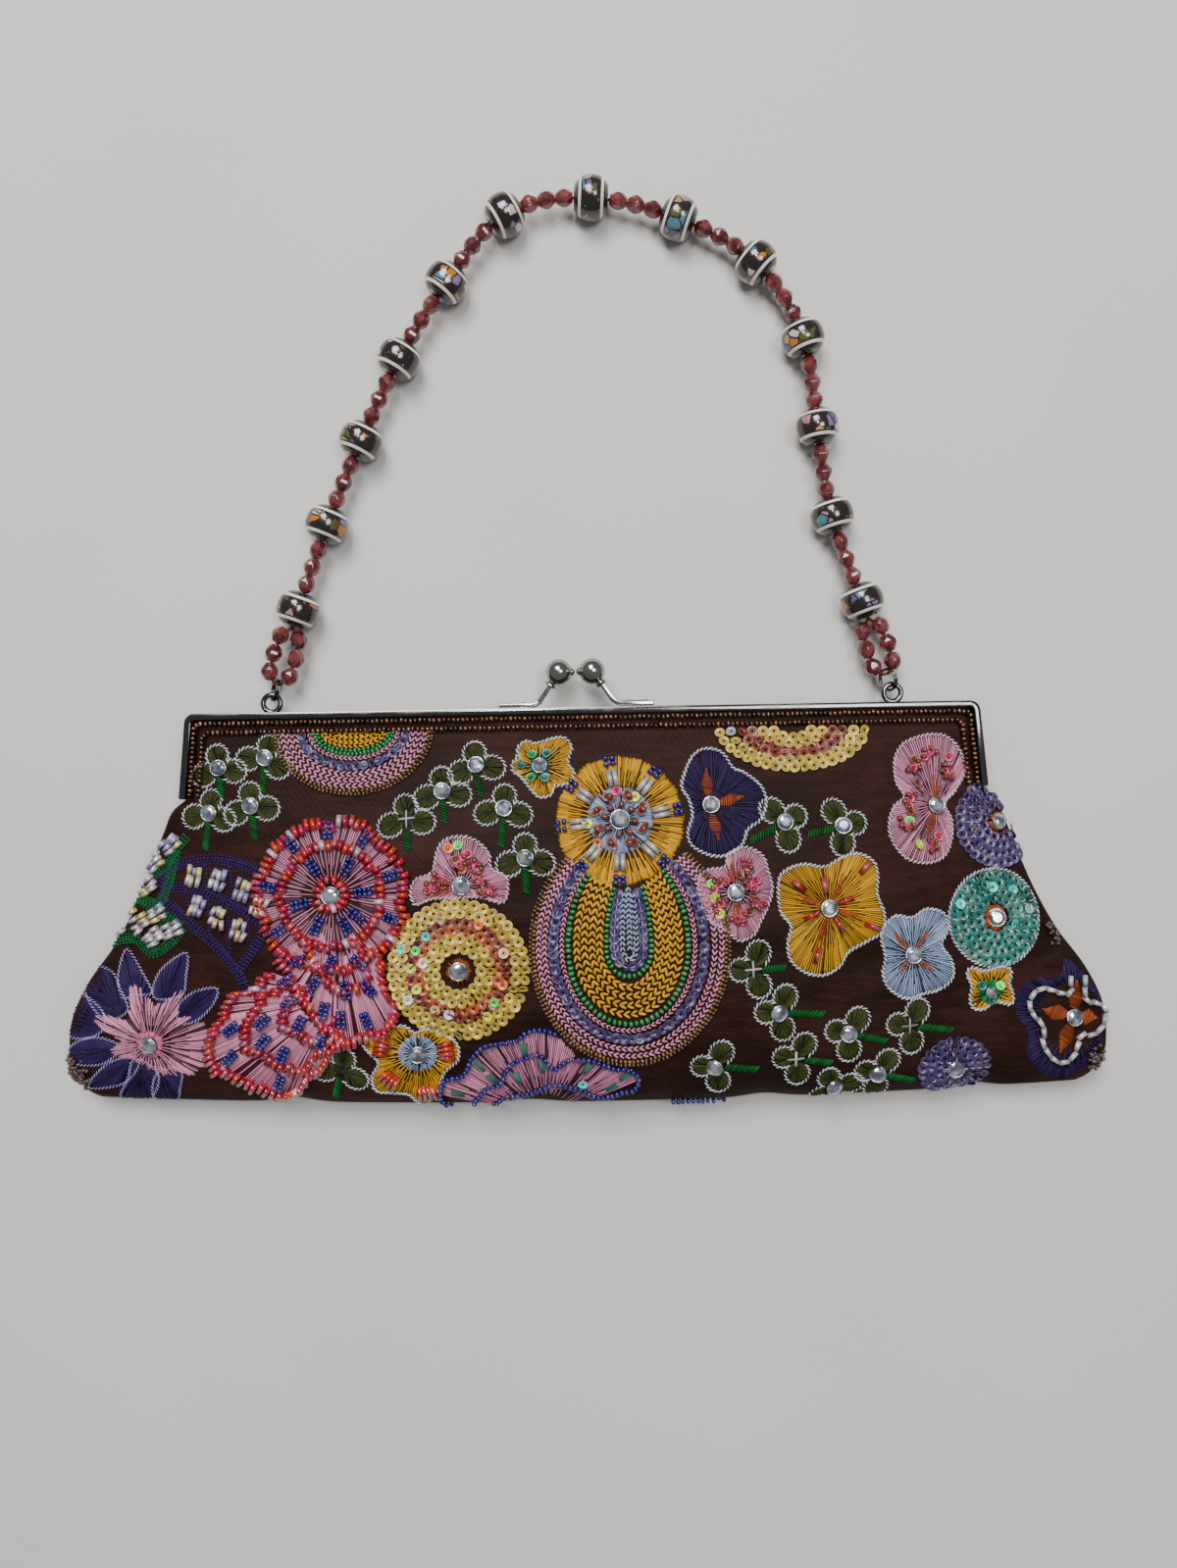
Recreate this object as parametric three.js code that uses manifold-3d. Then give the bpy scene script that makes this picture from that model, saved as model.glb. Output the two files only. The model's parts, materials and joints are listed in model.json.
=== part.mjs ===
// A beaded evening bag with a kiss-lock frame. It lies on its back, puffed out, with its bead
// strap laid out flat above the frame. X runs along the frame, Y from the bag to the strap and
// Z up from the surface that it lies on. While it is built, the middle of the frame's top edge
// is at X 0, Y 0. At the end the whole bag is moved over the middle of its footprint.

import * as THREE from "three";
import { mergeVertices } from "three/addons/utils/BufferGeometryUtils.js";
import Module from "manifold-3d";

const wasm = await Module();
wasm.setup();

// Driving sizes in millimetres, angles in degrees

const CLEARANCE = 0.3; // between pieces that touch in use

const BAG_WIDTH = 310; // across the bottom corners
const BAG_HEIGHT = 117.5; // frame's top edge to the bottom fold
const CLOTH_WALL = 1.8; // embroidered satin with its backing
const FRONT_PUFF = 13; // how far the front swells above its level in the frame
const BACK_SAG = 8; // how far the back would sag, before the surface stops it
const BOTTOM_BOW = 0.042; // the bottom fold rises to its corners by this share of its depth

const FRAME_WIDTH = 233; // across the frame's top corners
const FRAME_LEG = 25; // frame's top edge to the end of a leg
const LEG_FLARE = 5.1; // how far the legs lean outwards
const FRAME_HALF_DEPTH = 5; // front to back of one half of the frame
const FRAME_SHEET = 0.9; // thickness of the frame's metal
const FRAME_LIP = 1.9; // how far the lip covers the cloth's edge
const FRAME_TONGUE = 7; // how far the inner leaf reaches behind the cloth
const FRAME_CORNER = 3; // radius of the frame's outer corners
const FRAME_LEVEL = 9.5; // the plane where the two halves meet, above the surface

const BORDER_WIDTH = 3.9; // two rows of seed beads
const BORDER_HEIGHT = 1.6;

const HINGE_PIN = 1.1; // radius
const HINGE_HEAD = 1.8; // radius
const HINGE_HEAD_HEIGHT = 0.8;
const HINGE_RISE = 3; // pin's centre above the end of the leg

const CLASP_OFFSET = -1.8; // middle of the clasp, along the frame
const CLASP_BALL = 3.6; // radius
const CLASP_SPAN = 9.9; // between the centres of the two balls
const CLASP_RISE = 10.9; // centre of a ball above the frame's top edge
const CLASP_LEAN = 0.6; // a ball's centre from the plane where the halves meet
const CLASP_FOOT = 9.8; // length of the arm's foot on the frame
const CLASP_FOOT_START = 13.2; // from the middle of the clasp
const CLASP_ARM_WIDTH = 2.2;
const CLASP_ARM_THICKNESS = 1.6;
const CLASP_RIVET = 0.7; // radius of the pegs under the foot
const CLASP_STEM = 0.8; // radius of the stem inside the ball
const CLASP_STEM_DEPTH = 2.2;
const CLASP_COLLAR = 1.7; // radius
const CLASP_COLLAR_HEIGHT = 0.9;
const CLASP_NUB = 1; // radius of the small knob between the balls

const EYE_SPAN = 186; // between the strap eyes
const EYE_RISE = 3.2; // centre of an eye above the frame's top edge
const EYE_RING = 2.6; // radius to the middle of its wire
const EYE_WIRE = 0.8; // radius
const SPLIT_RING = 3.2; // radius to the middle of its wire
const SPLIT_WIRE = 0.6; // radius
const SPLIT_TWIST = 62; // how far the split ring stands out of the strap's plane

const LARGE_BEAD_RADIUS = 6.4;
const LARGE_BEAD_LENGTH = 10.4;
const LARGE_BEAD_END = 3.4; // radius of its flat ends
const LARGE_BEAD_BORE = 1.2; // radius
const SMALL_BEAD_RADIUS = 2.65;
const SMALL_BEAD_LENGTH = 5.3;
const SMALL_BEAD_END = 1.15; // radius of its flat ends
const SMALL_BEAD_GAP = 0.1;
const THREAD_RADIUS = 0.45;
const SMALL_PER_RUN = 3; // small beads between two large ones
const LOOP_START = 5; // centre of a split ring to the nearest small beads, along the strap
const LOOP_END = 3.2; // end of the strap to the farthest small beads of its loop
const LOOP_SPREAD = 3.1; // from the strap's line to the middles of the loop's beads

const STRAP_SPAN = 169.2; // between its two end large beads' centres
const STRAP_REACH = 153.6; // from the frame's top edge to its furthest large bead's centre

// The strap's route: the large beads' centres as the strap lies, from left to right. x is a share of
// the span and y a share of the reach.
const STRAP_ROUTE = [
  { x: -0.5006, y: 0.2038 },
  { x: -0.4480, y: 0.3665 },
  { x: -0.3836, y: 0.5332 },
  { x: -0.3115, y: 0.6973 },
  { x: -0.2240, y: 0.8438 },
  { x: -0.1217, y: 0.9727 },
  { x: 0.0290, y: 1.0000 },
  { x: 0.1844, y: 0.9564 },
  { x: 0.3209, y: 0.8704 },
  { x: 0.4025, y: 0.7246 },
  { x: 0.4243, y: 0.5547 },
  { x: 0.4456, y: 0.3802 },
  { x: 0.4994, y: 0.2025 },
];

// The cloth inside the frame. down is the share of the leg below the bead border, front and back
// are shares of the puff and the sag.
const FRAME_SECTIONS = [
  { down: 0, front: 0, back: 0 },
  { down: 0.3, front: 0.16, back: 0.08 },
  { down: 0.65, front: 0.36, back: 0.24 },
  { down: 0.94, front: 0.5, back: 0.36 },
];

// The cloth below the frame. down is the share of the depth left below the legs, out how far the
// side has spread from the legs' line to the full width, base the share of the cloth's depth in
// the frame that is left, and square how boxy the section is. A high number is a box.
const BODY_SECTIONS = [
  { down: 0.035, out: 0.11, base: 1, front: 0.56, back: 0.45, seam: 1, square: 9 },
  { down: 0.11, out: 0.18, base: 1, front: 0.7, back: 0.62, seam: 1, square: 5 },
  { down: 0.236, out: 0.28, base: 1, front: 0.86, back: 0.85, seam: 0.97, square: 4 },
  { down: 0.362, out: 0.4, base: 1, front: 0.97, back: 1, seam: 0.95, square: 3.4 },
  { down: 0.489, out: 0.57, base: 1, front: 1, back: 1, seam: 0.92, square: 3.2 },
  { down: 0.615, out: 0.81, base: 1, front: 0.96, back: 1, seam: 0.88, square: 3 },
  { down: 0.742, out: 0.97, base: 1, front: 0.84, back: 1, seam: 0.85, square: 3 },
  { down: 0.843, out: 1, base: 0.95, front: 0.66, back: 0.95, seam: 0.82, square: 3 },
  { down: 0.919, out: 0.96, base: 0.8, front: 0.44, back: 0.8, seam: 0.8, square: 3 },
  { down: 0.97, out: 0.84, base: 0.52, front: 0.22, back: 0.52, seam: 0.8, square: 3 },
  { down: 1, out: 0.67, base: 0, front: 0, back: 0, seam: 0.8, square: 3 },
];

// Soft folds of the front. across is a share of half the width, down of the height, long and
// wide of the width, and rise of the puff. turn is the fold's direction in degrees.
const FOLDS = [
  { across: -0.42, down: 0.25, turn: 4, long: 0.16, wide: 0.03, rise: -0.1 },
  { across: -0.36, down: 0.34, turn: -6, long: 0.14, wide: 0.03, rise: 0.09 },
  { across: 0.52, down: 0.27, turn: -12, long: 0.13, wide: 0.03, rise: -0.11 },
  { across: 0.6, down: 0.37, turn: -20, long: 0.12, wide: 0.035, rise: 0.1 },
  { across: -0.7, down: 0.45, turn: 62, long: 0.09, wide: 0.03, rise: 0.09 },
  { across: 0.72, down: 0.72, turn: 70, long: 0.09, wide: 0.035, rise: -0.12 },
  { across: -0.3, down: 0.86, turn: 80, long: 0.07, wide: 0.03, rise: -0.12 },
  { across: 0.2, down: 0.88, turn: -84, long: 0.07, wide: 0.03, rise: -0.1 },
];

// Where the bottom fold is gathered up between its motifs. rise is a share of the height.
const GATHERS = [
  { across: -0.6, wide: 0.05, rise: 0.012 },
  { across: -0.12, wide: 0.06, rise: 0.008 },
  { across: 0.36, wide: 0.05, rise: 0.01 },
  { across: 0.78, wide: 0.05, rise: 0.014 },
];

const SMOOTHING = 0.002; // how far a needless corner may lie off its edge
const SECTION_COLUMNS = 32; // across the front, and as many across the back
const LARGE_BEAD_SIDES = 12;
const SMALL_BEAD_SIDES = 6;
const THREAD_SIDES = 4;

// Sizes worked out from the driving ones

const radians = THREE.MathUtils.degToRad;
const flare = Math.tan(radians(LEG_FLARE));
const clothOuter = FRAME_HALF_DEPTH + CLEARANCE / 2 - FRAME_SHEET - CLEARANCE; // from the meeting plane
const clothInner = clothOuter - CLOTH_WALL;
const clothTop = FRAME_SHEET + CLEARANCE; // below the frame's top edge
const hingeRoom = FRAME_LEG - HINGE_RISE - HINGE_HEAD - CLEARANCE; // the inner leaf ends above the hinge
const borderStart = FRAME_LIP + CLEARANCE;
const borderEnd = borderStart + BORDER_WIDTH;
const clothMargin = borderEnd + CLEARANCE; // stays flat under the bead border
const bodyDepth = BAG_HEIGHT - FRAME_LEG;
const runPitch =
  LARGE_BEAD_LENGTH + 2 * CLEARANCE + SMALL_PER_RUN * SMALL_BEAD_LENGTH + (SMALL_PER_RUN - 1) * SMALL_BEAD_GAP;

/** The outer half width of the frame at a depth below its top edge. */
const frameHalf = (depth) => FRAME_WIDTH / 2 + flare * depth;

/** The half width of the cloth inside the legs. */
const clothHalf = (depth) => frameHalf(depth) - FRAME_SHEET - CLEARANCE;

// From geometry to solids and back

/** A closed solid from a geometry, with its faces turned outwards. */
function solidOf(geometry) {
  const loose = geometry.index ? geometry.toNonIndexed() : geometry;
  const bare = new THREE.BufferGeometry().setAttribute("position", loose.getAttribute("position"));
  const merged = mergeVertices(bare, 1e-4);
  const corners = merged.index.array;
  const kept = [];
  for (let i = 0; i < corners.length; i += 3) {
    const [a, b, c] = [corners[i], corners[i + 1], corners[i + 2]];
    if (a !== b && b !== c && c !== a) kept.push(a, b, c);
  }
  const build = (order) =>
    new wasm.Manifold(
      new wasm.Mesh({
        numProp: 3,
        vertProperties: new Float32Array(merged.attributes.position.array),
        triVerts: new Uint32Array(order),
      }),
    );
  const made = build(kept);
  return made.volume() < 0 ? build(kept.reverse()) : made;
}

/** A mesh of a solid with a material of its own. */
function meshOf(name, solid, look) {
  const { vertProperties, triVerts } = solid.getMesh();
  const geometry = new THREE.BufferGeometry()
    .setAttribute("position", new THREE.BufferAttribute(vertProperties, 3))
    .setIndex(new THREE.BufferAttribute(triVerts, 1));
  const shaded = geometry.toNonIndexed();
  shaded.computeVertexNormals();
  const mesh = new THREE.Mesh(shaded, new THREE.MeshStandardMaterial(look));
  mesh.name = name;
  return mesh;
}

/** The solid moved and turned by a matrix. */
const placed = (solid, matrix) => solid.transform(matrix.elements);

/** A matrix that takes local Y along a direction, local Z as near to up as it can, and moves to a point. */
function alongMatrix(point, direction, up = new THREE.Vector3(0, 0, 1)) {
  const y = direction.clone().normalize();
  const x = new THREE.Vector3().crossVectors(y, up).normalize();
  const z = new THREE.Vector3().crossVectors(x, y);
  return new THREE.Matrix4().makeBasis(x, y, z).setPosition(point);
}

/** A box between two corners. */
function boxSolid(low, high) {
  const size = high.clone().sub(low);
  const geometry = new THREE.BoxGeometry(size.x, size.y, size.z);
  geometry.translate(...low.clone().add(high).multiplyScalar(0.5).toArray());
  return solidOf(geometry);
}

/** A round rod from one point to another. */
function rodSolid(from, to, radius, sides) {
  const axis = to.clone().sub(from);
  const geometry = new THREE.CylinderGeometry(radius, radius, axis.length(), sides);
  return placed(solidOf(geometry), alongMatrix(from.clone().add(to).multiplyScalar(0.5), axis));
}

/** A line through given points that ExtrudeGeometry follows corner by corner. */
class BentLine extends THREE.Curve {
  constructor(points) {
    super();
    this.points = points;
  }

  getPoint(share, target = new THREE.Vector3()) {
    const place = share * (this.points.length - 1);
    const first = Math.min(Math.floor(place + 1e-9), this.points.length - 2);
    return target.lerpVectors(this.points[first], this.points[first + 1], place - first);
  }

  getPointAt(share, target) {
    return this.getPoint(share, target);
  }

  getTangentAt(share, target = new THREE.Vector3()) {
    const place = Math.round(share * (this.points.length - 1));
    const before = this.points[Math.max(place - 1, 0)];
    const after = this.points[Math.min(place + 1, this.points.length - 1)];
    return target.subVectors(after, before).normalize();
  }
}

/** A shape swept along the points of a bent line. */
function sweptSolid(shape, points) {
  const geometry = new THREE.ExtrudeGeometry(shape, {
    steps: points.length - 1,
    bevelEnabled: false,
    extrudePath: new BentLine(points),
  });
  return solidOf(geometry);
}

/** A regular polygon. */
function polygonShape(radius, sides) {
  const corners = [];
  for (let k = 0; k < sides; k++) {
    const angle = (2 * Math.PI * k) / sides;
    corners.push(new THREE.Vector2(radius * Math.cos(angle), radius * Math.sin(angle)));
  }
  return new THREE.Shape(corners);
}

// The cloth body

/** The rise that the folds add to the front at a place on it. */
function foldRise(across, down) {
  return FOLDS.reduce((sum, fold) => {
    const dx = ((across - fold.across) * BAG_WIDTH) / 2;
    const dy = (down - fold.down) * BAG_HEIGHT;
    const [c, s] = [Math.cos(radians(fold.turn)), Math.sin(radians(fold.turn))];
    const along = (dx * c - dy * s) / (fold.long * BAG_WIDTH);
    const beside = (dx * s + dy * c) / (fold.wide * BAG_WIDTH);
    return sum + fold.rise * FRONT_PUFF * Math.exp(-along * along - beside * beside);
  }, 0);
}

/** How far the gathers lift the bottom fold at a place across it. */
function gatherRise(across) {
  return GATHERS.reduce((sum, gather) => {
    const away = (across - gather.across) / gather.wide;
    return sum + gather.rise * BAG_HEIGHT * Math.exp(-away * away);
  }, 0);
}

/** The cloth's sections from the mouth to the bottom fold, in millimetres. */
function clothSections() {
  const inFrame = FRAME_SECTIONS.map((row) => {
    const depth = clothMargin + row.down * (FRAME_LEG - clothMargin);
    return { ...row, depth, half: clothHalf(depth), margin: clothMargin, base: 1, seam: 1, square: 60, body: 0 };
  });
  const mouth = { ...inFrame[0], depth: clothTop, half: clothHalf(clothTop) };
  const below = BODY_SECTIONS.map((row) => {
    const depth = FRAME_LEG + row.down * bodyDepth;
    const half = clothHalf(depth) + row.out * (BAG_WIDTH / 2 - clothHalf(depth));
    return { ...row, depth, half, margin: 0, body: row.down };
  });
  return [mouth, ...inFrame, ...below];
}

/** The point of the cloth at a section, a place across it from -1 to 1, and a side, 1 in front. */
function clothPoint(section, across, side, wall) {
  const half = section.half - wall;
  const level = section.seam * FRAME_LEVEL;
  const flat = 1 - section.margin / section.half;
  const reach = Math.min(1, Math.abs(across) / flat);
  const lens = Math.pow(1 - Math.pow(reach, 2.3), 0.8);
  const edge = Math.pow(1 - Math.pow(Math.abs(across), section.square), 0.5);
  const swell = side > 0 ? section.front * FRONT_PUFF : section.back * BACK_SAG;
  const down = section.depth / BAG_HEIGHT;
  const folds = side > 0 ? foldRise(across, down) * lens * Math.min(1, section.front * 2) : 0;
  const rise = Math.max(0, section.base * clothOuter * edge + swell * lens + folds - wall * edge);
  const bow = section.body * (BOTTOM_BOW * across * across * bodyDepth + gatherRise(across));
  const shorter = section.body * wall;
  const height = level + side * rise;
  return new THREE.Vector3(across * half, -(section.depth - bow - shorter), Math.max(height, wall));
}

/** A closed solid lofted through the cloth's sections, drawn in by a wall. */
function clothSolid(sections, wall, columns) {
  const places = [];
  for (let k = 0; k <= columns; k++) {
    const share = (2 * k) / columns - 1;
    places.push(0.35 * share + 0.65 * Math.sin((share * Math.PI) / 2));
  }
  const front = sections.map((row) => places.map((across) => clothPoint(row, across, 1, wall)));
  const back = sections.map((row) => places.map((across) => clothPoint(row, across, -1, wall)));
  const corners = [];
  const quad = (a, b, c, d) => corners.push(a, b, c, a, c, d);
  for (let i = 0; i < sections.length - 1; i++) {
    for (let k = 0; k < columns; k++) {
      quad(front[i][k], front[i + 1][k], front[i + 1][k + 1], front[i][k + 1]);
      quad(back[i][k], back[i][k + 1], back[i + 1][k + 1], back[i + 1][k]);
    }
  }
  for (let k = 0; k < columns; k++) {
    quad(front[0][k], front[0][k + 1], back[0][k + 1], back[0][k]);
  }
  return solidOf(new THREE.BufferGeometry().setFromPoints(corners));
}

/** All that lies under the side seams, where the back panel is sewn to the front panel. */
function underSeams(sections) {
  const line = sections.map((row) => new THREE.Vector2(-row.depth, row.seam * FRAME_LEVEL));
  const [first, last] = [line[0], line[line.length - 1]];
  const profile = new THREE.Shape([
    new THREE.Vector2(BAG_HEIGHT, first.y),
    ...line,
    new THREE.Vector2(-2 * BAG_HEIGHT, last.y),
    new THREE.Vector2(-2 * BAG_HEIGHT, -BAG_HEIGHT),
    new THREE.Vector2(BAG_HEIGHT, -BAG_HEIGHT),
  ]);
  const geometry = new THREE.ExtrudeGeometry(profile, { depth: 2 * BAG_WIDTH, bevelEnabled: false });
  const across = new THREE.Matrix4().makeBasis(
    new THREE.Vector3(0, 1, 0),
    new THREE.Vector3(0, 0, 1),
    new THREE.Vector3(1, 0, 0),
  );
  geometry.applyMatrix4(across.setPosition(-BAG_WIDTH, 0, 0));
  return solidOf(geometry);
}

/** The two panels of the cloth bag: hollow, open at the mouth and down its sides between the frame's legs. */
function bagPanels() {
  const sections = clothSections();
  const outer = clothSolid(sections, 0, SECTION_COLUMNS);
  const top = { ...sections[0], depth: -clothTop };
  const inside = [top, ...sections.slice(1)].filter((row, k) => k < 2 || k % 2 === 1 || row.down === 1);
  const cavity = clothSolid(inside, CLOTH_WALL, SECTION_COLUMNS * 0.5);
  const slot = boxSolid(
    new THREE.Vector3(-BAG_WIDTH, -FRAME_LEG, FRAME_LEVEL - clothInner),
    new THREE.Vector3(BAG_WIDTH, clothTop, FRAME_LEVEL + clothInner),
  );
  const shell = outer.subtract(cavity.add(slot));
  const under = underSeams(sections);
  const tidy = (panel) => panel.asOriginal().simplify(SMOOTHING);
  return { front: tidy(shell.subtract(under)), back: tidy(shell.intersect(under)) };
}

// The frame

/** The frame's outline from the left leg's end to the right leg's, drawn in by a distance. */
function frameOutline(inset) {
  const radius = Math.max(FRAME_CORNER - inset, 0.1);
  const lean = radians(LEG_FLARE);
  const sideInset = inset / Math.cos(lean);
  const end = new THREE.Vector2(frameHalf(FRAME_LEG) - sideInset, -FRAME_LEG);
  const corner = new THREE.Vector2(frameHalf(inset) - sideInset, -inset);
  const turn = Math.PI / 2 - lean;
  const setback = radius * Math.tan(turn / 2);
  const centre = new THREE.Vector2(corner.x - setback, corner.y - radius);
  const right = [];
  for (let k = 0; k <= 3; k++) {
    const angle = Math.PI / 2 - (turn * k) / 3;
    right.push(new THREE.Vector2(centre.x + radius * Math.cos(angle), centre.y + radius * Math.sin(angle)));
  }
  right.push(end);
  const left = right.map((p) => new THREE.Vector2(-p.x, p.y)).reverse();
  return [...left, ...right];
}

/** A band that follows the frame's outline between two insets and two levels. */
function frameBand(from, to, low, high) {
  const shape = new THREE.Shape([...frameOutline(from), ...frameOutline(to).reverse()]);
  const geometry = new THREE.ExtrudeGeometry(shape, { depth: high - low, bevelEnabled: false });
  geometry.translate(0, 0, low);
  return solidOf(geometry);
}

/** Heights of one half's parts above the surface. side is 1 in front and -1 behind. */
function halfLevels(side) {
  const at = (away) => FRAME_LEVEL + side * away;
  const between = (a, b) => [Math.min(at(a), at(b)), Math.max(at(a), at(b))];
  const meet = CLEARANCE / 2;
  const face = FRAME_HALF_DEPTH + meet;
  const tongue = clothInner - CLEARANCE;
  return {
    web: between(meet, face),
    lip: between(face - FRAME_SHEET, face),
    tongue: between(tongue - FRAME_SHEET, tongue),
    middle: at(meet + FRAME_HALF_DEPTH / 2),
    border: between(clothOuter + CLEARANCE, clothOuter + CLEARANCE + BORDER_HEIGHT),
  };
}

/** The pin's centre at a leg's end. hand is 1 on the right. */
function hingePoint(hand) {
  const depth = FRAME_LEG - HINGE_RISE;
  return new THREE.Vector3(hand * (frameHalf(depth) - FRAME_SHEET / 2), -depth, FRAME_LEVEL);
}

/** Where the clasp arm's two rivets go through the frame. hand is 1 on the right. */
function rivetPoints(hand, side) {
  const { middle } = halfLevels(side);
  return [0.25, 0.75].map((share) => {
    const x = CLASP_OFFSET + hand * (CLASP_FOOT_START + share * CLASP_FOOT);
    return new THREE.Vector3(x, 0, middle);
  });
}

/** One half of the frame, with holes for its hinge pins and its clasp arm's rivets. */
function frameHalfSolid(side, claspHand) {
  const levels = halfLevels(side);
  let solid = frameBand(0, FRAME_SHEET, ...levels.web)
    .add(frameBand(0, FRAME_LIP, ...levels.lip))
    .add(frameBand(0, FRAME_TONGUE, ...levels.tongue).trimByPlane([0, 1, 0], -hingeRoom));
  for (const hand of [-1, 1]) {
    const reach = new THREE.Vector3(FRAME_LIP, 0, 0);
    const centre = hingePoint(hand);
    solid = solid.subtract(
      rodSolid(centre.clone().sub(reach), centre.clone().add(reach), HINGE_PIN + CLEARANCE, 12),
    );
  }
  for (const point of rivetPoints(claspHand, side)) {
    const through = new THREE.Vector3(0, FRAME_SHEET + CLEARANCE, 0);
    solid = solid.subtract(
      rodSolid(point.clone().sub(through), point.clone().add(through), CLASP_RIVET + CLEARANCE, 8),
    );
  }
  return solid;
}

/** A ring of round wire in its own XY plane. */
const ringSolid = (radius, wire, around, sides) => solidOf(new THREE.TorusGeometry(radius, wire, sides, around));

/** The centre of a strap eye. */
function eyePoint(hand) {
  return new THREE.Vector3((hand * EYE_SPAN) / 2, EYE_RISE, halfLevels(-1).middle);
}

/** An eye soldered on the back half of the frame, on a short post. */
function strapEye(hand) {
  const centre = eyePoint(hand);
  const ring = ringSolid(EYE_RING, EYE_WIRE, 14, 6).translate(centre.toArray());
  const post = boxSolid(
    new THREE.Vector3(centre.x - EYE_WIRE, -FRAME_SHEET / 2, centre.z - EYE_WIRE),
    new THREE.Vector3(centre.x + EYE_WIRE, centre.y - EYE_RING, centre.z + EYE_WIRE),
  );
  return ring.add(post);
}

/** A plain hinge pin through both halves at a leg's end, with a head on each side. */
function hingePin(hand) {
  const centre = hingePoint(hand);
  const half = FRAME_SHEET / 2 + CLEARANCE;
  const at = (away) => centre.clone().add(new THREE.Vector3(hand * away, 0, 0));
  const whole = half + HINGE_HEAD_HEIGHT;
  return rodSolid(at(-whole), at(whole), HINGE_PIN, 8)
    .add(rodSolid(at(half), at(whole), HINGE_HEAD, 10))
    .add(rodSolid(at(-whole), at(-half), HINGE_HEAD, 10));
}

// The kiss-lock clasp

/** The centre of a clasp ball. */
function ballPoint(hand, side) {
  return new THREE.Vector3(
    CLASP_OFFSET + (hand * CLASP_SPAN) / 2,
    CLASP_RISE,
    FRAME_LEVEL + side * CLASP_LEAN,
  );
}

/** The points of a clasp arm from the end of its foot to the ball. */
function armRoute(hand, side) {
  const { middle } = halfLevels(side);
  const level = CLEARANCE + CLASP_ARM_THICKNESS / 2;
  const ball = ballPoint(hand, side);
  const foot = CLASP_OFFSET + hand * CLASP_FOOT_START;
  const knee = new THREE.Vector3(foot - hand * 2.4, level + 1.3, middle);
  const rise = ball.clone().sub(knee).normalize();
  return {
    foot: [new THREE.Vector3(foot + hand * CLASP_FOOT, level, middle), new THREE.Vector3(foot, level, middle), knee],
    top: ball.clone().addScaledVector(rise, -(CLASP_BALL + CLEARANCE)),
    rise,
    ball,
  };
}

/** A clasp arm: a riveted foot, a bent strip, a collar and the stem that carries the ball. */
function claspArm(hand, side) {
  const route = armRoute(hand, side);
  const [w, t] = [CLASP_ARM_WIDTH / 2, CLASP_ARM_THICKNESS / 2];
  const strip = new THREE.Shape([
    new THREE.Vector2(-t, -w),
    new THREE.Vector2(t, -w),
    new THREE.Vector2(t, w),
    new THREE.Vector2(-t, w),
  ]);
  const collarEnd = route.top.clone().addScaledVector(route.rise, -CLASP_COLLAR_HEIGHT);
  const stemEnd = route.ball.clone().addScaledVector(route.rise, CLASP_STEM_DEPTH - CLASP_BALL);
  let solid = sweptSolid(strip, [...route.foot, route.top])
    .add(rodSolid(collarEnd, route.top, CLASP_COLLAR, 10))
    .add(rodSolid(collarEnd, stemEnd, CLASP_STEM, 8));
  for (const point of rivetPoints(hand, side)) {
    const top = point.clone().setY(CLEARANCE + t);
    solid = solid.add(rodSolid(point.clone().setY(-FRAME_SHEET), top, CLASP_RIVET, 8));
  }
  return solid;
}

/** A clasp ball about its own centre, with a socket for its stem and a knob towards the other ball. */
function claspBall(hand, side) {
  const route = armRoute(hand, side);
  const reach = CLASP_SPAN / 2 - CLEARANCE / 2 - CLASP_NUB;
  const knob = solidOf(new THREE.SphereGeometry(CLASP_NUB, 8, 6)).translate([-hand * reach, 0, 0]);
  const socketEnd = route.rise.clone().multiplyScalar(CLASP_STEM_DEPTH - CLASP_BALL + CLEARANCE);
  const socketStart = route.rise.clone().multiplyScalar(-2 * CLASP_BALL);
  return solidOf(new THREE.SphereGeometry(CLASP_BALL, 12, 9))
    .add(knob)
    .subtract(rodSolid(socketStart, socketEnd, CLASP_STEM + CLEARANCE, 8));
}

// The bead strap

/** Which bead comes where along the strap: its middle from the first large bead's, and its kind. */
function strapBeads() {
  const beads = [];
  for (let k = 0; k < STRAP_ROUTE.length; k++) {
    beads.push({ large: true, at: k * runPitch });
    for (let n = 0; n < SMALL_PER_RUN && k < STRAP_ROUTE.length - 1; n++) {
      const first = LARGE_BEAD_LENGTH / 2 + CLEARANCE + SMALL_BEAD_LENGTH / 2;
      beads.push({ large: false, at: k * runPitch + first + n * (SMALL_BEAD_LENGTH + SMALL_BEAD_GAP) });
    }
  }
  return beads;
}

/** The strap's beads with their places and directions, and the points of the thread in them. */
function strapLayout() {
  const route = STRAP_ROUTE.map((p) => new THREE.Vector3(p.x * STRAP_SPAN, p.y * STRAP_REACH, LARGE_BEAD_RADIUS));
  const curve = new THREE.CatmullRomCurve3(route, false, "centripetal");
  curve.arcLengthDivisions = 2000;
  const length = curve.getLength();
  const beads = strapBeads();
  const lead = (length - beads.at(-1).at) / 2;
  const at = (distance) => {
    const share = THREE.MathUtils.clamp((lead + distance) / length, 0, 1);
    const spare = lead + distance - share * length;
    return curve.getPointAt(share).addScaledVector(curve.getTangentAt(share), spare);
  };
  for (const bead of beads) {
    const half = (bead.large ? LARGE_BEAD_LENGTH : SMALL_BEAD_LENGTH) / 2;
    const [start, end] = [at(bead.at - half), at(bead.at + half)];
    bead.direction = end.clone().sub(start).normalize();
    bead.centre = start.clone().add(end).multiplyScalar(0.5);
  }
  const past = LARGE_BEAD_LENGTH / 2 + CLEARANCE;
  const ends = [at(-past), at(beads.at(-1).at + past)];
  return { beads, ends, thread: [ends[0], ...beads.map((bead) => bead.centre), ends[1]] };
}

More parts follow.
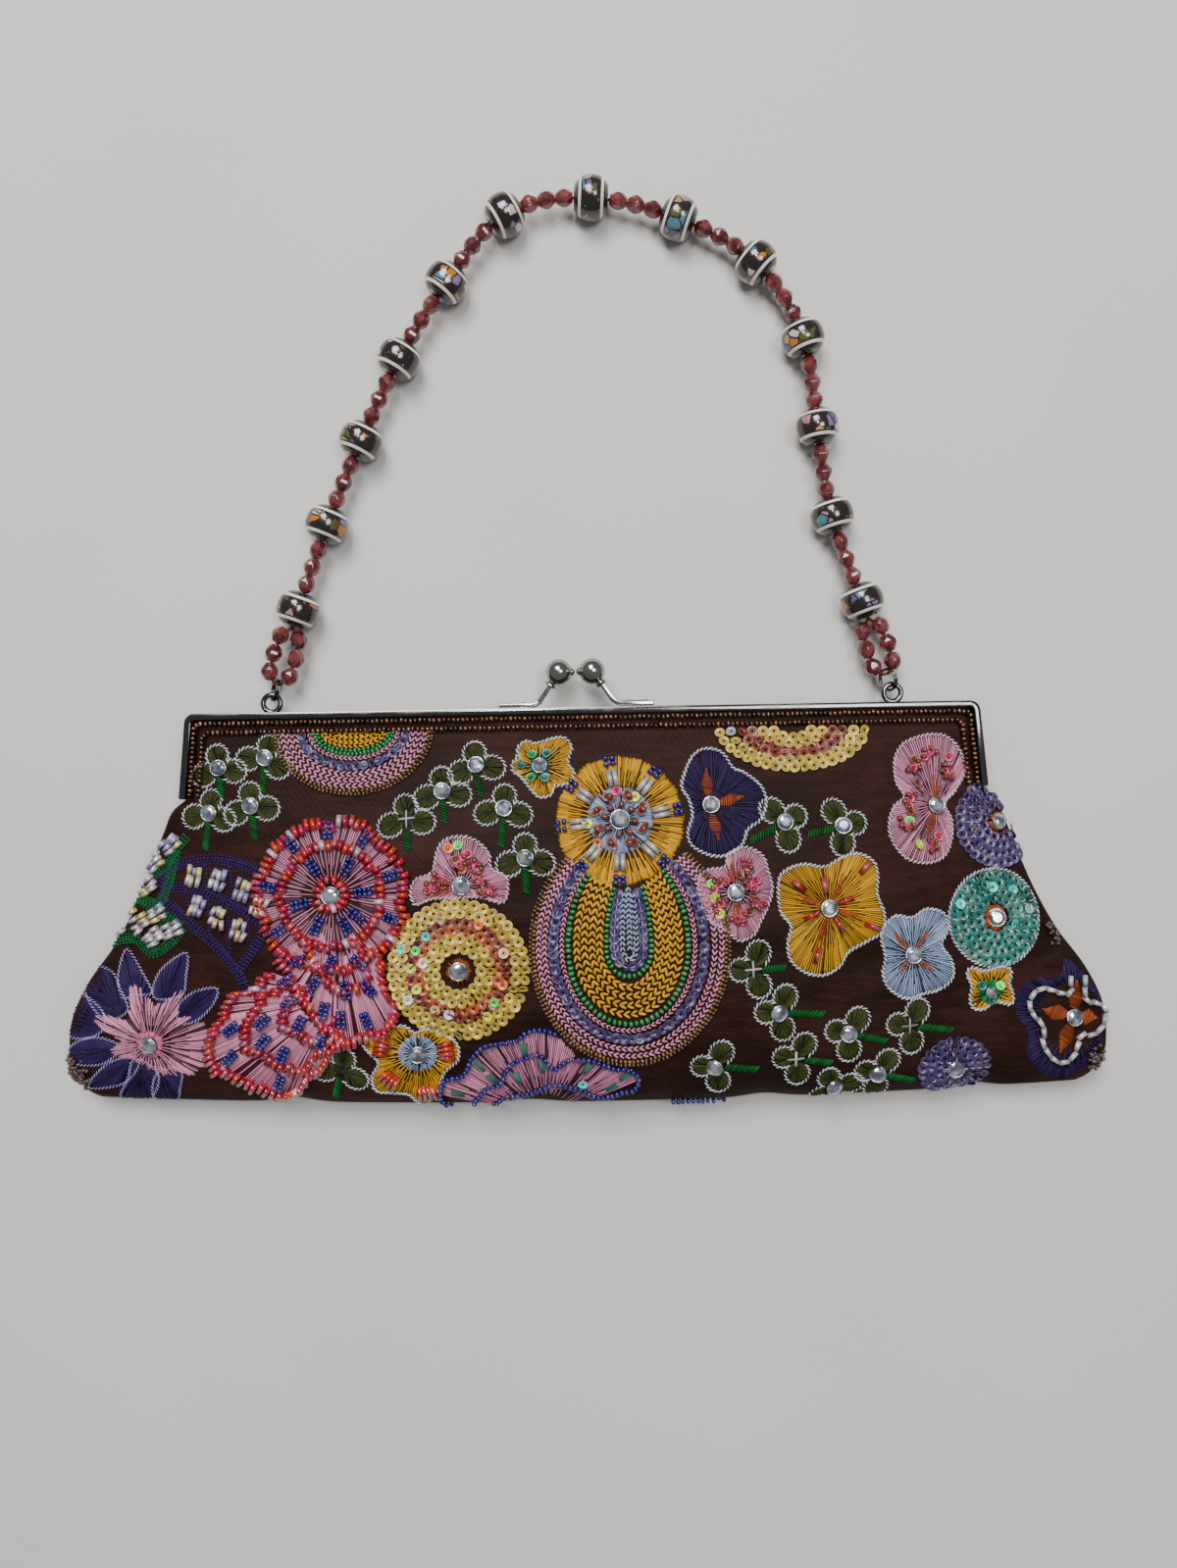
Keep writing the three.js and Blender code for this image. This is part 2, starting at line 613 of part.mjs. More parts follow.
/** A large barrel bead with its bore, its middle at the origin and its hole along Y. */
function largeBead() {
  const [r, h] = [LARGE_BEAD_RADIUS, LARGE_BEAD_LENGTH / 2];
  const shoulder = (LARGE_BEAD_END + 2 * r) / 3;
  const profile = [
    [LARGE_BEAD_BORE, -h],
    [LARGE_BEAD_END, -h],
    [shoulder, -0.68 * h],
    [r, -0.25 * h],
    [r, 0.25 * h],
    [shoulder, 0.68 * h],
    [LARGE_BEAD_END, h],
    [LARGE_BEAD_BORE, h],
    [LARGE_BEAD_BORE, -h],
  ];
  return solidOf(new THREE.LatheGeometry(profile.map((p) => new THREE.Vector2(...p)), LARGE_BEAD_SIDES));
}

/** A small faceted bead with its middle at the origin and its hole along Y. */
function smallBead() {
  const h = SMALL_BEAD_LENGTH / 2;
  const profile = [
    [0, -h],
    [SMALL_BEAD_END, -h],
    [SMALL_BEAD_RADIUS, -0.3 * h],
    [SMALL_BEAD_RADIUS, 0.3 * h],
    [SMALL_BEAD_END, h],
    [0, h],
  ];
  return solidOf(new THREE.LatheGeometry(profile.map((p) => new THREE.Vector2(...p)), SMALL_BEAD_SIDES));
}

/** The split ring at one end of the strap: its centre and its own three directions. */
function splitRingPlace(hand, strapEnd) {
  const eye = eyePoint(hand);
  const along = strapEnd.clone().sub(eye).normalize();
  const beside = new THREE.Vector3().crossVectors(along, new THREE.Vector3(0, 0, 1)).normalize();
  const up = new THREE.Vector3().crossVectors(beside, along);
  const twist = radians(SPLIT_TWIST);
  const across = beside.clone().multiplyScalar(Math.cos(twist)).addScaledVector(up, Math.sin(twist));
  const seat = EYE_RING - EYE_WIRE - SPLIT_WIRE - CLEARANCE;
  return { along, beside, across, centre: eye.clone().addScaledVector(along, seat + SPLIT_RING) };
}

/** The split ring as a solid. */
function splitRing(hand, strapEnd) {
  const place = splitRingPlace(hand, strapEnd);
  const normal = new THREE.Vector3().crossVectors(place.along, place.across);
  const basis = new THREE.Matrix4().makeBasis(place.along, place.across, normal).setPosition(place.centre);
  return placed(ringSolid(SPLIT_RING, SPLIT_WIRE, 16, 6), basis);
}

/** The loop of small beads that ties the strap's end into a split ring. */
function endLoop(hand, strapEnd) {
  const { along, beside, centre } = splitRingPlace(hand, strapEnd);
  const turn = SPLIT_RING - SPLIT_WIRE - THREAD_RADIUS - CLEARANCE;
  const first = strapEnd.distanceTo(centre) - LOOP_END;
  const at = (distance, aside) =>
    centre.clone().addScaledVector(along, distance).addScaledVector(beside, aside);
  const strand = [
    { distance: first, aside: 0.9 * LOOP_SPREAD },
    { distance: (first + LOOP_START) / 2, aside: 1.1 * LOOP_SPREAD },
    { distance: LOOP_START, aside: LOOP_SPREAD },
  ];
  const out = strand.map((b) => at(b.distance, b.aside));
  const home = strand.map((b) => at(b.distance, -b.aside)).reverse();
  const turns = [at(turn, 0.3 * LOOP_SPREAD), at(turn, -0.3 * LOOP_SPREAD)];
  const thread = [strapEnd, ...out, ...turns, ...home, strapEnd];
  const threaded = (centre) => {
    const k = thread.indexOf(centre);
    return { centre, direction: thread[k + 1].clone().sub(thread[k - 1]).normalize() };
  };
  return { beads: [...out, ...home].map(threaded), thread };
}

/** The thread with all its small beads, in one piece. It passes through the large beads' bores. */
function beadString(layout) {
  const ends = [
    { hand: -1, point: layout.ends[0] },
    { hand: 1, point: layout.ends[1] },
  ];
  const loops = ends.map((end) => endLoop(end.hand, end.point));
  const bead = smallBead();
  const section = polygonShape(THREAD_RADIUS, THREAD_SIDES);
  const small = [...layout.beads.filter((b) => !b.large), ...loops.flatMap((loop) => loop.beads)];
  const solids = small.map((b) => placed(bead, alongMatrix(b.centre, b.direction)));
  solids.push(sweptSolid(section, layout.thread));
  for (const loop of loops) {
    const half = Math.ceil(loop.thread.length / 2);
    solids.push(sweptSolid(section, loop.thread.slice(0, half)));
    solids.push(sweptSolid(section, loop.thread.slice(half - 1)));
  }
  for (const end of ends) {
    solids.push(solidOf(new THREE.SphereGeometry(THREAD_RADIUS * 1.3, 6, 4)).translate(end.point.toArray()));
  }
  return wasm.Manifold.union(solids).asOriginal().simplify(SMOOTHING);
}

// The whole bag

const satin = { color: 0x34190f, roughness: 0.55, metalness: 0 };
const nickel = { color: 0x9a9690, roughness: 0.25, metalness: 1 };
const bronzeBeads = { color: 0x4a2c1c, roughness: 0.3, metalness: 0.6 };
const garnet = { color: 0x8e2f34, roughness: 0.15, metalness: 0 };
const blackResin = { color: 0x1c1416, roughness: 0.2, metalness: 0 };

/** The bead border of one half. */
function beadBorder(side) {
  return frameBand(borderStart, borderEnd, ...halfLevels(side).border);
}

/** The cloth body with its frame, its bead borders and its hinge pins. */
function framedBody() {
  const group = new THREE.Group();
  const panels = bagPanels();
  group.add(meshOf("bag_front", panels.front, satin));
  group.add(meshOf("bag_back", panels.back, satin));
  group.add(meshOf("frame_front", frameHalfSolid(1, 1), nickel));
  group.add(meshOf("frame_back", frameHalfSolid(-1, -1).add(strapEye(-1)).add(strapEye(1)), nickel));
  group.add(meshOf("bead_border_front", beadBorder(1), bronzeBeads));
  group.add(meshOf("bead_border_back", beadBorder(-1), bronzeBeads));
  group.add(meshOf("hinge_pin_left", hingePin(-1), nickel));
  group.add(meshOf("hinge_pin_right", hingePin(1), nickel));
  return group;
}

/** The kiss-lock clasp: the left arm stands on the back half and the right arm on the front half. */
function kissLock() {
  const group = new THREE.Group();
  for (const [name, side] of [["front", 1], ["back", -1]]) {
    const ball = meshOf(`clasp_ball_${name}`, claspBall(side, side), nickel);
    ball.position.copy(ballPoint(side, side));
    group.add(meshOf(`clasp_arm_${name}`, claspArm(side, side), nickel), ball);
  }
  return group;
}

/** The strap: its split rings, its string of small beads and its large beads. */
function beadStrap() {
  const layout = strapLayout();
  const group = new THREE.Group();
  group.add(meshOf("split_ring_left", splitRing(-1, layout.ends[0]), nickel));
  group.add(meshOf("split_ring_right", splitRing(1, layout.ends[1]), nickel));
  group.add(meshOf("bead_string", beadString(layout), garnet));
  const barrel = largeBead();
  layout.beads
    .filter((bead) => bead.large)
    .forEach((bead, k) => {
      const mesh = meshOf(`large_bead_${String(k + 1).padStart(2, "0")}`, barrel, blackResin);
      mesh.position.copy(bead.centre);
      mesh.quaternion.setFromRotationMatrix(alongMatrix(bead.centre, bead.direction));
      group.add(mesh);
    });
  return group;
}

const bag = new THREE.Group();
bag.add(framedBody(), kissLock(), beadStrap());
const extent = new THREE.Box3().setFromObject(bag, true);
const middle = extent.getCenter(new THREE.Vector3());
bag.position.set(-middle.x, -middle.y, -extent.min.z);

export default bag;
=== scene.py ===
"""Looks of an embroidered and beaded evening bag that lies on its back with its strap laid out.

Every size is in bag millimetres: X across from the centre line, Y up from the frame's top edge and
Z up from the floor. A mesh is turned into metres in the row's frame only when it is finished.
"""

import functools
import json
import logging
import math
from dataclasses import dataclass, field
from enum import Enum

import bpy
import numpy as np
from mathutils import Matrix, Vector

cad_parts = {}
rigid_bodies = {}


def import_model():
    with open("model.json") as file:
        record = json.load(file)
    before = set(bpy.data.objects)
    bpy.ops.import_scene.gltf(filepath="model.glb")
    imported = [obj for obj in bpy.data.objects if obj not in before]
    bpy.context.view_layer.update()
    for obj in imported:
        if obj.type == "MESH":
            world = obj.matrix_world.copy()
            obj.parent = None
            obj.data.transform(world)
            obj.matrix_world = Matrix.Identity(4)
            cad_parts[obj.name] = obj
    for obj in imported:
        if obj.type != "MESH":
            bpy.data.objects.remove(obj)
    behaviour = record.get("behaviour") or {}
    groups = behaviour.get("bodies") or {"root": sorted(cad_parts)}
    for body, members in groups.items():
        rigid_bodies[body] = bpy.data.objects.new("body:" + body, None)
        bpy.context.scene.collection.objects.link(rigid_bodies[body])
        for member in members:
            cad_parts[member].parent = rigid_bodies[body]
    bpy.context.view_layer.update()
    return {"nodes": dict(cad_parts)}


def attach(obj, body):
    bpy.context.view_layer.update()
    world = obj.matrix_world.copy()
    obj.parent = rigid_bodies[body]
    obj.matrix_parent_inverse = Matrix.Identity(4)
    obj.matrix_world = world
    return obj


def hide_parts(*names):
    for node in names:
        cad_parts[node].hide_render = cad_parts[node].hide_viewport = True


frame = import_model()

log = logging.getLogger("evening_bag")

MILLIMETRE = 0.001
ROW_SHIFT = -21.174  # from the frame's top edge to the row's origin, along Y
BODY = "root"

FRAME_HALF = 116.5  # half the frame's width at its top
FRAME_LEG = 25.0
FRAME_CORNER = 3.0
FRAME_LEVEL = 9.5  # where its two halves meet, over the floor
FRAME_FLARE = 0.0892  # how far a leg leans out, for each step down
MOUTH = 1.2  # the depth where the cloth starts

Array = np.ndarray
Colour = tuple[float, float, float]


# Colours


def dye(red: int, green: int, blue: int) -> Colour:
    """Give the linear colour of a dye.

    Args:
        red: The red of the dye as it is seen, from 0 to 255.
        green: Its green.
        blue: Its blue.

    Returns:
        The three linear values.
    """
    seen = np.array([red, green, blue]) / 255.0
    linear = np.where(seen <= 0.04045, seen / 12.92, ((seen + 0.055) / 1.055) ** 2.4)
    return tuple(float(value) for value in linear)


class Dye(Enum):
    """The colours of the threads, sequins, bugles and beads."""

    OLIVE = dye(56, 62, 26)
    STEM = dye(10, 92, 34)
    FROST = dye(190, 194, 200)
    ROSE_FROST = dye(198, 176, 186)
    GOLD = dye(204, 150, 26)
    AMBER = dye(150, 100, 18)
    ROSE = dye(200, 132, 158)
    DEEP_ROSE = dye(184, 100, 132)
    RUST = dye(160, 76, 40)
    BROWN = dye(112, 50, 36)
    VIOLET = dye(45, 28, 74)
    LILAC = dye(58, 46, 94)
    PALE_LILAC = dye(160, 150, 196)
    SKY = dye(142, 158, 188)
    NAVY = dye(22, 17, 108)
    EMERALD = dye(26, 124, 58)
    TEAL = dye(13, 106, 97)
    CYAN = dye(60, 220, 214)
    SCARLET = dye(186, 32, 52)
    CORAL = dye(204, 62, 34)
    MAGENTA = dye(176, 38, 84)
    NEON_YELLOW = dye(214, 240, 60)
    NEON_GREEN = dye(70, 236, 90)
    ORANGE = dye(232, 122, 50)
    STRAW = dye(184, 156, 58)
    PALE_STRAW = dye(226, 210, 130)
    BRONZE = dye(86, 60, 34)
    GOLD_BEAD = dye(124, 90, 40)
    DARK_BRONZE = dye(66, 46, 34)
    CLEAR = dye(204, 202, 204)
    PINK_CLEAR = dye(226, 190, 206)
    PEACH = dye(222, 180, 140)
    WHITE = dye(226, 222, 226)
    SILVER = dye(176, 180, 186)


# Shader arithmetic


class Signal:
    """A shader value whose Python arithmetic becomes Math nodes."""

    def __init__(self, graph: "Graph", socket: bpy.types.NodeSocket) -> None:
        """Keep the graph and the socket that gives the value."""
        self.graph = graph
        self.socket = socket

    def math(self, operation: str, *others: "Signal | float", flipped: bool = False) -> "Signal":
        """Add one Math node.

        Args:
            operation: What the node does.
            others: Its other values.
            flipped: Whether this value comes last.

        Returns:
            The node's value.
        """
        values = [*others, self] if flipped else [self, *others]
        return self.graph.value("ShaderNodeMath", {"operation": operation}, dict(enumerate(values)))

    def __add__(self, other: "Signal | float") -> "Signal":
        """Add a value."""
        return self.math("ADD", other)

    __radd__ = __add__

    def __sub__(self, other: "Signal | float") -> "Signal":
        """Take a value away."""
        return self.math("SUBTRACT", other)

    def __rsub__(self, other: "Signal | float") -> "Signal":
        """Take this away from a value."""
        return self.math("SUBTRACT", other, flipped=True)

    def __mul__(self, other: "Signal | float") -> "Signal":
        """Multiply by a value."""
        return self.math("MULTIPLY", other)

    __rmul__ = __mul__

    def __truediv__(self, other: "Signal | float") -> "Signal":
        """Divide by a value."""
        return self.math("DIVIDE", other)

    def __rtruediv__(self, other: "Signal | float") -> "Signal":
        """Divide a value by this."""
        return self.math("DIVIDE", other, flipped=True)

    def __pow__(self, other: "Signal | float") -> "Signal":
        """Raise this to a power."""
        return self.math("POWER", other)

    def __gt__(self, other: "Signal | float") -> "Signal":
        """Give 1 where this is greater."""
        return self.math("GREATER_THAN", other)

    def __lt__(self, other: "Signal | float") -> "Signal":
        """Give 1 where this is less."""
        return self.math("LESS_THAN", other)

    def size(self) -> "Signal":
        """Drop the sign."""
        return self.math("ABSOLUTE")

    def ramp(self, low: float, high: float) -> "Signal":
        """Rise smoothly from 0 at a low value to 1 at a high one."""
        return self.graph.value(
            "ShaderNodeMapRange",
            {"interpolation_type": "SMOOTHSTEP"},
            {"Value": self, "From Min": low, "From Max": high},
        )


class Graph:
    """The nodes of one material."""

    def __init__(self, material: bpy.types.Material) -> None:
        """Clear a material's nodes and start again."""
        material.use_nodes = True
        self.tree = material.node_tree
        self.tree.nodes.clear()

    def add(self, kind: str, settings: dict | None = None, inputs: dict | None = None) -> bpy.types.Node:
        """Add any node.

        Args:
            kind: The node's type.
            settings: What is set on the node itself, before its sockets. stops are a ramp's.
            inputs: Values or links of its input sockets, by name or number.

        Returns:
            The node.
        """
        node = self.tree.nodes.new(kind)
        for name, setting in (settings or {}).items():
            if name == "stops":
                elements = node.color_ramp.elements
                while len(elements) < len(setting):
                    elements.new(0.5)
                for element, (place, colour) in zip(elements, setting):
                    element.position = place
                    element.color = (*colour, 1.0)
            else:
                setattr(node, name, setting)
        for key, given in (inputs or {}).items():
            socket = node.inputs[key]
            given = given.socket if isinstance(given, Signal) else given
            if isinstance(given, bpy.types.NodeSocket):
                self.tree.links.new(given, socket)
            elif isinstance(given, tuple) and len(given) == 3 and socket.type == "RGBA":
                socket.default_value = (*given, 1.0)
            else:
                socket.default_value = given
        return node

    def value(self, kind: str, settings: dict | None = None, inputs: dict | None = None) -> Signal:
        """Add a node and keep its first output as a value."""
        return Signal(self, self.add(kind, settings, inputs).outputs[0])

    def mix(
        self, share: "Signal | float", first: object, second: object, blend: str = "MIX"
    ) -> bpy.types.NodeSocket:
        """Mix two colours.

        Args:
            share: How much of the second there is.
            first: The first colour.
            second: The second colour.
            blend: How they blend.

        Returns:
            The mixed colour's socket.
        """
        settings = {"data_type": "RGBA", "blend_type": blend, "clamp_result": False}
        return self.add("ShaderNodeMix", settings, {0: share, 6: first, 7: second}).outputs[2]

    def grey(self, level: "Signal") -> bpy.types.NodeSocket:
        """Make a grey colour of a value."""
        return self.add("ShaderNodeCombineColor", None, {0: level, 1: level, 2: level}).outputs[0]

    def place(self) -> bpy.types.NodeSocket:
        """Give the place on the object."""
        return self.add("ShaderNodeTexCoord").outputs["Object"]

    def stretched(self, scale: Colour, turn: float = 0.0) -> bpy.types.NodeSocket:
        """Give the place on the object, scaled along each axis after a turn about Z in degrees."""
        inputs = {"Vector": self.place(), "Rotation": (0.0, 0.0, math.radians(turn)), "Scale": scale}
        return self.add("ShaderNodeMapping", None, inputs).outputs[0]

    def noise(
        self, per_metre: float, detail: float = 2.0, vector: object = None, rough: float = 0.5
    ) -> Signal:
        """Give an even noise from 0 to 1, about one half."""
        inputs = {"Vector": vector or self.place(), "Scale": per_metre, "Detail": detail, "Roughness": rough}
        return self.value("ShaderNodeTexNoise", None, inputs)

    def tint(self) -> bpy.types.NodeSocket:
        """Give the colour that the mesh keeps on its corners."""
        return self.add("ShaderNodeAttribute", {"attribute_name": "Tint"}).outputs["Color"]

    def bump(self, height: Signal, deep: float, strength: float = 1.0) -> bpy.types.NodeSocket:
        """Turn a height from 0 to 1 into a normal, deep in metres."""
        inputs = {"Height": height, "Distance": deep, "Strength": strength}
        return self.add("ShaderNodeBump", None, inputs).outputs[0]

    def finish(self, **inputs: object) -> None:
        """Add the surface shader and the output. A name's underscores stand for spaces."""
        named = {name.replace("_", " "): given for name, given in inputs.items()}
        shader = self.add("ShaderNodeBsdfPrincipled", None, named)
        self.add("ShaderNodeOutputMaterial", None, {"Surface": shader.outputs[0]})


# Finishes


@dataclass(frozen=True)
class Finish:
    """A finish that is painted in nodes."""

    name: str = "finish"

    def paint(self, graph: Graph) -> None:
        """Add the finish's nodes."""
        raise NotImplementedError


@functools.cache
def material_of(finish: Finish) -> bpy.types.Material:
    """Make a finish's material once."""
    material = bpy.data.materials.new(finish.name)
    finish.paint(Graph(material))
    return material


@dataclass(frozen=True)
class Satin(Finish):
    """Dark chocolate satin with a fine slanted weave, soft pulls and a painted sheen."""

    name: str = "chocolate_satin"
    deep: Colour = dye(28, 16, 13)
    # The lighter tone of the sheen that is painted into the colour.
    sheen_tone_painted: Colour = dye(54, 31, 26)
    weave_per_metre: float = 330.0

    def paint(self, graph: Graph) -> None:
        """Add the weave, the pulls in the cloth and a sheen painted into the colour in broad soft streaks."""
        pulls = graph.noise(300.0, 3.0, graph.stretched((0.3, 1.5, 1.0), 12.0))
        cloudy = graph.noise(55.0, 2.0)
        # The folds noise marks broad soft streaks where a sheen is painted into the colour.
        folds = graph.noise(42.0, 1.5, graph.stretched((0.45, 1.0, 1.0), 34.0))
        weave = graph.value(
            "ShaderNodeTexWave",
            {"wave_type": "BANDS", "bands_direction": "DIAGONAL"},
            {
                "Vector": graph.place(), "Scale": self.weave_per_metre, "Distortion": 3.5, "Detail": 2.0,
                "Detail Scale": 2.5,
            },
        )
        slub = graph.noise(1500.0, 2.0, graph.stretched((0.22, 1.0, 1.0), 24.0))
        # Partly random tone from the pulls, clouds and slubs, partly painted sheen: the colour runs from the
        # deep brown to the lighter painted sheen tone.
        colour = graph.mix(
            (pulls * 0.35 + cloudy * 0.25 + folds * 0.45 + slub * 0.15 - 0.1).ramp(0.34, 0.74), self.deep,
            self.sheen_tone_painted,
        )
        colour = graph.mix(1.0, colour, graph.grey(0.84 + weave * 0.12 + slub * 0.22), "MULTIPLY")
        height = weave * 0.3 + slub * 0.5 + pulls * 1.8
        graph.finish(
            Base_Color=colour,
            Roughness=0.42 + slub * 0.12 + cloudy * 0.1,
            Specular_IOR_Level=0.05,
            Normal=graph.bump(height, 0.00018, 0.7),
        )


@dataclass(frozen=True)
class Floss(Finish):
    """Embroidery thread in the colour that the mesh keeps."""

    name: str = "embroidery_floss"
    gloss: float = 0.44

    def paint(self, graph: Graph) -> None:
        """Add the fibres and the uneven dye."""
        fibre = graph.noise(3800.0, 2.0)
        cloudy = graph.noise(420.0, 2.0)
        colour = graph.mix(1.0, graph.tint(), graph.grey(0.5 + fibre * 0.5 + cloudy * 0.34), "MULTIPLY")
        graph.finish(
            Base_Color=colour,
            Roughness=self.gloss + fibre * 0.18,
            Specular_IOR_Level=0.16,
            Normal=graph.bump(fibre, 0.00012, 0.7),
        )


@dataclass(frozen=True)
class Glass(Finish):
    """Glass or clear plastic beads and bugles in the colour that the mesh keeps."""

    name: str = "bead_glass"
    clearness: float = 0.2
    metal: float = 0.0
    # The pale pink tone, and the share of it, of a sheen painted over the beads' colour in patches.
    sheen_tint_painted: Colour = (0.9, 0.6, 0.8)
    painted_sheen: float = 0.08

    def paint(self, graph: Graph) -> None:
        """Add a pearly sheen painted in pale patches, and the uneven tone of small glass."""
        spots = graph.noise(900.0, 1.5)
        # Pale patches of painted sheen over the bead's colour.
        painted_sheen = graph.noise(360.0, 1.0).ramp(0.52, 0.72)
        colour = graph.mix(painted_sheen * self.painted_sheen, graph.tint(), self.sheen_tint_painted)
        colour = graph.mix(1.0, colour, graph.grey(0.7 + spots * 0.6), "MULTIPLY")
        graph.finish(
            Base_Color=colour,
            Metallic=self.metal,
            Roughness=0.09 + spots * 0.14,
            Transmission_Weight=self.clearness,
            Coat_Weight=0.6,
            Coat_Roughness=0.06,
            Normal=graph.bump(spots, 0.00006, 0.5),
        )


@dataclass(frozen=True)
class Spangle(Finish):
    """Thin shining sequins in the colour that the mesh keeps."""

    name: str = "sequin_film"

    def paint(self, graph: Graph) -> None:
        """Add highlights painted in pale cream patches, browner patches and the fine crinkles of the film."""
        play = graph.noise(310.0, 1.0)
        crinkle = graph.noise(1500.0, 2.0)
        # Pale cream patches painted on the film as highlights.
        painted_glints = graph.mix(play.ramp(0.5, 0.7) * 0.1, graph.tint(), dye(240, 226, 190))
        colour = graph.mix(
            play.ramp(0.36, 0.5) * -0.3 + 0.3, painted_glints, graph.mix(0.35, graph.tint(), dye(150, 84, 56))
        )
        colour = graph.mix(1.0, colour, graph.grey(0.84 + crinkle * 0.3), "MULTIPLY")
        graph.finish(
            Base_Color=colour,
            Metallic=0.15,
            Roughness=0.3 + crinkle * 0.16,
            Coat_Weight=0.22,
            Coat_Roughness=0.12,
            Normal=graph.bump(crinkle, 0.00008, 0.6),
        )


@dataclass(frozen=True)
class Rhinestone(Finish):
    """Foil-backed faceted stones."""

    name: str = "foil_stone"

    def paint(self, graph: Graph) -> None:
        """Add the foil's uneven grey and the clear face over it."""
        foil = graph.noise(420.0, 1.5)
        colour = graph.mix(foil.ramp(0.35, 0.65), dye(122, 128, 140), dye(216, 220, 228))
        graph.finish(
            Base_Color=colour,
            Metallic=0.86,
            Roughness=0.1 + foil * 0.12,
            Coat_Weight=1.0,
            Coat_Roughness=0.03,
        )


@dataclass(frozen=True)
class Nickel(Finish):
    """Plated metal, a little dulled and scratched."""

    name: str = "nickel_plate"
    shade: Colour = (0.4, 0.385, 0.37)
    worn: Colour = (0.26, 0.24, 0.22)

    def paint(self, graph: Graph) -> None:
        """Add the brushed haze, the hairline scratches and the dulling."""
        haze = graph.noise(120.0, 3.0)
        hairs = graph.noise(900.0, 2.0, graph.stretched((0.06, 1.0, 1.0), 18.0))
        dull = haze.ramp(0.45, 0.75)
        colour = graph.mix(dull * 0.5, self.shade, self.worn)
        graph.finish(
            Base_Color=colour,
            Metallic=1.0,
            Roughness=0.08 + dull * 0.12 + hairs * 0.08,
            Normal=graph.bump(hairs, 0.00002, 0.5),
        )


@dataclass(frozen=True)
class BronzeGlass(Finish):
    """Metallic bronze seed beads."""

    name: str = "bronze_beads"

    def paint(self, graph: Graph) -> None:
        """Add the shade that changes from bead to bead."""
        shade = graph.noise(520.0, 1.0)
        colour = graph.mix(shade.ramp(0.35, 0.65), dye(64, 42, 32), dye(138, 97, 72))
        graph.finish(
            Base_Color=graph.mix(1.0, colour, graph.tint(), "MULTIPLY"),
            Metallic=0.82,
            Roughness=0.2 + shade * 0.12,
            Coat_Weight=0.5,
            Coat_Roughness=0.1,
        )


@dataclass(frozen=True)
class GarnetGlass(Finish):
    """Raspberry-brown faceted glass."""

    name: str = "raspberry_glass"

    def paint(self, graph: Graph) -> None:
        """Add the glass with its deeper and paler streaks."""
        streak = graph.noise(330.0, 2.0)
        wear = graph.noise(2200.0, 2.0)
        colour = graph.mix(streak.ramp(0.35, 0.68), dye(88, 28, 33), dye(150, 72, 72))
        graph.finish(
            Base_Color=colour,
            Roughness=0.06 + wear * 0.1,
            Transmission_Weight=0.45,
            IOR=1.53,
            Coat_Weight=0.6,
            Coat_Roughness=0.05,
            Normal=graph.bump(wear, 0.00003, 0.4),
        )


@dataclass(frozen=True)
class InlaidResin(Finish):
    """Glossy black-brown resin with two pale bands and a band of inlaid chips.

    The mesh keeps each point's own place in its bead in Spot: X along the hole and Y and Z across it.
    """

    name: str = "inlaid_resin"
    band_inner: float = 2.95
    band_outer: float = 3.75
    chips_end: float = 2.5
    chip_per_metre: float = 340.0

    def paint(self, graph: Graph) -> None:
        """Add the resin, the bands and the chips."""
        spot = graph.add("ShaderNodeAttribute", {"attribute_name": "Spot"}).outputs["Vector"]
        parts = graph.add("ShaderNodeSeparateXYZ", None, {0: spot})
        seed = graph.add("ShaderNodeAttribute", {"attribute_name": "Seed"}).outputs["Vector"]
        moved = graph.add("ShaderNodeVectorMath", {"operation": "ADD"}, {0: spot, 1: seed}).outputs[0]
        away = Signal(graph, parts.outputs[0]).size() * 1000.0
        cells = {"Vector": moved, "Scale": self.chip_per_metre, "Randomness": 1.0}
        chip = graph.add("ShaderNodeTexVoronoi", {"feature": "F1"}, cells)
        rim = graph.value("ShaderNodeTexVoronoi", {"feature": "DISTANCE_TO_EDGE"}, cells)
        pick = Signal(
            graph, graph.add("ShaderNodeSeparateColor", None, {0: chip.outputs["Color"]}).outputs[0]
        )
        other = Signal(
            graph, graph.add("ShaderNodeSeparateColor", None, {0: chip.outputs["Color"]}).outputs[1]
        )
        stops = [
            (0.0, dye(150, 120, 176)), (0.16, dye(206, 132, 52)), (0.3, dye(96, 92, 44)),
            (0.42, dye(88, 146, 156)),
            (0.54, dye(226, 216, 206)), (0.68, dye(196, 138, 158)), (0.82, dye(116, 86, 146)),
            (0.93, dye(208, 168, 96)),
        ]
        chips = graph.add("ShaderNodeValToRGB", {"stops": stops}, {0: pick}).outputs[0]
        graph.tree.nodes[-1].color_ramp.interpolation = "CONSTANT"
        grain = graph.noise(1400.0, 2.0)
        shown = (rim > 0.07) * (away < self.chips_end) * (other > 0.46)
        resin = graph.mix(grain.ramp(0.3, 0.7), dye(22, 16, 15), dye(40, 27, 24))
        colour = graph.mix(shown, resin, graph.mix(1.0, chips, graph.grey(0.3 + grain * 0.65), "MULTIPLY"))
        band = (away > self.band_inner) * (away < self.band_outer)
        pale = graph.mix(grain, dye(206, 200, 188), dye(236, 232, 222))
        graph.finish(
            Base_Color=graph.mix(band, colour, pale),
            Roughness=0.12 + grain * 0.12 + band * 0.08,
            Coat_Weight=0.7,
            Coat_Roughness=0.05,
            Normal=graph.bump(1.0 - (rim < 0.04) * (away < self.chips_end) * 0.6 + grain * 0.1, 0.00008, 0.5),
        )


@dataclass(frozen=True)
class PaleFloor(Finish):
    """A plain pale floor."""

    name: str = "pale_floor"

    def paint(self, graph: Graph) -> None:
        """Add the matt, hardly uneven surface."""
        cloudy = graph.noise(9.0, 3.0)
        grain = graph.noise(700.0, 2.0)
        colour = graph.mix(cloudy, dye(196, 193, 189), dye(206, 203, 198))
        graph.finish(Base_Color=colour, Roughness=0.8 + grain * 0.1, Normal=graph.bump(grain, 0.0001, 0.3))


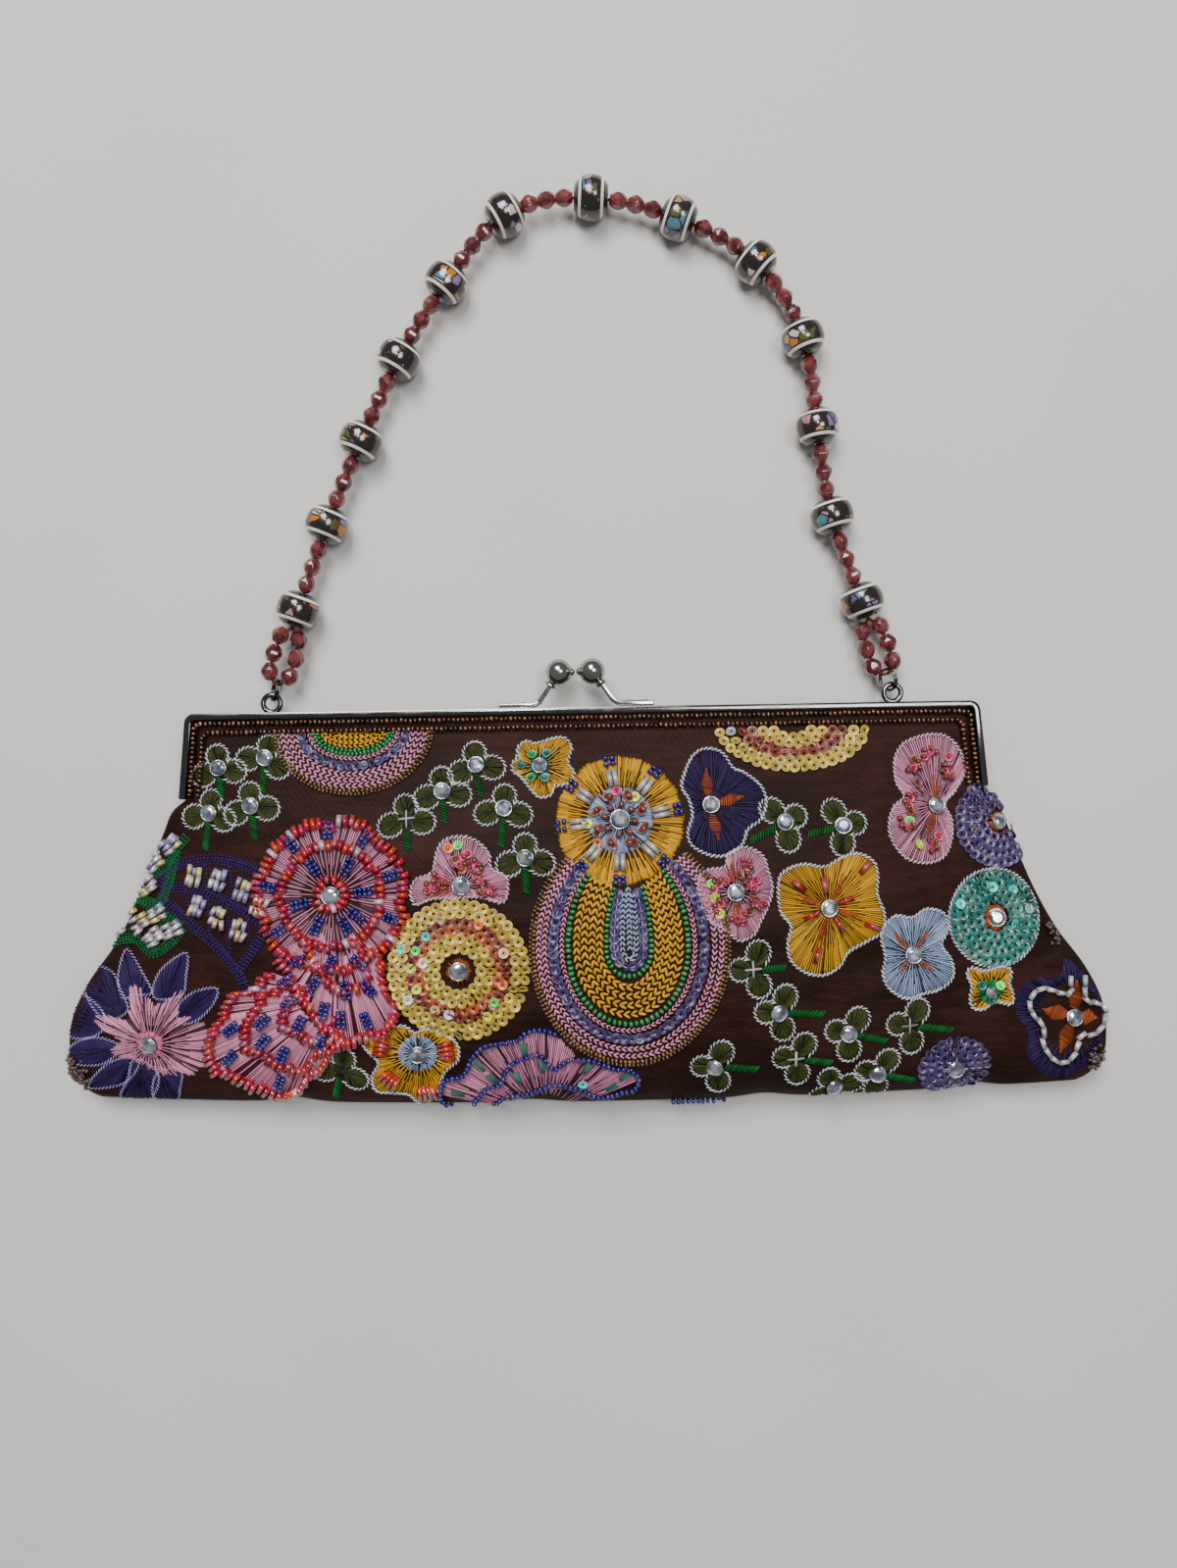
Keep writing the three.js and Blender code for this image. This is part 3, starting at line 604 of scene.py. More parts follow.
SATIN = Satin()
FLOSS = Floss()
CORD = Floss("outline_cord", 0.5)
SEED_GLASS = Glass("seed_glass", 0.15, 0.0)
BUGLE_GLASS = Glass("bugle_glass", 0.25, 0.2, painted_sheen=0.3)
SEQUIN = Spangle()
STONE = Rhinestone()
NICKEL = Nickel()
# A darker copy of the same nickel for the frame, the hinge pins and the rings: painted shade that dims the
# lamps' reflections in them.
SHADED_NICKEL = Nickel("shaded_nickel", (0.13, 0.126, 0.121), (0.085, 0.08, 0.075))
BRONZE = BronzeGlass()
GARNET = GarnetGlass()
RESIN = InlaidResin()


# The workbench


@dataclass
class Shape:
    """A small modelled shape whose copies are joined into one mesh."""

    points: Array
    corners: Array
    counts: Array
    smooth: Array


class Bench:
    """Modelling operators, on one object at a time."""

    @staticmethod
    def clear() -> None:
        """Select nothing."""
        if bpy.context.object and bpy.context.object.mode != "OBJECT":
            bpy.ops.object.mode_set(mode="OBJECT")
        bpy.ops.object.select_all(action="DESELECT")

    @staticmethod
    def start(kind: str, **sizes: object) -> bpy.types.Object:
        """Add a primitive of a kind and give its object."""
        Bench.clear()
        getattr(bpy.ops.mesh, f"primitive_{kind}_add")(**sizes)
        return bpy.context.object

    @staticmethod
    def pick(obj: bpy.types.Object, test: object, mode: str = "VERT") -> None:
        """Go into edit mode with only some elements selected.

        Args:
            obj: The object.
            test: Takes a vertex's place, or a face's centre and normal, and says whether it is selected.
            mode: VERT or FACE.
        """
        if obj.mode != "OBJECT":
            bpy.ops.object.mode_set(mode="OBJECT")
        bpy.context.view_layer.objects.active = obj
        obj.select_set(True)
        mesh = obj.data
        for part in (mesh.vertices, mesh.edges, mesh.polygons):
            part.foreach_set("select", np.zeros(len(part), bool))
        if mode == "VERT":
            for vertex in mesh.vertices:
                vertex.select = bool(test(vertex.co))
        else:
            for face in mesh.polygons:
                face.select = bool(test(face.center, face.normal))
        bpy.context.tool_settings.mesh_select_mode = (mode == "VERT", False, mode == "FACE")
        bpy.ops.object.mode_set(mode="EDIT")

    @staticmethod
    def done(obj: bpy.types.Object, closed: bool = True) -> bpy.types.Object:
        """Leave edit mode with doubles merged and faces outwards."""
        Bench.pick(obj, lambda _: True)
        bpy.ops.mesh.remove_doubles(threshold=1e-5)
        if closed:
            bpy.ops.mesh.normals_make_consistent(inside=False)
        bpy.ops.object.mode_set(mode="OBJECT")
        return obj

    @staticmethod
    def extrude(offset: tuple[float, float, float], scale: float | tuple = 1.0) -> None:
        """Extrude what is selected, move it and scale it about its middle."""
        bpy.ops.mesh.extrude_region_move(TRANSFORM_OT_translate={"value": offset})
        if scale != 1.0:
            sizes = scale if isinstance(scale, tuple) else (scale,) * 3
            bpy.ops.transform.resize(value=sizes)

    @staticmethod
    def modify(obj: bpy.types.Object, kind: str, **settings: object) -> bpy.types.Object:
        """Add one modifier and apply it."""
        Bench.clear()
        bpy.context.view_layer.objects.active = obj
        obj.select_set(True)
        modifier = obj.modifiers.new(kind.lower(), kind)
        for name, setting in settings.items():
            setattr(modifier, name, setting)
        bpy.ops.object.modifier_apply(modifier=modifier.name)
        return obj

    @staticmethod
    def rounded(
        obj: bpy.types.Object, width: float, segments: int = 2, angle: float = 40.0
    ) -> bpy.types.Object:
        """Round an object's edges and shade it smoothly between them."""
        Bench.modify(
            obj, "BEVEL", width=width, segments=segments, limit_method="ANGLE",
            angle_limit=math.radians(angle),
        )
        return Bench.smooth(obj, 40.0)

    @staticmethod
    def smooth(obj: bpy.types.Object, angle: float = 180.0) -> bpy.types.Object:
        """Shade an object smoothly, but not over edges sharper than an angle."""
        Bench.clear()
        bpy.context.view_layer.objects.active = obj
        obj.select_set(True)
        if angle >= 180.0:
            bpy.ops.object.shade_smooth()
        else:
            bpy.ops.object.shade_smooth_by_angle(angle=math.radians(angle))
        return obj

    @staticmethod
    def join(objects: list[bpy.types.Object]) -> bpy.types.Object:
        """Join objects into the first."""
        Bench.clear()
        for obj in objects:
            obj.select_set(True)
        bpy.context.view_layer.objects.active = objects[0]
        if len(objects) > 1:
            bpy.ops.object.join()
        return objects[0]

    @staticmethod
    def lathe(profile: list[tuple[float, float]], steps: int) -> bpy.types.Object:
        """Turn a profile about Z.

        Args:
            profile: The radius and the height of each of its points.
            steps: The sides of the round.

        Returns:
            The closed object.
        """
        obj = Bench.start("plane", size=1.0)
        Bench.pick(obj, lambda _: True)
        bpy.ops.mesh.merge(type="CENTER")
        bpy.ops.transform.translate(value=(profile[0][0], 0.0, profile[0][1]))
        for (r0, h0), (r1, h1) in zip(profile, profile[1:]):
            Bench.extrude((r1 - r0, 0.0, h1 - h0))
        bpy.ops.mesh.select_all(action="SELECT")
        bpy.ops.mesh.spin(steps=steps, angle=2.0 * math.pi, center=(0.0, 0.0, 0.0), axis=(0.0, 0.0, 1.0))
        return Bench.done(obj)

    @staticmethod
    def points_of(obj: bpy.types.Object) -> Array:
        """Give the places of an object's vertices."""
        places = np.zeros(len(obj.data.vertices) * 3)
        obj.data.vertices.foreach_get("co", places)
        matrix = np.array(obj.matrix_world)
        return places.reshape(-1, 3) @ matrix[:3, :3].T + matrix[:3, 3]

    @staticmethod
    def take(obj: bpy.types.Object) -> Shape:
        """Turn an object into a shape and remove it."""
        bpy.context.view_layer.update()
        mesh = obj.data
        corners = np.zeros(len(mesh.loops), np.int32)
        mesh.loops.foreach_get("vertex_index", corners)
        counts = np.zeros(len(mesh.polygons), np.int32)
        mesh.polygons.foreach_get("loop_total", counts)
        smooth = np.zeros(len(mesh.polygons), bool)
        mesh.polygons.foreach_get("use_smooth", smooth)
        shape = Shape(Bench.points_of(obj), corners, counts, smooth)
        bpy.data.objects.remove(obj)
        bpy.data.meshes.remove(mesh)
        return shape

    @staticmethod
    def settle(obj: bpy.types.Object, points: Array) -> bpy.types.Object:
        """Put an object's vertices at places in bag millimetres, in metres in the row's frame."""
        metres = (points + np.array([0.0, ROW_SHIFT, 0.0])) * MILLIMETRE
        obj.matrix_world = Matrix.Identity(4)
        obj.data.vertices.foreach_set("co", metres.ravel())
        obj.data.update()
        return obj


def finish_piece(
    obj: bpy.types.Object, name: str, finish: Finish, nodes: tuple[str, ...] = ()
) -> bpy.types.Object:
    """Name a piece, give it its finish and let it ride on the bag.

    Args:
        obj: The finished object.
        name: Its name.
        finish: Its finish.
        nodes: The CAD nodes that it stands for.

    Returns:
        The object.
    """
    obj.name = obj.data.name = name
    obj.data.materials.clear()
    obj.data.materials.append(material_of(finish))
    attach(obj, BODY)
    if nodes:
        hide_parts(*nodes)
    triangles = sum(len(face.vertices) - 2 for face in obj.data.polygons)
    log.info("%s: %d triangles, %s", name, triangles, finish.name)
    return obj


class Joined:
    """Copies of small shapes that become one mesh."""

    def __init__(self, name: str, finish: Finish, slot: str) -> None:
        """Start with no copies."""
        self.name, self.finish, self.slot = name, finish, slot
        self.parts: list[tuple[Shape, Array, Array]] = []
        self.extras: list[dict[str, Array]] = []

    def add(self, shape: Shape, points: Array, tints: Array, **extras: Array) -> None:
        """Add copies of a shape whose points are already in place.

        Args:
            shape: The shape.
            points: The places, by copy and vertex.
            tints: A colour for each copy, or one for all.
            extras: More vectors to keep, by copy and vertex.
        """
        if len(points):
            tints = np.broadcast_to(np.asarray(tints, float), (len(points), 3))
            self.parts.append((shape, points, tints))
            self.extras.append(extras)

    def copy(
        self, shape: Shape, spots: Array, turns: Array, tints: Array, sizes: Array | float = 1.0
    ) -> None:
        """Add copies of a shape by place, turn and size.

        Args:
            shape: The shape.
            spots: Where each copy's origin goes.
            turns: Each copy's own X, Y and Z directions, as rows.
            tints: A colour for each copy, or one for all.
            sizes: A size for each copy, or one for all, or three along its own directions.
        """
        if not len(spots):
            return
        sizes = np.asarray(sizes, float)
        if sizes.ndim == 1 and len(sizes) == len(spots):
            sizes = sizes[:, None]
        scaled = shape.points[None] * (sizes[:, None] if sizes.ndim == 2 else sizes)
        scaled = np.broadcast_to(scaled, (len(spots), len(shape.points), 3))
        self.add(shape, np.einsum("nvk,nkd->nvd", scaled, turns) + spots[:, None], tints)

    def build(self, nodes: tuple[str, ...] = ()) -> bpy.types.Object | None:
        """Join the copies into one piece that stands for some nodes."""
        if not self.parts:
            return None
        places, corners, counts, smooth, tints, base = [], [], [], [], [], 0
        for shape, points, dyes in self.parts:
            many, each = len(points), len(shape.points)
            shift = base + np.arange(many)[:, None] * each
            places.append(points.reshape(-1, 3))
            corners.append((shape.corners[None] + shift).ravel())
            counts.append(np.tile(shape.counts, many))
            smooth.append(np.tile(shape.smooth, many))
            tints.append(np.repeat(dyes, each, axis=0))
            base += many * each
        places, corners, counts = np.concatenate(places), np.concatenate(corners), np.concatenate(counts)
        mesh = bpy.data.meshes.new(self.name)
        mesh.vertices.add(len(places))
        mesh.loops.add(len(corners))
        mesh.polygons.add(len(counts))
        mesh.loops.foreach_set("vertex_index", corners.astype(np.int32))
        mesh.polygons.foreach_set("loop_start", (np.cumsum(counts) - counts).astype(np.int32))
        mesh.polygons.foreach_set("loop_total", counts.astype(np.int32))
        mesh.polygons.foreach_set("use_smooth", np.concatenate(smooth))
        mesh.attributes.new("Tint", "FLOAT_COLOR", "POINT")
        colours = np.concatenate([np.concatenate(tints), np.ones((len(places), 1))], axis=1)
        mesh.attributes["Tint"].data.foreach_set("color", colours.astype(np.float32).ravel())
        for name in self.extras[0]:
            kept = np.concatenate([extra[name].reshape(-1, 3) for extra in self.extras])
            mesh.attributes.new(name, "FLOAT_VECTOR", "POINT")
            mesh.attributes[name].data.foreach_set("vector", kept.astype(np.float32).ravel())
        obj = bpy.data.objects.new(self.name, mesh)
        bpy.context.scene.collection.objects.link(obj)
        Bench.settle(obj, places)
        mesh.update(calc_edges=True)
        mesh.validate()
        return finish_piece(obj, self.name, self.finish, nodes)


def unit(vectors: Array) -> Array:
    """Scale vectors to a length of one."""
    return vectors / np.maximum(np.linalg.norm(vectors, axis=-1, keepdims=True), 1e-9)


def turns_of(along: Array, up: Array) -> Array:
    """Give directions with X along one vector and Z as near to another as can be.

    Args:
        along: The X directions.
        up: The wished Z directions.

    Returns:
        The three directions of each, as rows.
    """
    x = unit(along)
    y = unit(np.cross(up, x))
    return np.stack([x, y, np.cross(x, y)], axis=-2)


def hermite(t: Array | float) -> tuple[Array | float, ...]:
    """Give the weights of a smooth step's start, slope at the start, end and slope at the end."""
    return 2 * t**3 - 3 * t**2 + 1, t**3 - 2 * t**2 + t, 3 * t**2 - 2 * t**3, t**3 - t**2


def ways_along(spots: Array, closed: bool) -> Array:
    """Give the directions of a line at its points."""
    if closed:
        return np.roll(spots, -1, axis=0) - np.roll(spots, 1, axis=0)
    return np.gradient(spots, axis=0)


# The cloth


class Side(Enum):
    """The two halves of the bag."""

    FRONT = 1
    BACK = -1


@dataclass
class ClothForm:
    """The outer surface of the cloth, from the mouth to the bottom fold and round its edges."""

    width: float = 310.0
    height: float = 117.5
    level: float = FRAME_LEVEL
    leg: float = FRAME_LEG
    wall: float = 3.95
    puff: float = 13.0
    sag: float = 8.0
    bow: float = 0.042
    frame_half: float = FRAME_HALF
    flare: float = FRAME_FLARE
    inset: float = 1.2
    slot: float = 2.15
    # depth, out, margin, base, front, back, seam, log of squareness
    rows: tuple[tuple[float, ...], ...] = (
        (1.2, 0.0, 6.4, 1.0, 0.0, 0.0, 1.0, 60), (6.4, 0.0, 6.4, 1.0, 0.0, 0.0, 1.0, 60),
        (11.98, 0.0, 6.4, 1.0, 0.16, 0.08, 1.0, 60), (18.49, 0.0, 6.4, 1.0, 0.36, 0.24, 1.0, 60),
        (23.9, 0.0, 6.4, 1.0, 0.5, 0.36, 1.0, 60), (28.24, 0.11, 0.0, 1.0, 0.56, 0.45, 1.0, 9),
        (35.2, 0.18, 0.0, 1.0, 0.7, 0.62, 1.0, 5), (46.8, 0.28, 0.0, 1.0, 0.86, 0.85, 0.97, 4),
        (58.5, 0.4, 0.0, 1.0, 0.97, 1.0, 0.95, 3.4), (70.2, 0.57, 0.0, 1.0, 1.0, 1.0, 0.92, 3.2),
        (81.9, 0.81, 0.0, 1.0, 0.96, 1.0, 0.88, 3), (93.6, 0.97, 0.0, 1.0, 0.84, 1.0, 0.85, 3),
        (103.0, 1.0, 0.0, 0.95, 0.66, 0.95, 0.82, 3), (110.0, 0.96, 0.0, 0.8, 0.44, 0.8, 0.8, 3),
        (114.7, 0.84, 0.0, 0.52, 0.22, 0.52, 0.8, 3), (116.1, 0.78, 0.0, 0.36, 0.13, 0.36, 0.8, 3),
        (117.1, 0.71, 0.0, 0.19, 0.06, 0.19, 0.8, 3), (117.5, 0.67, 0.0, 0.0, 0.0, 0.0, 0.8, 3),
    )
    # across, down, turn, long, wide, rise
    folds: tuple[tuple[float, ...], ...] = (
        (-0.42, 0.25, 4, 0.16, 0.03, -0.1), (-0.36, 0.34, -6, 0.14, 0.03, 0.09),
        (0.52, 0.27, -12, 0.13, 0.03, -0.11),
        (0.6, 0.37, -20, 0.12, 0.035, 0.1), (-0.7, 0.45, 62, 0.09, 0.03, 0.09),
        (0.72, 0.72, 70, 0.09, 0.035, -0.12),
        (-0.3, 0.86, 80, 0.07, 0.03, -0.12), (0.2, 0.88, -84, 0.07, 0.03, -0.1),
        (-0.3, 0.2, -5, 0.07, 0.012, 0.035), (-0.5, 0.3, 8, 0.06, 0.01, -0.04),
        (0.1, 0.42, 70, 0.05, 0.01, -0.03),
        (0.36, 0.62, 78, 0.07, 0.012, 0.04), (0.56, 0.66, 20, 0.06, 0.012, -0.04),
        (-0.86, 0.66, 50, 0.06, 0.012, 0.035),
        (0.84, 0.45, -58, 0.06, 0.012, -0.04), (0.3, 0.9, 75, 0.03, 0.01, 0.05),
        (-0.12, 0.93, -80, 0.03, 0.01, -0.05),
        (0.02, 0.96, 88, 0.025, 0.01, 0.05), (0.46, 0.95, 82, 0.03, 0.01, -0.05),
        (-0.56, 0.93, 84, 0.03, 0.01, 0.05),
        (0.42, 0.14, 0, 0.08, 0.01, 0.03), (-0.05, 0.3, -70, 0.04, 0.01, 0.03),
        (0.7, 0.2, -10, 0.06, 0.011, 0.035),
    )
    gathers: tuple[tuple[float, float, float], ...] = (
        (-0.6, 0.05, 0.012), (-0.12, 0.06, 0.008), (0.36, 0.05, 0.01), (0.78, 0.05, 0.014),
    )

    def __post_init__(self) -> None:
        """Work out the slopes of the rows."""
        table = np.array(self.rows)
        table[:, 7] = np.log(table[:, 7])
        self.depths, self.values = table[:, 0], table[:, 1:]
        step = np.diff(self.depths)[:, None]
        slope = np.diff(self.values, axis=0) / step
        middle = (slope[:-1] * step[1:] + slope[1:] * step[:-1]) / (step[:-1] + step[1:])
        middle = np.where(slope[:-1] * slope[1:] <= 0, 0.0, middle)
        self.slopes = np.concatenate([slope[:1], middle, slope[-1:]])

    def row(self, depth: Array) -> Array:
        """Give the rows' values at depths, on smooth lines through them."""
        depth = np.clip(depth, self.depths[0], self.depths[-1])
        k = np.clip(np.searchsorted(self.depths, depth, "right") - 1, 0, len(self.depths) - 2)
        step = self.depths[k + 1] - self.depths[k]
        t = ((depth - self.depths[k]) / step)[..., None]
        step = step[..., None]
        start, leaving, end, coming = hermite(t)
        near = start * self.values[k] + leaving * step * self.slopes[k]
        return near + end * self.values[k + 1] + coming * step * self.slopes[k + 1]

    def half(self, depth: Array) -> Array:
        """Give the half width of the cloth at depths."""
        legs = self.frame_half + self.flare * depth - self.inset
        return legs + self.row(depth)[..., 0] * (self.width / 2 - legs)

    def fold_rise(self, across: Array, down: Array) -> Array:
        """Give what the folds add to the front."""
        rise = np.zeros_like(across)
        for at_x, at_y, turn, long, wide, high in self.folds:
            dx = (across - at_x) * self.width / 2
            dy = (down - at_y) * self.height
            c, s = math.cos(math.radians(turn)), math.sin(math.radians(turn))
            along, beside = (dx * c - dy * s) / (long * self.width), (dx * s + dy * c) / (wide * self.width)
            rise += high * self.puff * np.exp(-along * along - beside * beside)
        for wave_x, wave_y, phase, high in (
            (0.05, 0.36, 0.0, 0.1), (-0.09, 0.47, 2.1, 0.08), (0.17, 0.29, 4.0, 0.07)
        ):
            rise += high * np.sin(
                across * self.width / 2 * wave_x + down * self.height * wave_y + phase + 1.3
                * np.sin(across * 9 + phase)
            )
        return rise

    def body(self, depth: Array) -> Array:
        """Give the share of the way from the legs' ends to the bottom fold."""
        return np.clip((depth - self.leg) / (self.height - self.leg), 0.0, 1.0)

    def lift(self, across: Array, depth: Array) -> Array:
        """Give how far the bow and the gathers raise the bottom."""
        rise = self.bow * across**2 * (self.height - self.leg)
        for at_x, wide, high in self.gathers:
            rise = rise + high * self.height * np.exp(-(((across - at_x) / wide) ** 2))
        return self.body(depth) * rise

    def point(self, across: Array, depth: Array, side: Array) -> Array:
        """Give points of the cloth.

        Args:
            across: The place across, from -1 to 1.
            depth: The depth below the frame's top edge, along the cloth.
            side: 1 in front and -1 behind.

        Returns:
            The points.
        """
        row, half = self.row(depth), self.half(depth)
        margin, base, front, back, seam = (row[..., k] for k in range(1, 6))
        square = np.exp(row[..., 6])
        flat = 1.0 - margin / half
        size = np.minimum(np.abs(across), 1.0)
        lens = (1.0 - np.minimum(1.0, size / flat) ** 2.3) ** 0.8
        edge = np.sqrt(np.maximum(1.0 - size**square, 0.0))
        swell = np.where(side > 0, front * self.puff, back * self.sag)
        folds = self.fold_rise(across, depth / self.height) * lens * np.minimum(1.0, front * 2.0)
        rise = np.maximum(base * self.wall * edge + swell * lens + np.where(side > 0, folds, 0.0), 0.0)
        rise = np.maximum(rise, self.slot * np.clip((self.leg - depth) / 1.5, 0.0, 1.0))
        z = np.maximum(seam * self.level + side * rise, 0.0)
        return np.stack([across * half, -(depth - self.lift(across, depth)), z], axis=-1)

    def at(self, x: Array, y: Array) -> Array:
        """Give the points of the cloth at places seen from above, past the edges those behind."""
        depth, across = -y, np.zeros_like(x)
        for _ in range(6):
            across = x / self.half(depth)
            depth = -y + self.lift(np.clip(across, -1, 1), depth)
        side = np.where((np.abs(across) > 1.0) | (depth > self.height), -1.0, 1.0)
        across = np.where(np.abs(across) > 1.0, np.sign(across) * (2.0 - np.abs(across)), across)
        depth = np.where(depth > self.height, 2.0 * self.height - depth, depth)
        return self.point(across, np.maximum(depth, MOUTH), side)

    def lay(self, spots: Array, lift: Array | float = 0.0) -> tuple[Array, Array]:
        """Lay places on the cloth.

        Args:
            spots: The places seen from above.
            lift: How far over the cloth each goes.

        Returns:
            The points and the cloth's directions outwards.
        """
        spots = np.asarray(spots, float)
        x, y = spots[..., 0], spots[..., 1]
        step = 0.35
        outward = unit(
            np.cross(self.at(x + step, y) - self.at(x - step, y), self.at(x, y + step) - self.at(x, y - step))
        )
        return self.at(x, y) + outward * np.asarray(lift)[..., None], outward


@dataclass
class ClothBag:
    """The two satin panels, sewn together down the sides and along the bottom."""

    form: ClothForm
    columns: dict[Side, int] = field(default_factory=lambda: {Side.FRONT: 190, Side.BACK: 110})
    rows: dict[Side, int] = field(default_factory=lambda: {Side.FRONT: 110, Side.BACK: 72})
    thickness: float = 0.9

    def panel(self, side: Side) -> bpy.types.Object:
        """Shape one panel from a flat grid and give it its thickness."""
        obj = Bench.start("grid", x_subdivisions=self.columns[side], y_subdivisions=self.rows[side], size=2.0)
        flat = Bench.points_of(obj)
        share, down = flat[:, 0], (1.0 - flat[:, 1]) / 2.0
        across = 0.45 * share + 0.55 * np.sin(share * math.pi / 2)
        depth = MOUTH + (self.form.height - MOUTH) * (0.72 * down + 0.28 * np.sin(down * math.pi / 2))
        points = self.form.point(np.clip(across, -1.0, 1.0), depth, np.full(len(flat), float(side.value)))
        Bench.settle(obj, points)
        if side is Side.BACK:
            Bench.pick(obj, lambda _: True)
            bpy.ops.mesh.flip_normals()
            bpy.ops.object.mode_set(mode="OBJECT")
        Bench.modify(
            obj, "SOLIDIFY", thickness=self.thickness * MILLIMETRE, offset=-1.0, use_even_offset=False
        )
        Bench.smooth(obj, 70.0)
        node = f"bag_{side.name.lower()}"
        return finish_piece(obj, f"satin_panel_{side.name.lower()}", SATIN, (node,))

    def build(self) -> None:
        """Build both panels."""
        for side in Side:
            self.panel(side)


# The metal


@dataclass
class MetalFrame:
    """The two nickel halves of the frame with the strap's eyes."""

    half: float = FRAME_HALF
    flare: float = 5.1
    leg: float = FRAME_LEG
    corner: float = FRAME_CORNER
    sheet: float = 0.9
    lip: float = 1.9
    level: float = FRAME_LEVEL
    low: float = 0.15
    high: float = 5.15
    eye_span: float = 186.0
    eye_rise: float = 3.2
    eye_ring: float = 2.6
    eye_wire: float = 0.8
    rounding: float = 0.22

    def channel(self, side: Side) -> bpy.types.Object:
        """Draw the channel's section at one leg's end and take it round the frame."""
        tilt = math.radians(self.flare)
        inward, upward = Vector(
            (math.cos(tilt), -math.sin(tilt), 0.0)
        ), Vector((math.sin(tilt), math.cos(tilt), 0.0))
        section = [(0, self.low), (0, self.high), (self.lip, self.high), (self.lip, self.high - self.sheet),
                   (self.sheet, self.high - self.sheet), (self.sheet, self.low)]
        foot = Vector((-self.half - math.tan(tilt) * self.leg, -self.leg, self.level))
        centre_x = (self.corner - self.corner * math.sin(tilt)) / math.cos(tilt) - self.half
        long = (self.leg - self.corner * (1.0 - math.sin(tilt))) / math.cos(tilt)
        obj = Bench.start("circle", vertices=len(section), radius=1.0)
        for vertex, (deep, rise) in zip(obj.data.vertices, section):
            vertex.co = foot + inward * deep + Vector((0.0, 0.0, side.value * rise))
        Bench.pick(obj, lambda _: True)
        turn = math.pi / 2 - tilt
        Bench.extrude(tuple(upward * long))
        for centre in (centre_x, -centre_x):
            bpy.ops.mesh.spin(steps=7, angle=turn, center=(centre, -self.corner, 0.0), axis=(0.0, 0.0, 1.0))
            if centre < 0:
                Bench.extrude((-2.0 * centre_x, 0.0, 0.0))
        Bench.extrude((math.sin(tilt) * long, -math.cos(tilt) * long, 0.0))
        Bench.pick(obj, lambda _: True)
        bpy.ops.mesh.fill_holes(sides=0)
        Bench.done(obj)
        return Bench.rounded(obj, self.rounding)

    def eye(self, hand: int) -> list[bpy.types.Object]:
        """Shape one strap eye: a ring of wire and its soldered post."""
        centre = (hand * self.eye_span / 2, self.eye_rise, self.level - 2.65)
        ring = Bench.start(
            "torus", major_radius=self.eye_ring, minor_radius=self.eye_wire, major_segments=40,
            minor_segments=14, location=centre
        )
        Bench.smooth(ring)
        foot = (centre[0], (self.eye_rise - self.eye_ring) / 2 - 0.15, centre[2])
        post = Bench.start(
            "cylinder", vertices=16, radius=0.78, depth=1.5, location=foot, rotation=(math.pi / 2, 0.0, 0.0)
        )
        Bench.pick(post, lambda centre, normal: abs(normal.z) > 0.9, "FACE")
        bpy.ops.mesh.inset(thickness=0.12)
        bpy.ops.mesh.select_more()
        bpy.ops.object.mode_set(mode="OBJECT")
        Bench.rounded(post, 0.1)
        return [ring, post]

    def tongue(self, side: Side) -> list[bpy.types.Object]:
        """Shape the inner leaf that holds the cloth in the channel, along the top."""
        z = self.level + side.value * 1.4
        leaf = Bench.start(
            "cube", size=1.0, location=(0.0, -3.95, z), scale=(2 * self.half - 16.0, 6.1, self.sheet)
        )
        return [Bench.rounded(leaf, 0.15)]

    def build(self) -> None:
        """Build both halves, the eyes on the back one."""
        for side in Side:
            parts = [self.channel(side), *self.tongue(side)]
            if side is Side.BACK:
                parts += [*self.eye(-1), *self.eye(1)]
            whole = Bench.join(parts)
            Bench.settle(whole, Bench.points_of(whole))
            name = f"frame_{side.name.lower()}"
            finish_piece(whole, f"metal_{name}", SHADED_NICKEL, (name,))


@dataclass
class Hinges:
    """The riveted hinge pins at the legs' ends."""

    x: float = 118.01
    y: float = -22.0
    level: float = FRAME_LEVEL
    pin: float = 1.1
    head: float = 1.8
    head_height: float = 0.8
    gap: float = 0.75

    def build(self) -> None:
        """Build one turned pin at each side."""
        far = self.gap + self.head_height
        dome = [
            (0.0, far), (0.7, far - 0.04), (1.3, far - 0.2), (1.68, far - 0.48), (self.head, self.gap + 0.1),
            (self.head - 0.1, self.gap),
        ]
        profile = [*dome, (self.pin, self.gap), (self.pin, -self.gap), *[(r, -h) for r, h in reversed(dome)]]
        for hand, name in ((-1, "left"), (1, "right")):
            pin = Bench.smooth(Bench.lathe(profile, 28), 40.0)
            local = Bench.points_of(pin)
            points = np.stack([local[:, 2], local[:, 1], local[:, 0]], axis=-1) * np.array([1.0, 1.0, -1.0])
            Bench.settle(pin, points + np.array([hand * self.x, self.y, self.level]))
            finish_piece(pin, f"hinge_rivet_{name}", SHADED_NICKEL, (f"hinge_pin_{name}",))


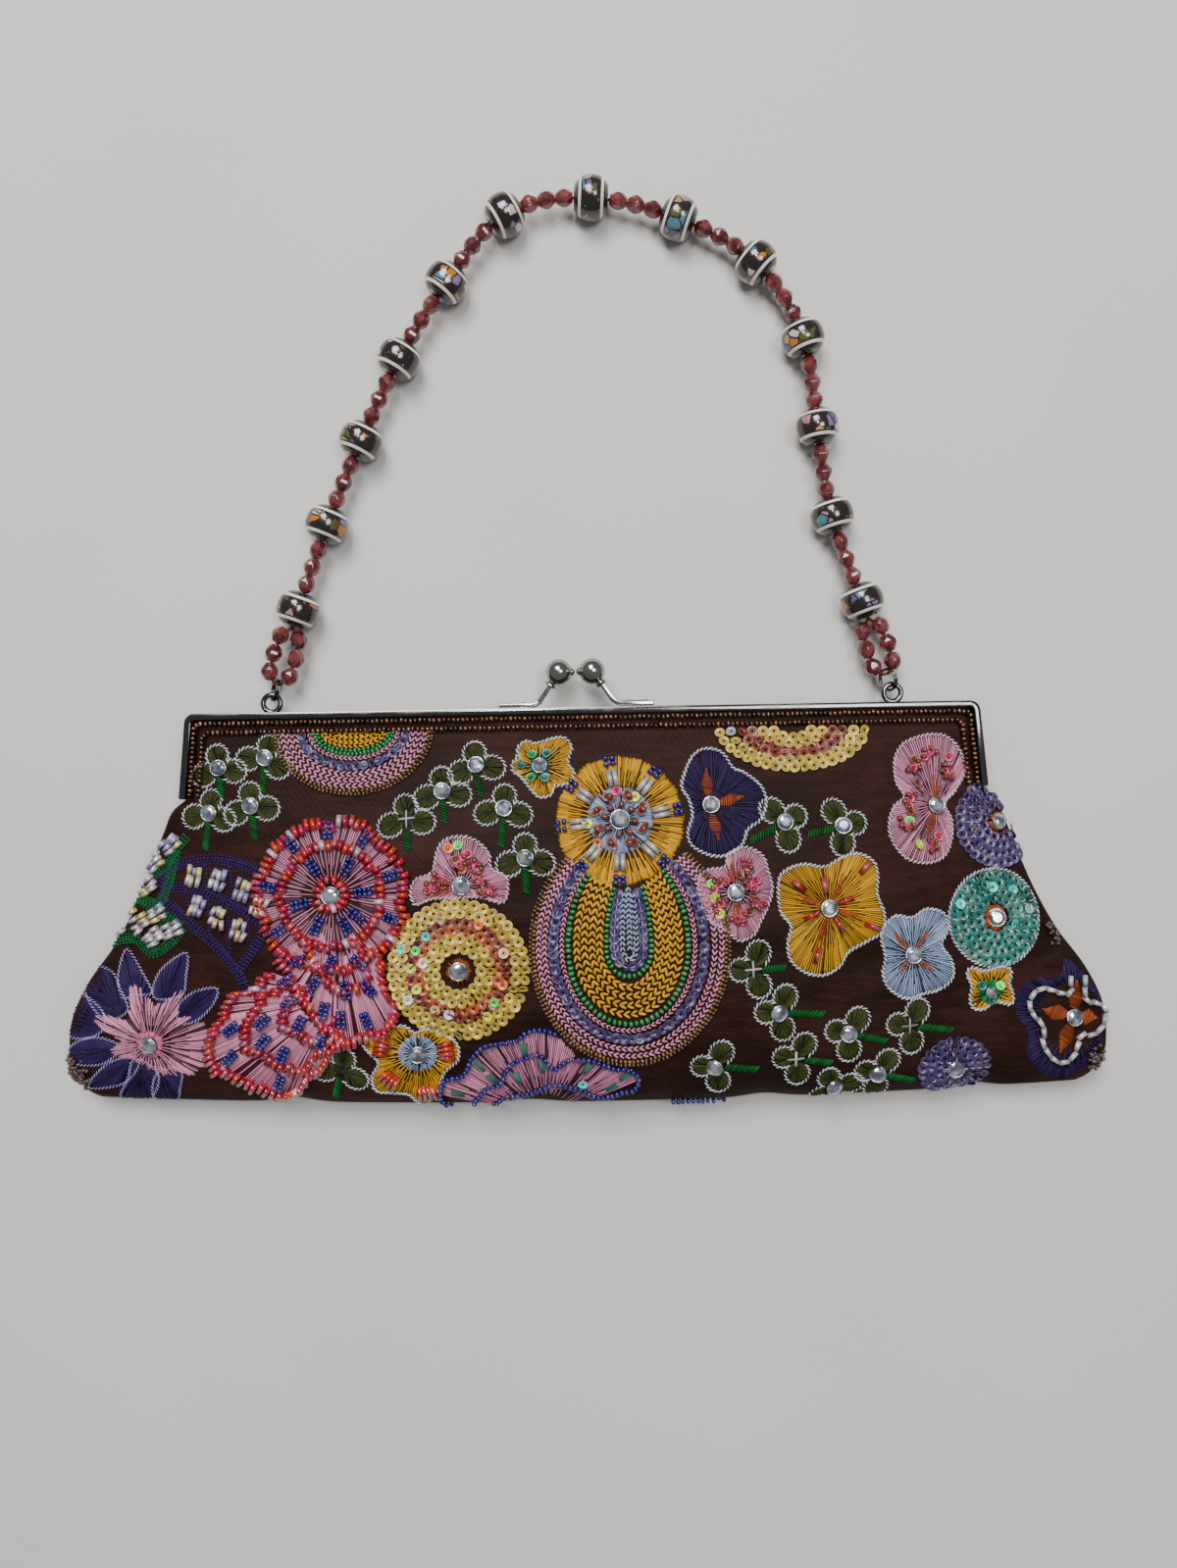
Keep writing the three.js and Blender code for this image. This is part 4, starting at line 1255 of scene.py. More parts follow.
@dataclass
class KissLock:
    """The two arms with their balls that snap past each other."""

    offset: float = -1.8
    span: float = 9.9
    rise: float = 10.9
    lean: float = 0.6
    level: float = FRAME_LEVEL
    middle: float = 2.65
    ball: float = 3.9
    knob: float = 1.25
    knob_gap: float = 0.15
    foot: float = 9.8
    foot_start: float = 13.2
    width: float = 2.2
    thickness: float = 1.6
    collar: float = 1.7

    def ball_point(self, hand: int) -> Vector:
        """Give a ball's centre."""
        return Vector((self.offset + hand * self.span / 2, self.rise, self.level + hand * self.lean))

    def arm(self, hand: int) -> bpy.types.Object:
        """Bend a strip from its riveted foot up to the ball, with a collar and a stem."""
        z = self.level + hand * self.middle
        base = 0.3 + self.thickness / 2
        foot = self.offset + hand * self.foot_start
        outer = foot + hand * self.foot
        knee = Vector((foot - hand * 2.4, base + 1.3, z))
        ball = self.ball_point(hand)
        along = (ball - knee).normalized()
        top = ball - along * (self.ball + 0.3)
        strip = Bench.start("cube", size=1.0)
        corners = Bench.points_of(strip)
        placed = np.stack(
            [
                np.where(corners[:, 0] * hand > 0, outer, foot), base + corners[:, 1] * self.thickness,
                z + corners[:, 2] * self.width,
            ],
            axis=-1,
        )
        strip.data.vertices.foreach_set("co", placed.ravel())
        strip.data.update()
        Bench.pick(strip, lambda centre, normal: normal.x * hand < -0.9, "FACE")
        first = knee - Vector((foot, base, z))
        Bench.extrude(tuple(first * 0.5 - Vector((0, 0.25, 0))), (1.0, 1.02, 0.95))
        Bench.extrude(tuple(first * 0.5 + Vector((0, 0.25, 0))), (1.0, 1.0, 0.9))
        turn = math.atan2(along.y, abs(along.x)) * 0.62
        bpy.ops.transform.rotate(value=hand * turn, orient_axis="Z", center_override=tuple(knee))
        Bench.extrude(tuple((top - knee) * 0.5), (0.94, 0.94, 0.8))
        Bench.extrude(tuple((top - knee) * 0.5), (0.92, 0.92, 0.8))
        Bench.done(strip)
        Bench.rounded(strip, 0.32, 3, 35.0)
        parts = [strip]
        wide = self.collar
        profile = [(0.0, -1.25), (0.62, -1.2), (wide * 0.72, -1.0), (wide, -0.62), (wide, -0.12)]
        profile += [(wide * 0.86, 0.12), (0.8, 0.2), (0.78, 1.6), (0.0, 1.65)]
        collar = Bench.smooth(Bench.lathe(profile, 24), 50.0)
        points = Bench.points_of(collar)
        x = unit(np.cross([0.0, 0.0, 1.0], np.array(along)))
        basis = np.stack([x, np.cross(np.array(along), x), np.array(along)])
        collar.data.vertices.foreach_set("co", (points @ basis + np.array(top)).ravel())
        parts.append(collar)
        for share in (0.25, 0.75):
            dome = [(0.0, 0.42), (0.45, 0.36), (0.8, 0.2), (1.0, 0.0), (1.0, -0.1), (0.0, -0.1)]
            rivet = Bench.smooth(Bench.lathe(dome, 18), 60.0)
            local = Bench.points_of(rivet)
            spot = np.array([foot + hand * share * self.foot, base + self.thickness / 2, z])
            rivet.data.vertices.foreach_set("co", (local[:, [0, 2, 1]] * np.array([1, 1, -1]) + spot).ravel())
            parts.append(rivet)
        return Bench.join(parts)

    def ball_with_knob(self, hand: int) -> bpy.types.Object:
        """Turn a ball with the small knob that meets the other ball."""
        ball = self.ball_point(hand)
        whole = Bench.start("uv_sphere", segments=48, ring_count=32, radius=self.ball, location=tuple(ball))
        Bench.smooth(whole)
        reach = self.span / 2 - self.knob_gap - self.knob
        knob = Bench.start(
            "uv_sphere", segments=20, ring_count=12, radius=self.knob,
            location=tuple(ball - Vector((hand * reach, 0, 0))),
        )
        Bench.smooth(knob)
        return Bench.join([whole, knob])

    def build(self) -> None:
        """Build both arms and both balls."""
        for hand, name in ((1, "front"), (-1, "back")):
            for part, label in ((self.arm(hand), "arm"), (self.ball_with_knob(hand), "ball")):
                Bench.settle(part, Bench.points_of(part))
                finish_piece(part, f"kiss_{label}_{name}", NICKEL, (f"clasp_{label}_{name}",))


class Beads:
    """The small shapes that are strung and sewn."""

    @staticmethod
    def seed() -> Shape:
        """Shape a round bead with its hole along X, one across."""
        bead = Bench.start(
            "torus", major_segments=8, minor_segments=5, major_radius=0.3, minor_radius=0.2,
            rotation=(0.0, math.pi / 2, 0.0)
        )
        Bench.smooth(bead)
        shape = Bench.take(bead)
        shape.points *= np.array([1.6, 1.0, 1.0])
        return shape

    @staticmethod
    def faceted() -> Shape:
        """Cut a faceted bead with its hole along Z, one across and one long."""
        profile = [
            (0.09, 0.44), (0.24, 0.5), (0.4, 0.3), (0.5, 0.08), (0.5, -0.08), (0.4, -0.3), (0.24, -0.5),
            (0.09, -0.44),
        ]
        bead = Bench.lathe(profile, 8)
        Bench.pick(bead, lambda place: abs(place.z) < 0.2)
        bpy.ops.transform.rotate(value=math.pi / 8, orient_axis="Z", center_override=(0.0, 0.0, 0.0))
        bpy.ops.mesh.select_all(action="SELECT")
        bpy.ops.mesh.fill_holes(sides=0)
        Bench.done(bead)
        Bench.modify(bead, "TRIANGULATE", quad_method="SHORTEST_DIAGONAL")
        Bench.modify(
            bead, "BEVEL", width=0.012, segments=1, limit_method="ANGLE", angle_limit=math.radians(12.0)
        )
        return Bench.take(bead)


@dataclass
class BeadBorder:
    """The two rows of bronze seed beads that are sewn along the frame."""

    half: float = FRAME_HALF
    flare: float = FRAME_FLARE
    corner: float = FRAME_CORNER
    leg: float = FRAME_LEG
    rows: tuple[float, ...] = (3.1, 5.65)
    pitch: float = 1.4
    bead: float = 1.75
    face: float = 4.85
    level: float = FRAME_LEVEL

    def route(self, inset: float) -> Array:
        """Give the line of one row round the frame, at an inset from its outside."""
        radius = 1.1
        leg = [
            (-(self.half + self.flare * deep - inset), -deep)
            for deep in np.linspace(self.leg - 0.4, inset + radius, 24)
        ]
        turn = [
            (
                -(self.half - inset - radius) - radius * math.cos(angle),
                -(inset + radius) + radius * math.sin(angle),
            )
            for angle in np.linspace(0.0, math.pi / 2, 6)
        ]
        left = np.array([*leg, *turn])
        return np.concatenate([left, (left * np.array([-1.0, 1.0]))[::-1]])

    def build(self) -> None:
        """String both rows on each half."""
        shape = Beads.seed()
        rng = np.random.default_rng(11)
        for side in Side:
            joined = Joined(f"seed_border_{side.name.lower()}", BRONZE, "bronze_beads")
            for inset in self.rows:
                line = spaced(self.route(inset), self.pitch)
                ways = np.gradient(line, axis=0)
                line = line + rng.normal(0, 0.07, line.shape)
                z = self.level + side.value * (self.face + rng.normal(0, 0.06, len(line)))
                spots = np.column_stack([line, z])
                along = np.column_stack(
                    [ways + rng.normal(0, 0.12, ways.shape), rng.normal(0, 0.1, len(line))]
                )
                turns = turns_of(along, np.tile([0.0, 0.0, float(side.value)], (len(line), 1)))
                tints = np.clip(rng.normal(1.0, 0.22, (len(line), 1)), 0.45, 1.5) * np.ones(3)
                joined.copy(shape, spots, turns, tints, self.bead * rng.uniform(0.92, 1.06, len(line)))
            joined.build((f"bead_border_{side.name.lower()}",))


def spaced(line: Array, pitch: float, closed: bool = False) -> Array:
    """Put points along a line at even steps.

    Args:
        line: The line's points.
        pitch: The wished step.
        closed: Whether the last point joins the first.

    Returns:
        The points, half a step in from an open line's ends.
    """
    line = np.asarray(line, float)
    if closed:
        line = np.concatenate([line, line[:1]])
    far = np.concatenate([[0.0], np.cumsum(np.linalg.norm(np.diff(line, axis=0), axis=1))])
    count = max(int(round(far[-1] / pitch)), 1)
    at = (np.arange(count) + (0.0 if closed else 0.5)) * far[-1] / count
    return np.stack([np.interp(at, far, line[:, k]) for k in range(line.shape[1])], axis=-1)


@dataclass
class BeadStrap:
    """The strap of inlaid barrels and small faceted beads with its rings."""

    barrel_radius: float = 6.4
    barrel_length: float = 10.4
    small_radius: float = 2.65
    small_length: float = 5.3
    barrel_count: int = 13
    barrel_end: float = 3.5
    shares: tuple[float, ...] = (0.3007, 0.5, 0.6993)
    pull: float = 27.1
    ring: float = 3.2
    wire: float = 0.34
    twist: float = 62.0
    thread: float = 0.45
    ring_ahead: float = 4.1
    loop_end: float = 3.2
    loop_start: float = 5.0
    loop_asides: tuple[float, ...] = (2.79, 3.41, 3.1)
    turn_ahead: float = 1.85
    turn_aside: float = 0.93
    # each side's eye and strap end
    ends: tuple[tuple[tuple[float, float, float], ...], ...] = (
        ((-93.0, 3.2, 6.85), (-86.61, 25.94, 6.4)),
        ((93.0, 3.2, 6.85), (86.3, 25.71, 6.4)),
    )

    def barrels(self) -> tuple[Array, Array]:
        """Read where the large beads' solids are and which way their holes run."""
        centres, ways = [], []
        for k in range(self.barrel_count):
            mesh = frame["nodes"][f"large_bead_{k + 1:02d}"].data
            places = np.zeros(len(mesh.vertices) * 3)
            mesh.vertices.foreach_get("co", places)
            places = np.unique(
                np.round(places.reshape(-1, 3) / MILLIMETRE, 3), axis=0
            ) - np.array([0.0, ROW_SHIFT, 0.0])
            middle = (places.min(0) + places.max(0)) / 2
            spread, axes = np.linalg.eigh(np.cov((places - middle).T))
            odd = int(np.argmax([abs(spread[j] - (spread.sum() - spread[j]) / 2) for j in range(3)]))
            centres.append(middle)
            ways.append(axes[:, odd])
        centres, ways = np.array(centres), np.array(ways)
        ahead = np.gradient(centres, axis=0)
        return centres, unit(ways * np.sign((ways * ahead).sum(1))[:, None])

    def build_barrels(self, centres: Array, ways: Array) -> None:
        """Turn one barrel and put its copies on the strap."""
        h, r = self.barrel_length / 2, self.barrel_radius
        arc = [
            (r - (r - self.barrel_end) * abs(t) ** 2.6, h * t * (1.0 - 0.02 * abs(t)))
            for t in np.linspace(1.0, -1.0, 23)
        ]
        profile = [
            (1.2, h * 0.8), (1.25, h * 0.93), (1.9, h * 0.985), *[(p, q) for p, q in arc], (1.9, -h * 0.985),
            (1.25, -h * 0.93), (1.2, -h * 0.8),
        ]
        profile = [*profile, (1.2, 0.0), profile[0]]
        shape = Bench.take(Bench.smooth(Bench.lathe(profile, 40), 50.0))
        rng = np.random.default_rng(5)
        joined = Joined("inlaid_barrels", RESIN, "large_beads")
        for centre, way in zip(centres, ways):
            turn = turns_of(way[None], np.array([[0.0, 0.0, 1.0]]))[0]
            turn = np.stack([turn[1], turn[2], turn[0]])
            spot = shape.points[:, [2, 0, 1]] * MILLIMETRE
            seed = np.tile(rng.uniform(-1.0, 1.0, 3), (len(spot), 1))
            joined.add(
                shape, (shape.points @ turn + centre)[None], (1.0, 1.0, 1.0), Spot=spot[None], Seed=seed[None]
            )
        joined.build(tuple(f"large_bead_{k + 1:02d}" for k in range(self.barrel_count)))

    def end_loop(self, end: int) -> tuple[Array, Array, Array, Array, Array]:
        """Lay out the loop that ties one end into its ring.

        Args:
            end: 0 on the left and 1 on the right.

        Returns:
            The loop's beads, their ways, its thread, the ring's centre and the ring's directions.
        """
        eye, finish = (np.array(point) for point in self.ends[end])
        along = unit(finish - eye)
        beside = unit(np.cross(along, [0.0, 0.0, 1.0]))
        up = np.cross(beside, along)
        twist = math.radians(self.twist)
        across = beside * math.cos(twist) + up * math.sin(twist)
        centre = eye + along * self.ring_ahead
        first = np.linalg.norm(finish - centre) - self.loop_end
        strand = list(zip((first, (first + self.loop_start) / 2, self.loop_start), self.loop_asides))
        out = [centre + along * far + beside * aside for far, aside in strand]
        home = [centre + along * far - beside * aside for far, aside in reversed(strand)]
        asides = (self.turn_aside, -self.turn_aside)
        turns = [centre + along * self.turn_ahead + beside * aside for aside in asides]
        thread = np.array([finish, *out, *turns, *home, finish])
        beads = np.array([*thread[1:4], *thread[6:9]])
        ways = np.array([*(thread[2:5] - thread[0:3]), *(thread[7:10] - thread[5:8])])
        return beads, ways, thread, centre, np.stack([along, across, np.cross(along, across)])

    def build_rings(self, places: list[tuple[Array, Array]]) -> None:
        """Wind each split ring of two turns of wire."""
        for (centre, turn), name in zip(places, ("left", "right")):
            coils = []
            for shift in (-0.33, 0.33):
                coil = Bench.start(
                    "torus", major_radius=self.ring, minor_radius=self.wire, major_segments=56,
                    minor_segments=12, location=(0, 0, shift)
                )
                coils.append(Bench.smooth(coil))
            ring = Bench.join(coils)
            Bench.settle(ring, Bench.points_of(ring) @ turn + centre)
            finish_piece(ring, f"wire_ring_{name}", SHADED_NICKEL, (f"split_ring_{name}",))

    def build(self) -> None:
        """Build the barrels, the small beads, the thread and the rings."""
        centres, ways = self.barrels()
        self.build_barrels(centres, ways)
        spots, heads, thread = [], [], [np.array(self.ends[0][1])]
        for k in range(len(centres) - 1):
            thread.append(centres[k])
            for t in self.shares:
                a, b, va, vb = centres[k], centres[k + 1], ways[k] * self.pull, ways[k + 1] * self.pull
                start, leaving, end, coming = hermite(t)
                spots.append(start * a + leaving * va + end * b + coming * vb)
                heads.append(
                    (6 * t**2 - 6 * t) * (a - b) + (3 * t**2 - 4 * t + 1) * va + (3 * t**2 - 2 * t) * vb
                )
                thread.append(spots[-1])
        thread += [centres[-1], np.array(self.ends[1][1])]
        threads, rings = [np.array(thread)], []
        for end in (0, 1):
            beads, turns, line, centre, basis = self.end_loop(end)
            spots += list(beads)
            heads += list(turns)
            threads.append(line)
            rings.append((centre, basis))
        self.build_rings(rings)
        rng = np.random.default_rng(8)
        spots, heads = np.array(spots), np.array(heads)
        leans = np.column_stack([rng.normal(0, 1, (len(spots), 2)), np.ones(len(spots))])
        turns = turns_of(heads + rng.normal(0, 0.02, heads.shape), leans)
        turns = np.stack([turns[:, 1], turns[:, 2], turns[:, 0]], axis=1)
        sizes = np.column_stack(
            [np.full(len(spots), 2 * self.small_radius)] * 2 + [np.full(len(spots), self.small_length)]
        )
        joined = Joined("faceted_string", GARNET, "faceted_beads")
        joined.copy(Beads.faceted(), spots, turns, (1.0, 1.0, 1.0), sizes)
        joined.build(("bead_string",))
        self.build_thread(threads)

    def build_thread(self, threads: list[Array]) -> None:
        """Lay the thread that runs through all the beads."""
        rod = Bench.start(
            "cylinder", vertices=8, radius=1.0, depth=1.0, location=(0.5, 0, 0), rotation=(0, math.pi / 2, 0)
        )
        Bench.pick(rod, lambda centre, normal: abs(normal.z) > 0.9, "FACE")
        bpy.ops.mesh.inset(thickness=0.3)
        Bench.done(rod)
        shape = Bench.take(Bench.smooth(rod, 60.0))
        joined = Joined("strap_thread", CORD, "faceted_beads")
        for line in threads:
            steps = np.diff(line, axis=0)
            turns = turns_of(steps, np.tile([0.0, 0.0, 1.0], (len(steps), 1)))
            long = np.linalg.norm(steps, axis=1)
            sizes = np.column_stack([long, np.full(len(long), self.thread), np.full(len(long), self.thread)])
            joined.copy(shape, line[:-1], turns, Dye.BROWN.value, sizes)
        joined.build()


# The embroidery


def curve_through(points: object, closed: bool = True, fine: int = 10) -> Array:
    """Draw a smooth line through points.

    Args:
        points: The points.
        closed: Whether the line closes.
        fine: The steps between two points.

    Returns:
        The line's points.
    """
    given = np.asarray(points, float)
    ring = np.concatenate(
        [given[-1:], given, given[:2]]
    ) if closed else np.concatenate([given[:1], given, given[-1:]])
    t = np.arange(fine)[None, :, None] / fine
    a, b, c, d = (ring[k : len(ring) - 3 + k][:, None] for k in range(4))
    line = 0.5 * (2 * b + (c - a) * t + (2 * a - 5 * b + 4 * c - d) * t**2 + (3 * b - a - 3 * c + d) * t**3)
    line = line.reshape(-1, 2)
    return line if closed else np.concatenate([line, given[-1:]])


def polar(centre: object, radius: Array | float, degrees: Array | float) -> Array:
    """Give points at a distance and an angle from a centre."""
    angle = np.radians(degrees)
    return np.asarray(centre, float) + np.stack([radius * np.cos(angle), radius * np.sin(angle)], axis=-1)


def oval(
    centre: object, long: float, wide: float, turn: float, start: float = 0.0, end: float = 360.0,
    count: int = 40,
) -> Array:
    """Give an oval or a part of it.

    Args:
        centre: Its middle.
        long: Half its length.
        wide: Half its width.
        turn: The angle of its length.
        start: Where the part starts, from its length.
        end: Where it ends.
        count: The points.

    Returns:
        The points.
    """
    at = np.radians(np.linspace(start, end, count, endpoint=abs(end - start) < 359.9))
    c, s = math.cos(math.radians(turn)), math.sin(math.radians(turn))
    x, y = long * np.cos(at), wide * np.sin(at)
    return np.asarray(centre, float) + np.stack([x * c - y * s, x * s + y * c], axis=-1)


class Needle:
    """Sews threads, beads, bugles, sequins and stones on the cloth, and joins them by finish."""

    def __init__(self, form: ClothForm, name: str, seed: int) -> None:
        """Take the cloth, and a name for the part of it that is sewn."""
        self.form = form
        self.rng = np.random.default_rng(seed)
        self.floss = Joined(f"floss_{name}", FLOSS, "satin")
        self.cords = Joined(f"cords_{name}", CORD, "satin")
        self.beads = Joined(f"glass_beads_{name}", SEED_GLASS, "satin")
        self.tubes = Joined(f"bugles_{name}", BUGLE_GLASS, "satin")
        self.film = Joined(f"sequins_{name}", SEQUIN, "satin")
        self.jewels = Joined(f"stones_{name}", STONE, "satin")

    def build(self) -> None:
        """Join all that is sewn."""
        for joined in (self.floss, self.cords, self.beads, self.tubes, self.film, self.jewels):
            joined.build()

    def shades(self, colour: Colour, count: int, spread: float = 0.12) -> Array:
        """Give slightly different shades of a colour."""
        level = np.clip(self.rng.normal(1.0, spread, (count, 1)), 0.5, 1.6)
        return np.asarray(colour) * level

    def stitch(
        self, starts: object, ends: object, colour: Colour, width: float = 0.6, lift: float = 0.12,
        taper: float = 1.0, high: float = 0.34
    ) -> None:
        """Sew straight stitches over the cloth.

        Args:
            starts: Where they start.
            ends: Where they end.
            colour: The thread's colour.
            width: The thread's width at the end.
            lift: How high over the cloth it lies.
            taper: The share of its width at the start.
            high: Its own height.
        """
        starts, ends = np.atleast_2d(np.asarray(starts, float)), np.atleast_2d(np.asarray(ends, float))
        if not len(starts):
            return
        shape = Shapes.strand()
        rings = np.unique(np.round(shape.points[:, 0], 4))
        which = np.searchsorted(rings, np.round(shape.points[:, 0], 4))
        spots = starts[:, None] + (ends - starts)[:, None] * rings[None, :, None]
        arch = lift * (1.0 - np.abs(2.0 * rings - 1.0) ** 6) + self.rng.uniform(-0.05, 0.05, (len(starts), 1))
        points, out = self.form.lay(spots, arch)
        along = unit(np.gradient(points, axis=1))
        beside = unit(np.cross(out, along))
        narrow = (taper + (1.0 - taper) * rings)[which][None, :, None]
        widths = self.rng.uniform(0.85, 1.15, (len(starts), 1, 1)) * width * narrow
        placed = points[:, which] + beside[:, which] * shape.points[None, :, 1:2] * widths
        placed = placed + out[:, which] * shape.points[None, :, 2:3] * high
        self.floss.add(shape, placed, self.shades(colour, len(starts), 0.2))

    def fan(
        self, centre: object, rim: Array, colour: Colour, inner: float = 1.0, pitch: float = 0.76,
        closed: bool = True,
        lift: float = 0.14, ragged: float = 0.3, missed: float = 0.08, width: float = 0.64,
        shaded: bool = True,
    ) -> None:
        """Fill a petal or a flower with stitches from its middle to its rim.

        Args:
            centre: Where the stitches come from.
            rim: The rim's line.
            colour: The thread's colour.
            inner: The bare radius at the middle.
            pitch: The step along the rim.
            closed: Whether the rim closes.
            lift: How high the stitches lie.
            ragged: How uneven the rim is.
            missed: The share of stitches that is left out.
            width: The stitches' width.
            shaded: Whether a layer of dark stitches lies under them, painted shade in the gaps between them.
        """
        centre = np.asarray(centre, float)
        # A layer of dark stitches at 0.13 of the thread's colour, painted shade that shows in the gaps between
        # the stitches.
        if shaded:
            under = spaced(centre + (np.asarray(rim) - centre) * 0.97, pitch * 1.5, closed)
            far = np.linalg.norm(under - centre, axis=1, keepdims=True)
            under, far = under[far[:, 0] > inner + 0.8], far[far[:, 0] > inner + 0.8]
            starts = centre + (under - centre) / far * (inner + (far - inner) * 0.25)
            self.stitch(starts, under, tuple(0.13 * level for level in colour), pitch * 1.6, 0.02, 0.6)
        ends = spaced(rim, pitch, closed)
        ends = ends[self.rng.random(len(ends)) >= missed]
        reach = ends - centre
        far = np.linalg.norm(reach, axis=1, keepdims=True)
        keep = far[:, 0] > inner + 0.8
        reach, far = reach[keep], far[keep]
        way = reach / far
        shares = np.array([0.0, 0.5, 0.25, 0.62])[np.arange(len(reach)) % 4][:, None] + self.rng.uniform(
            -0.06, 0.06, (len(reach), 1)
        )
        shares = np.where(far - inner < 3.0, 0.0, np.clip(shares, 0.0, 0.8))
        starts = centre + way * (inner + (far - inner) * shares)
        finish = centre + way * (far + self.rng.normal(-0.05, ragged * 0.5, far.shape))
        taper = float(np.clip(inner / max(float(far.mean()), 1e-6) + 0.35, 0.3, 1.0))
        self.stitch(starts, finish, colour, width, lift, taper)

    def twist(
        self, line: object, colour: Colour, width: float = 0.95, closed: bool = True, lift: float = 0.3,
        pitch: float = 1.3,
    ) -> None:
        """Couch a twisted cord along a line.

        Args:
            line: The line.
            colour: The cord's colour.
            width: Its width.
            closed: Whether the line closes.
            lift: How high it lies.
            pitch: The length of one turn of the twist.
        """
        spots = spaced(line, pitch, closed)
        ways = ways_along(spots, closed)
        self.grains(self.cords, spots, ways, 32.0, colour, (pitch * 1.42, width * 0.66, width * 0.72), lift)

    def grains(
        self, joined: Joined, spots: Array, ways: Array, lean: float, colour: Colour,
        size: tuple[float, float, float], lift: float
    ) -> None:
        """Lay grains of thread that lean from a line.

        Args:
            joined: What they join.
            spots: Their places.
            ways: The line's directions there.
            lean: Their angle from it.
            colour: Their colour.
            size: Their length, width and height.
            lift: How high they lie.
        """
        points, out = self.form.lay(spots, lift)
        ahead, _ = self.form.lay(spots + unit(ways) * 0.4, lift)
        turns = turns_of(ahead - points, out)
        lean = np.radians(lean + self.rng.normal(0, 4.0, len(spots)))
        c, s = np.cos(lean)[:, None], np.sin(lean)[:, None]
        turns = np.stack(
            [turns[:, 0] * c + turns[:, 1] * s, turns[:, 1] * c - turns[:, 0] * s, turns[:, 2]], axis=1
        )
        sizes = np.asarray(size) * self.rng.uniform(0.9, 1.1, (len(spots), 1))
        joined.copy(Shapes.grain(), points, turns, self.shades(colour, len(spots), 0.08), sizes)

    def chain(
        self, line: object, colour: Colour, width: float = 2.0, pitch: float = 2.0, closed: bool = False,
        lift: float = 0.35,
    ) -> None:
        """Sew a row of chain stitches, each of two leaning strands.

        Args:
            line: The row's line.
            colour: The thread's colour.
            width: The row's width.
            pitch: The length of one stitch.
            closed: Whether the row closes.
            lift: How high it lies.
        """
        spots = spaced(line, pitch, closed)
        if len(spots) < 2:
            return
        ways = unit(ways_along(spots, closed))
        side = np.stack([-ways[:, 1], ways[:, 0]], axis=-1)
        for hand in (-1, 1):
            size = (pitch * 1.12, width * 0.37, width * 0.42)
            self.grains(self.cords, spots + side * hand * width * 0.23, ways, hand * 27.0, colour, size, lift)

    def string(
        self, line: object, colour: Colour, size: float = 1.6, pitch: float = 1.5, closed: bool = False,
        lift: float = 0.6
    ) -> None:
        """Sew a row of seed beads.

        Args:
            line: The row's line.
            colour: The beads' colour.
            size: Their diameter.
            pitch: The step between them.
            closed: Whether the row closes.
            lift: How high their middles lie.
        """
        spots = spaced(line, pitch, closed)
        if len(spots) < 2:
            ways = np.asarray(line, float)[-1:] - np.asarray(line, float)[:1]
        else:
            ways = ways_along(spots, closed)
        spots = spots + self.rng.normal(0, 0.06, spots.shape)
        points, out = self.form.lay(spots, lift + self.rng.uniform(-0.05, 0.12, len(spots)))
        ahead, _ = self.form.lay(spots + unit(ways) * 0.4, lift)
        turns = turns_of(ahead - points + self.rng.normal(0, 0.05, points.shape), out)
        self.beads.copy(
            Shapes.seed(), points, turns, self.shades(colour, len(spots), 0.15),
            size * self.rng.uniform(0.93, 1.07, len(spots)),
        )

    def bugle(
        self, starts: object, ends: object, colour: Colour, thick: float = 1.1, lift: float = 0.6,
        spread: float = 0.15,
    ) -> None:
        """Sew bugles, each from one place to another."""
        starts, ends = np.atleast_2d(np.asarray(starts, float)), np.atleast_2d(np.asarray(ends, float))
        a, up = self.form.lay(starts, lift)
        b, _ = self.form.lay(ends, lift + self.rng.uniform(-0.1, 0.25, len(ends)))
        long = np.linalg.norm(b - a, axis=1)
        sizes = np.column_stack([long, np.full(len(long), thick), np.full(len(long), thick)])
        self.tubes.copy(
            Shapes.bugle(), (a + b) / 2, turns_of(b - a, up), self.shades(colour, len(a), spread), sizes
        )

    def sequins(
        self, spots: object, colour: Colour, size: float = 3.0, lift: float = 0.5, ways: Array | None = None,
        lean: float = 12.0, jitter: float = 7.0
    ) -> None:
        """Sew sequins, each leaning a little on the next.

        Args:
            spots: Their places.
            colour: Their colour.
            size: Their diameter.
            lift: How high they lie.
            ways: The direction in which each one's edge is lifted.
            lean: How far it is lifted, in degrees.
            jitter: How unevenly they lie, in degrees.
        """
        spots = np.atleast_2d(np.asarray(spots, float))
        if ways is None:
            ways = self.rng.normal(0, 1, spots.shape)
        points, out = self.form.lay(spots, lift + self.rng.uniform(-0.08, 0.12, len(spots)))
        ahead, _ = self.form.lay(spots + unit(np.asarray(ways, float)) * 0.4, lift)
        turns = turns_of(ahead - points, out)
        raised = turns[:, 0] + turns[:, 2] * np.tan(
            np.radians(lean + self.rng.normal(0, jitter, (len(spots), 1)))
        )
        across = turns[:, 1] + turns[:, 2] * np.tan(np.radians(self.rng.normal(0, jitter, (len(spots), 1))))
        up = np.cross(raised, across)
        self.film.copy(
            Shapes.sequin(), points, turns_of(raised, up), self.shades(colour, len(spots), 0.14),
            size * self.rng.uniform(0.94, 1.05, len(spots)),
        )

    def sequin_row(
        self, line: object, colour: Colour, size: float = 3.0, pitch: float = 1.75, closed: bool = True,
        lift: float = 0.5,
    ) -> None:
        """Sew a row of sequins that overlap like scales."""
        spots = spaced(line, pitch, closed)
        ways = ways_along(spots, closed)
        self.sequins(spots, colour, size, lift, ways, 13.0, 9.0)

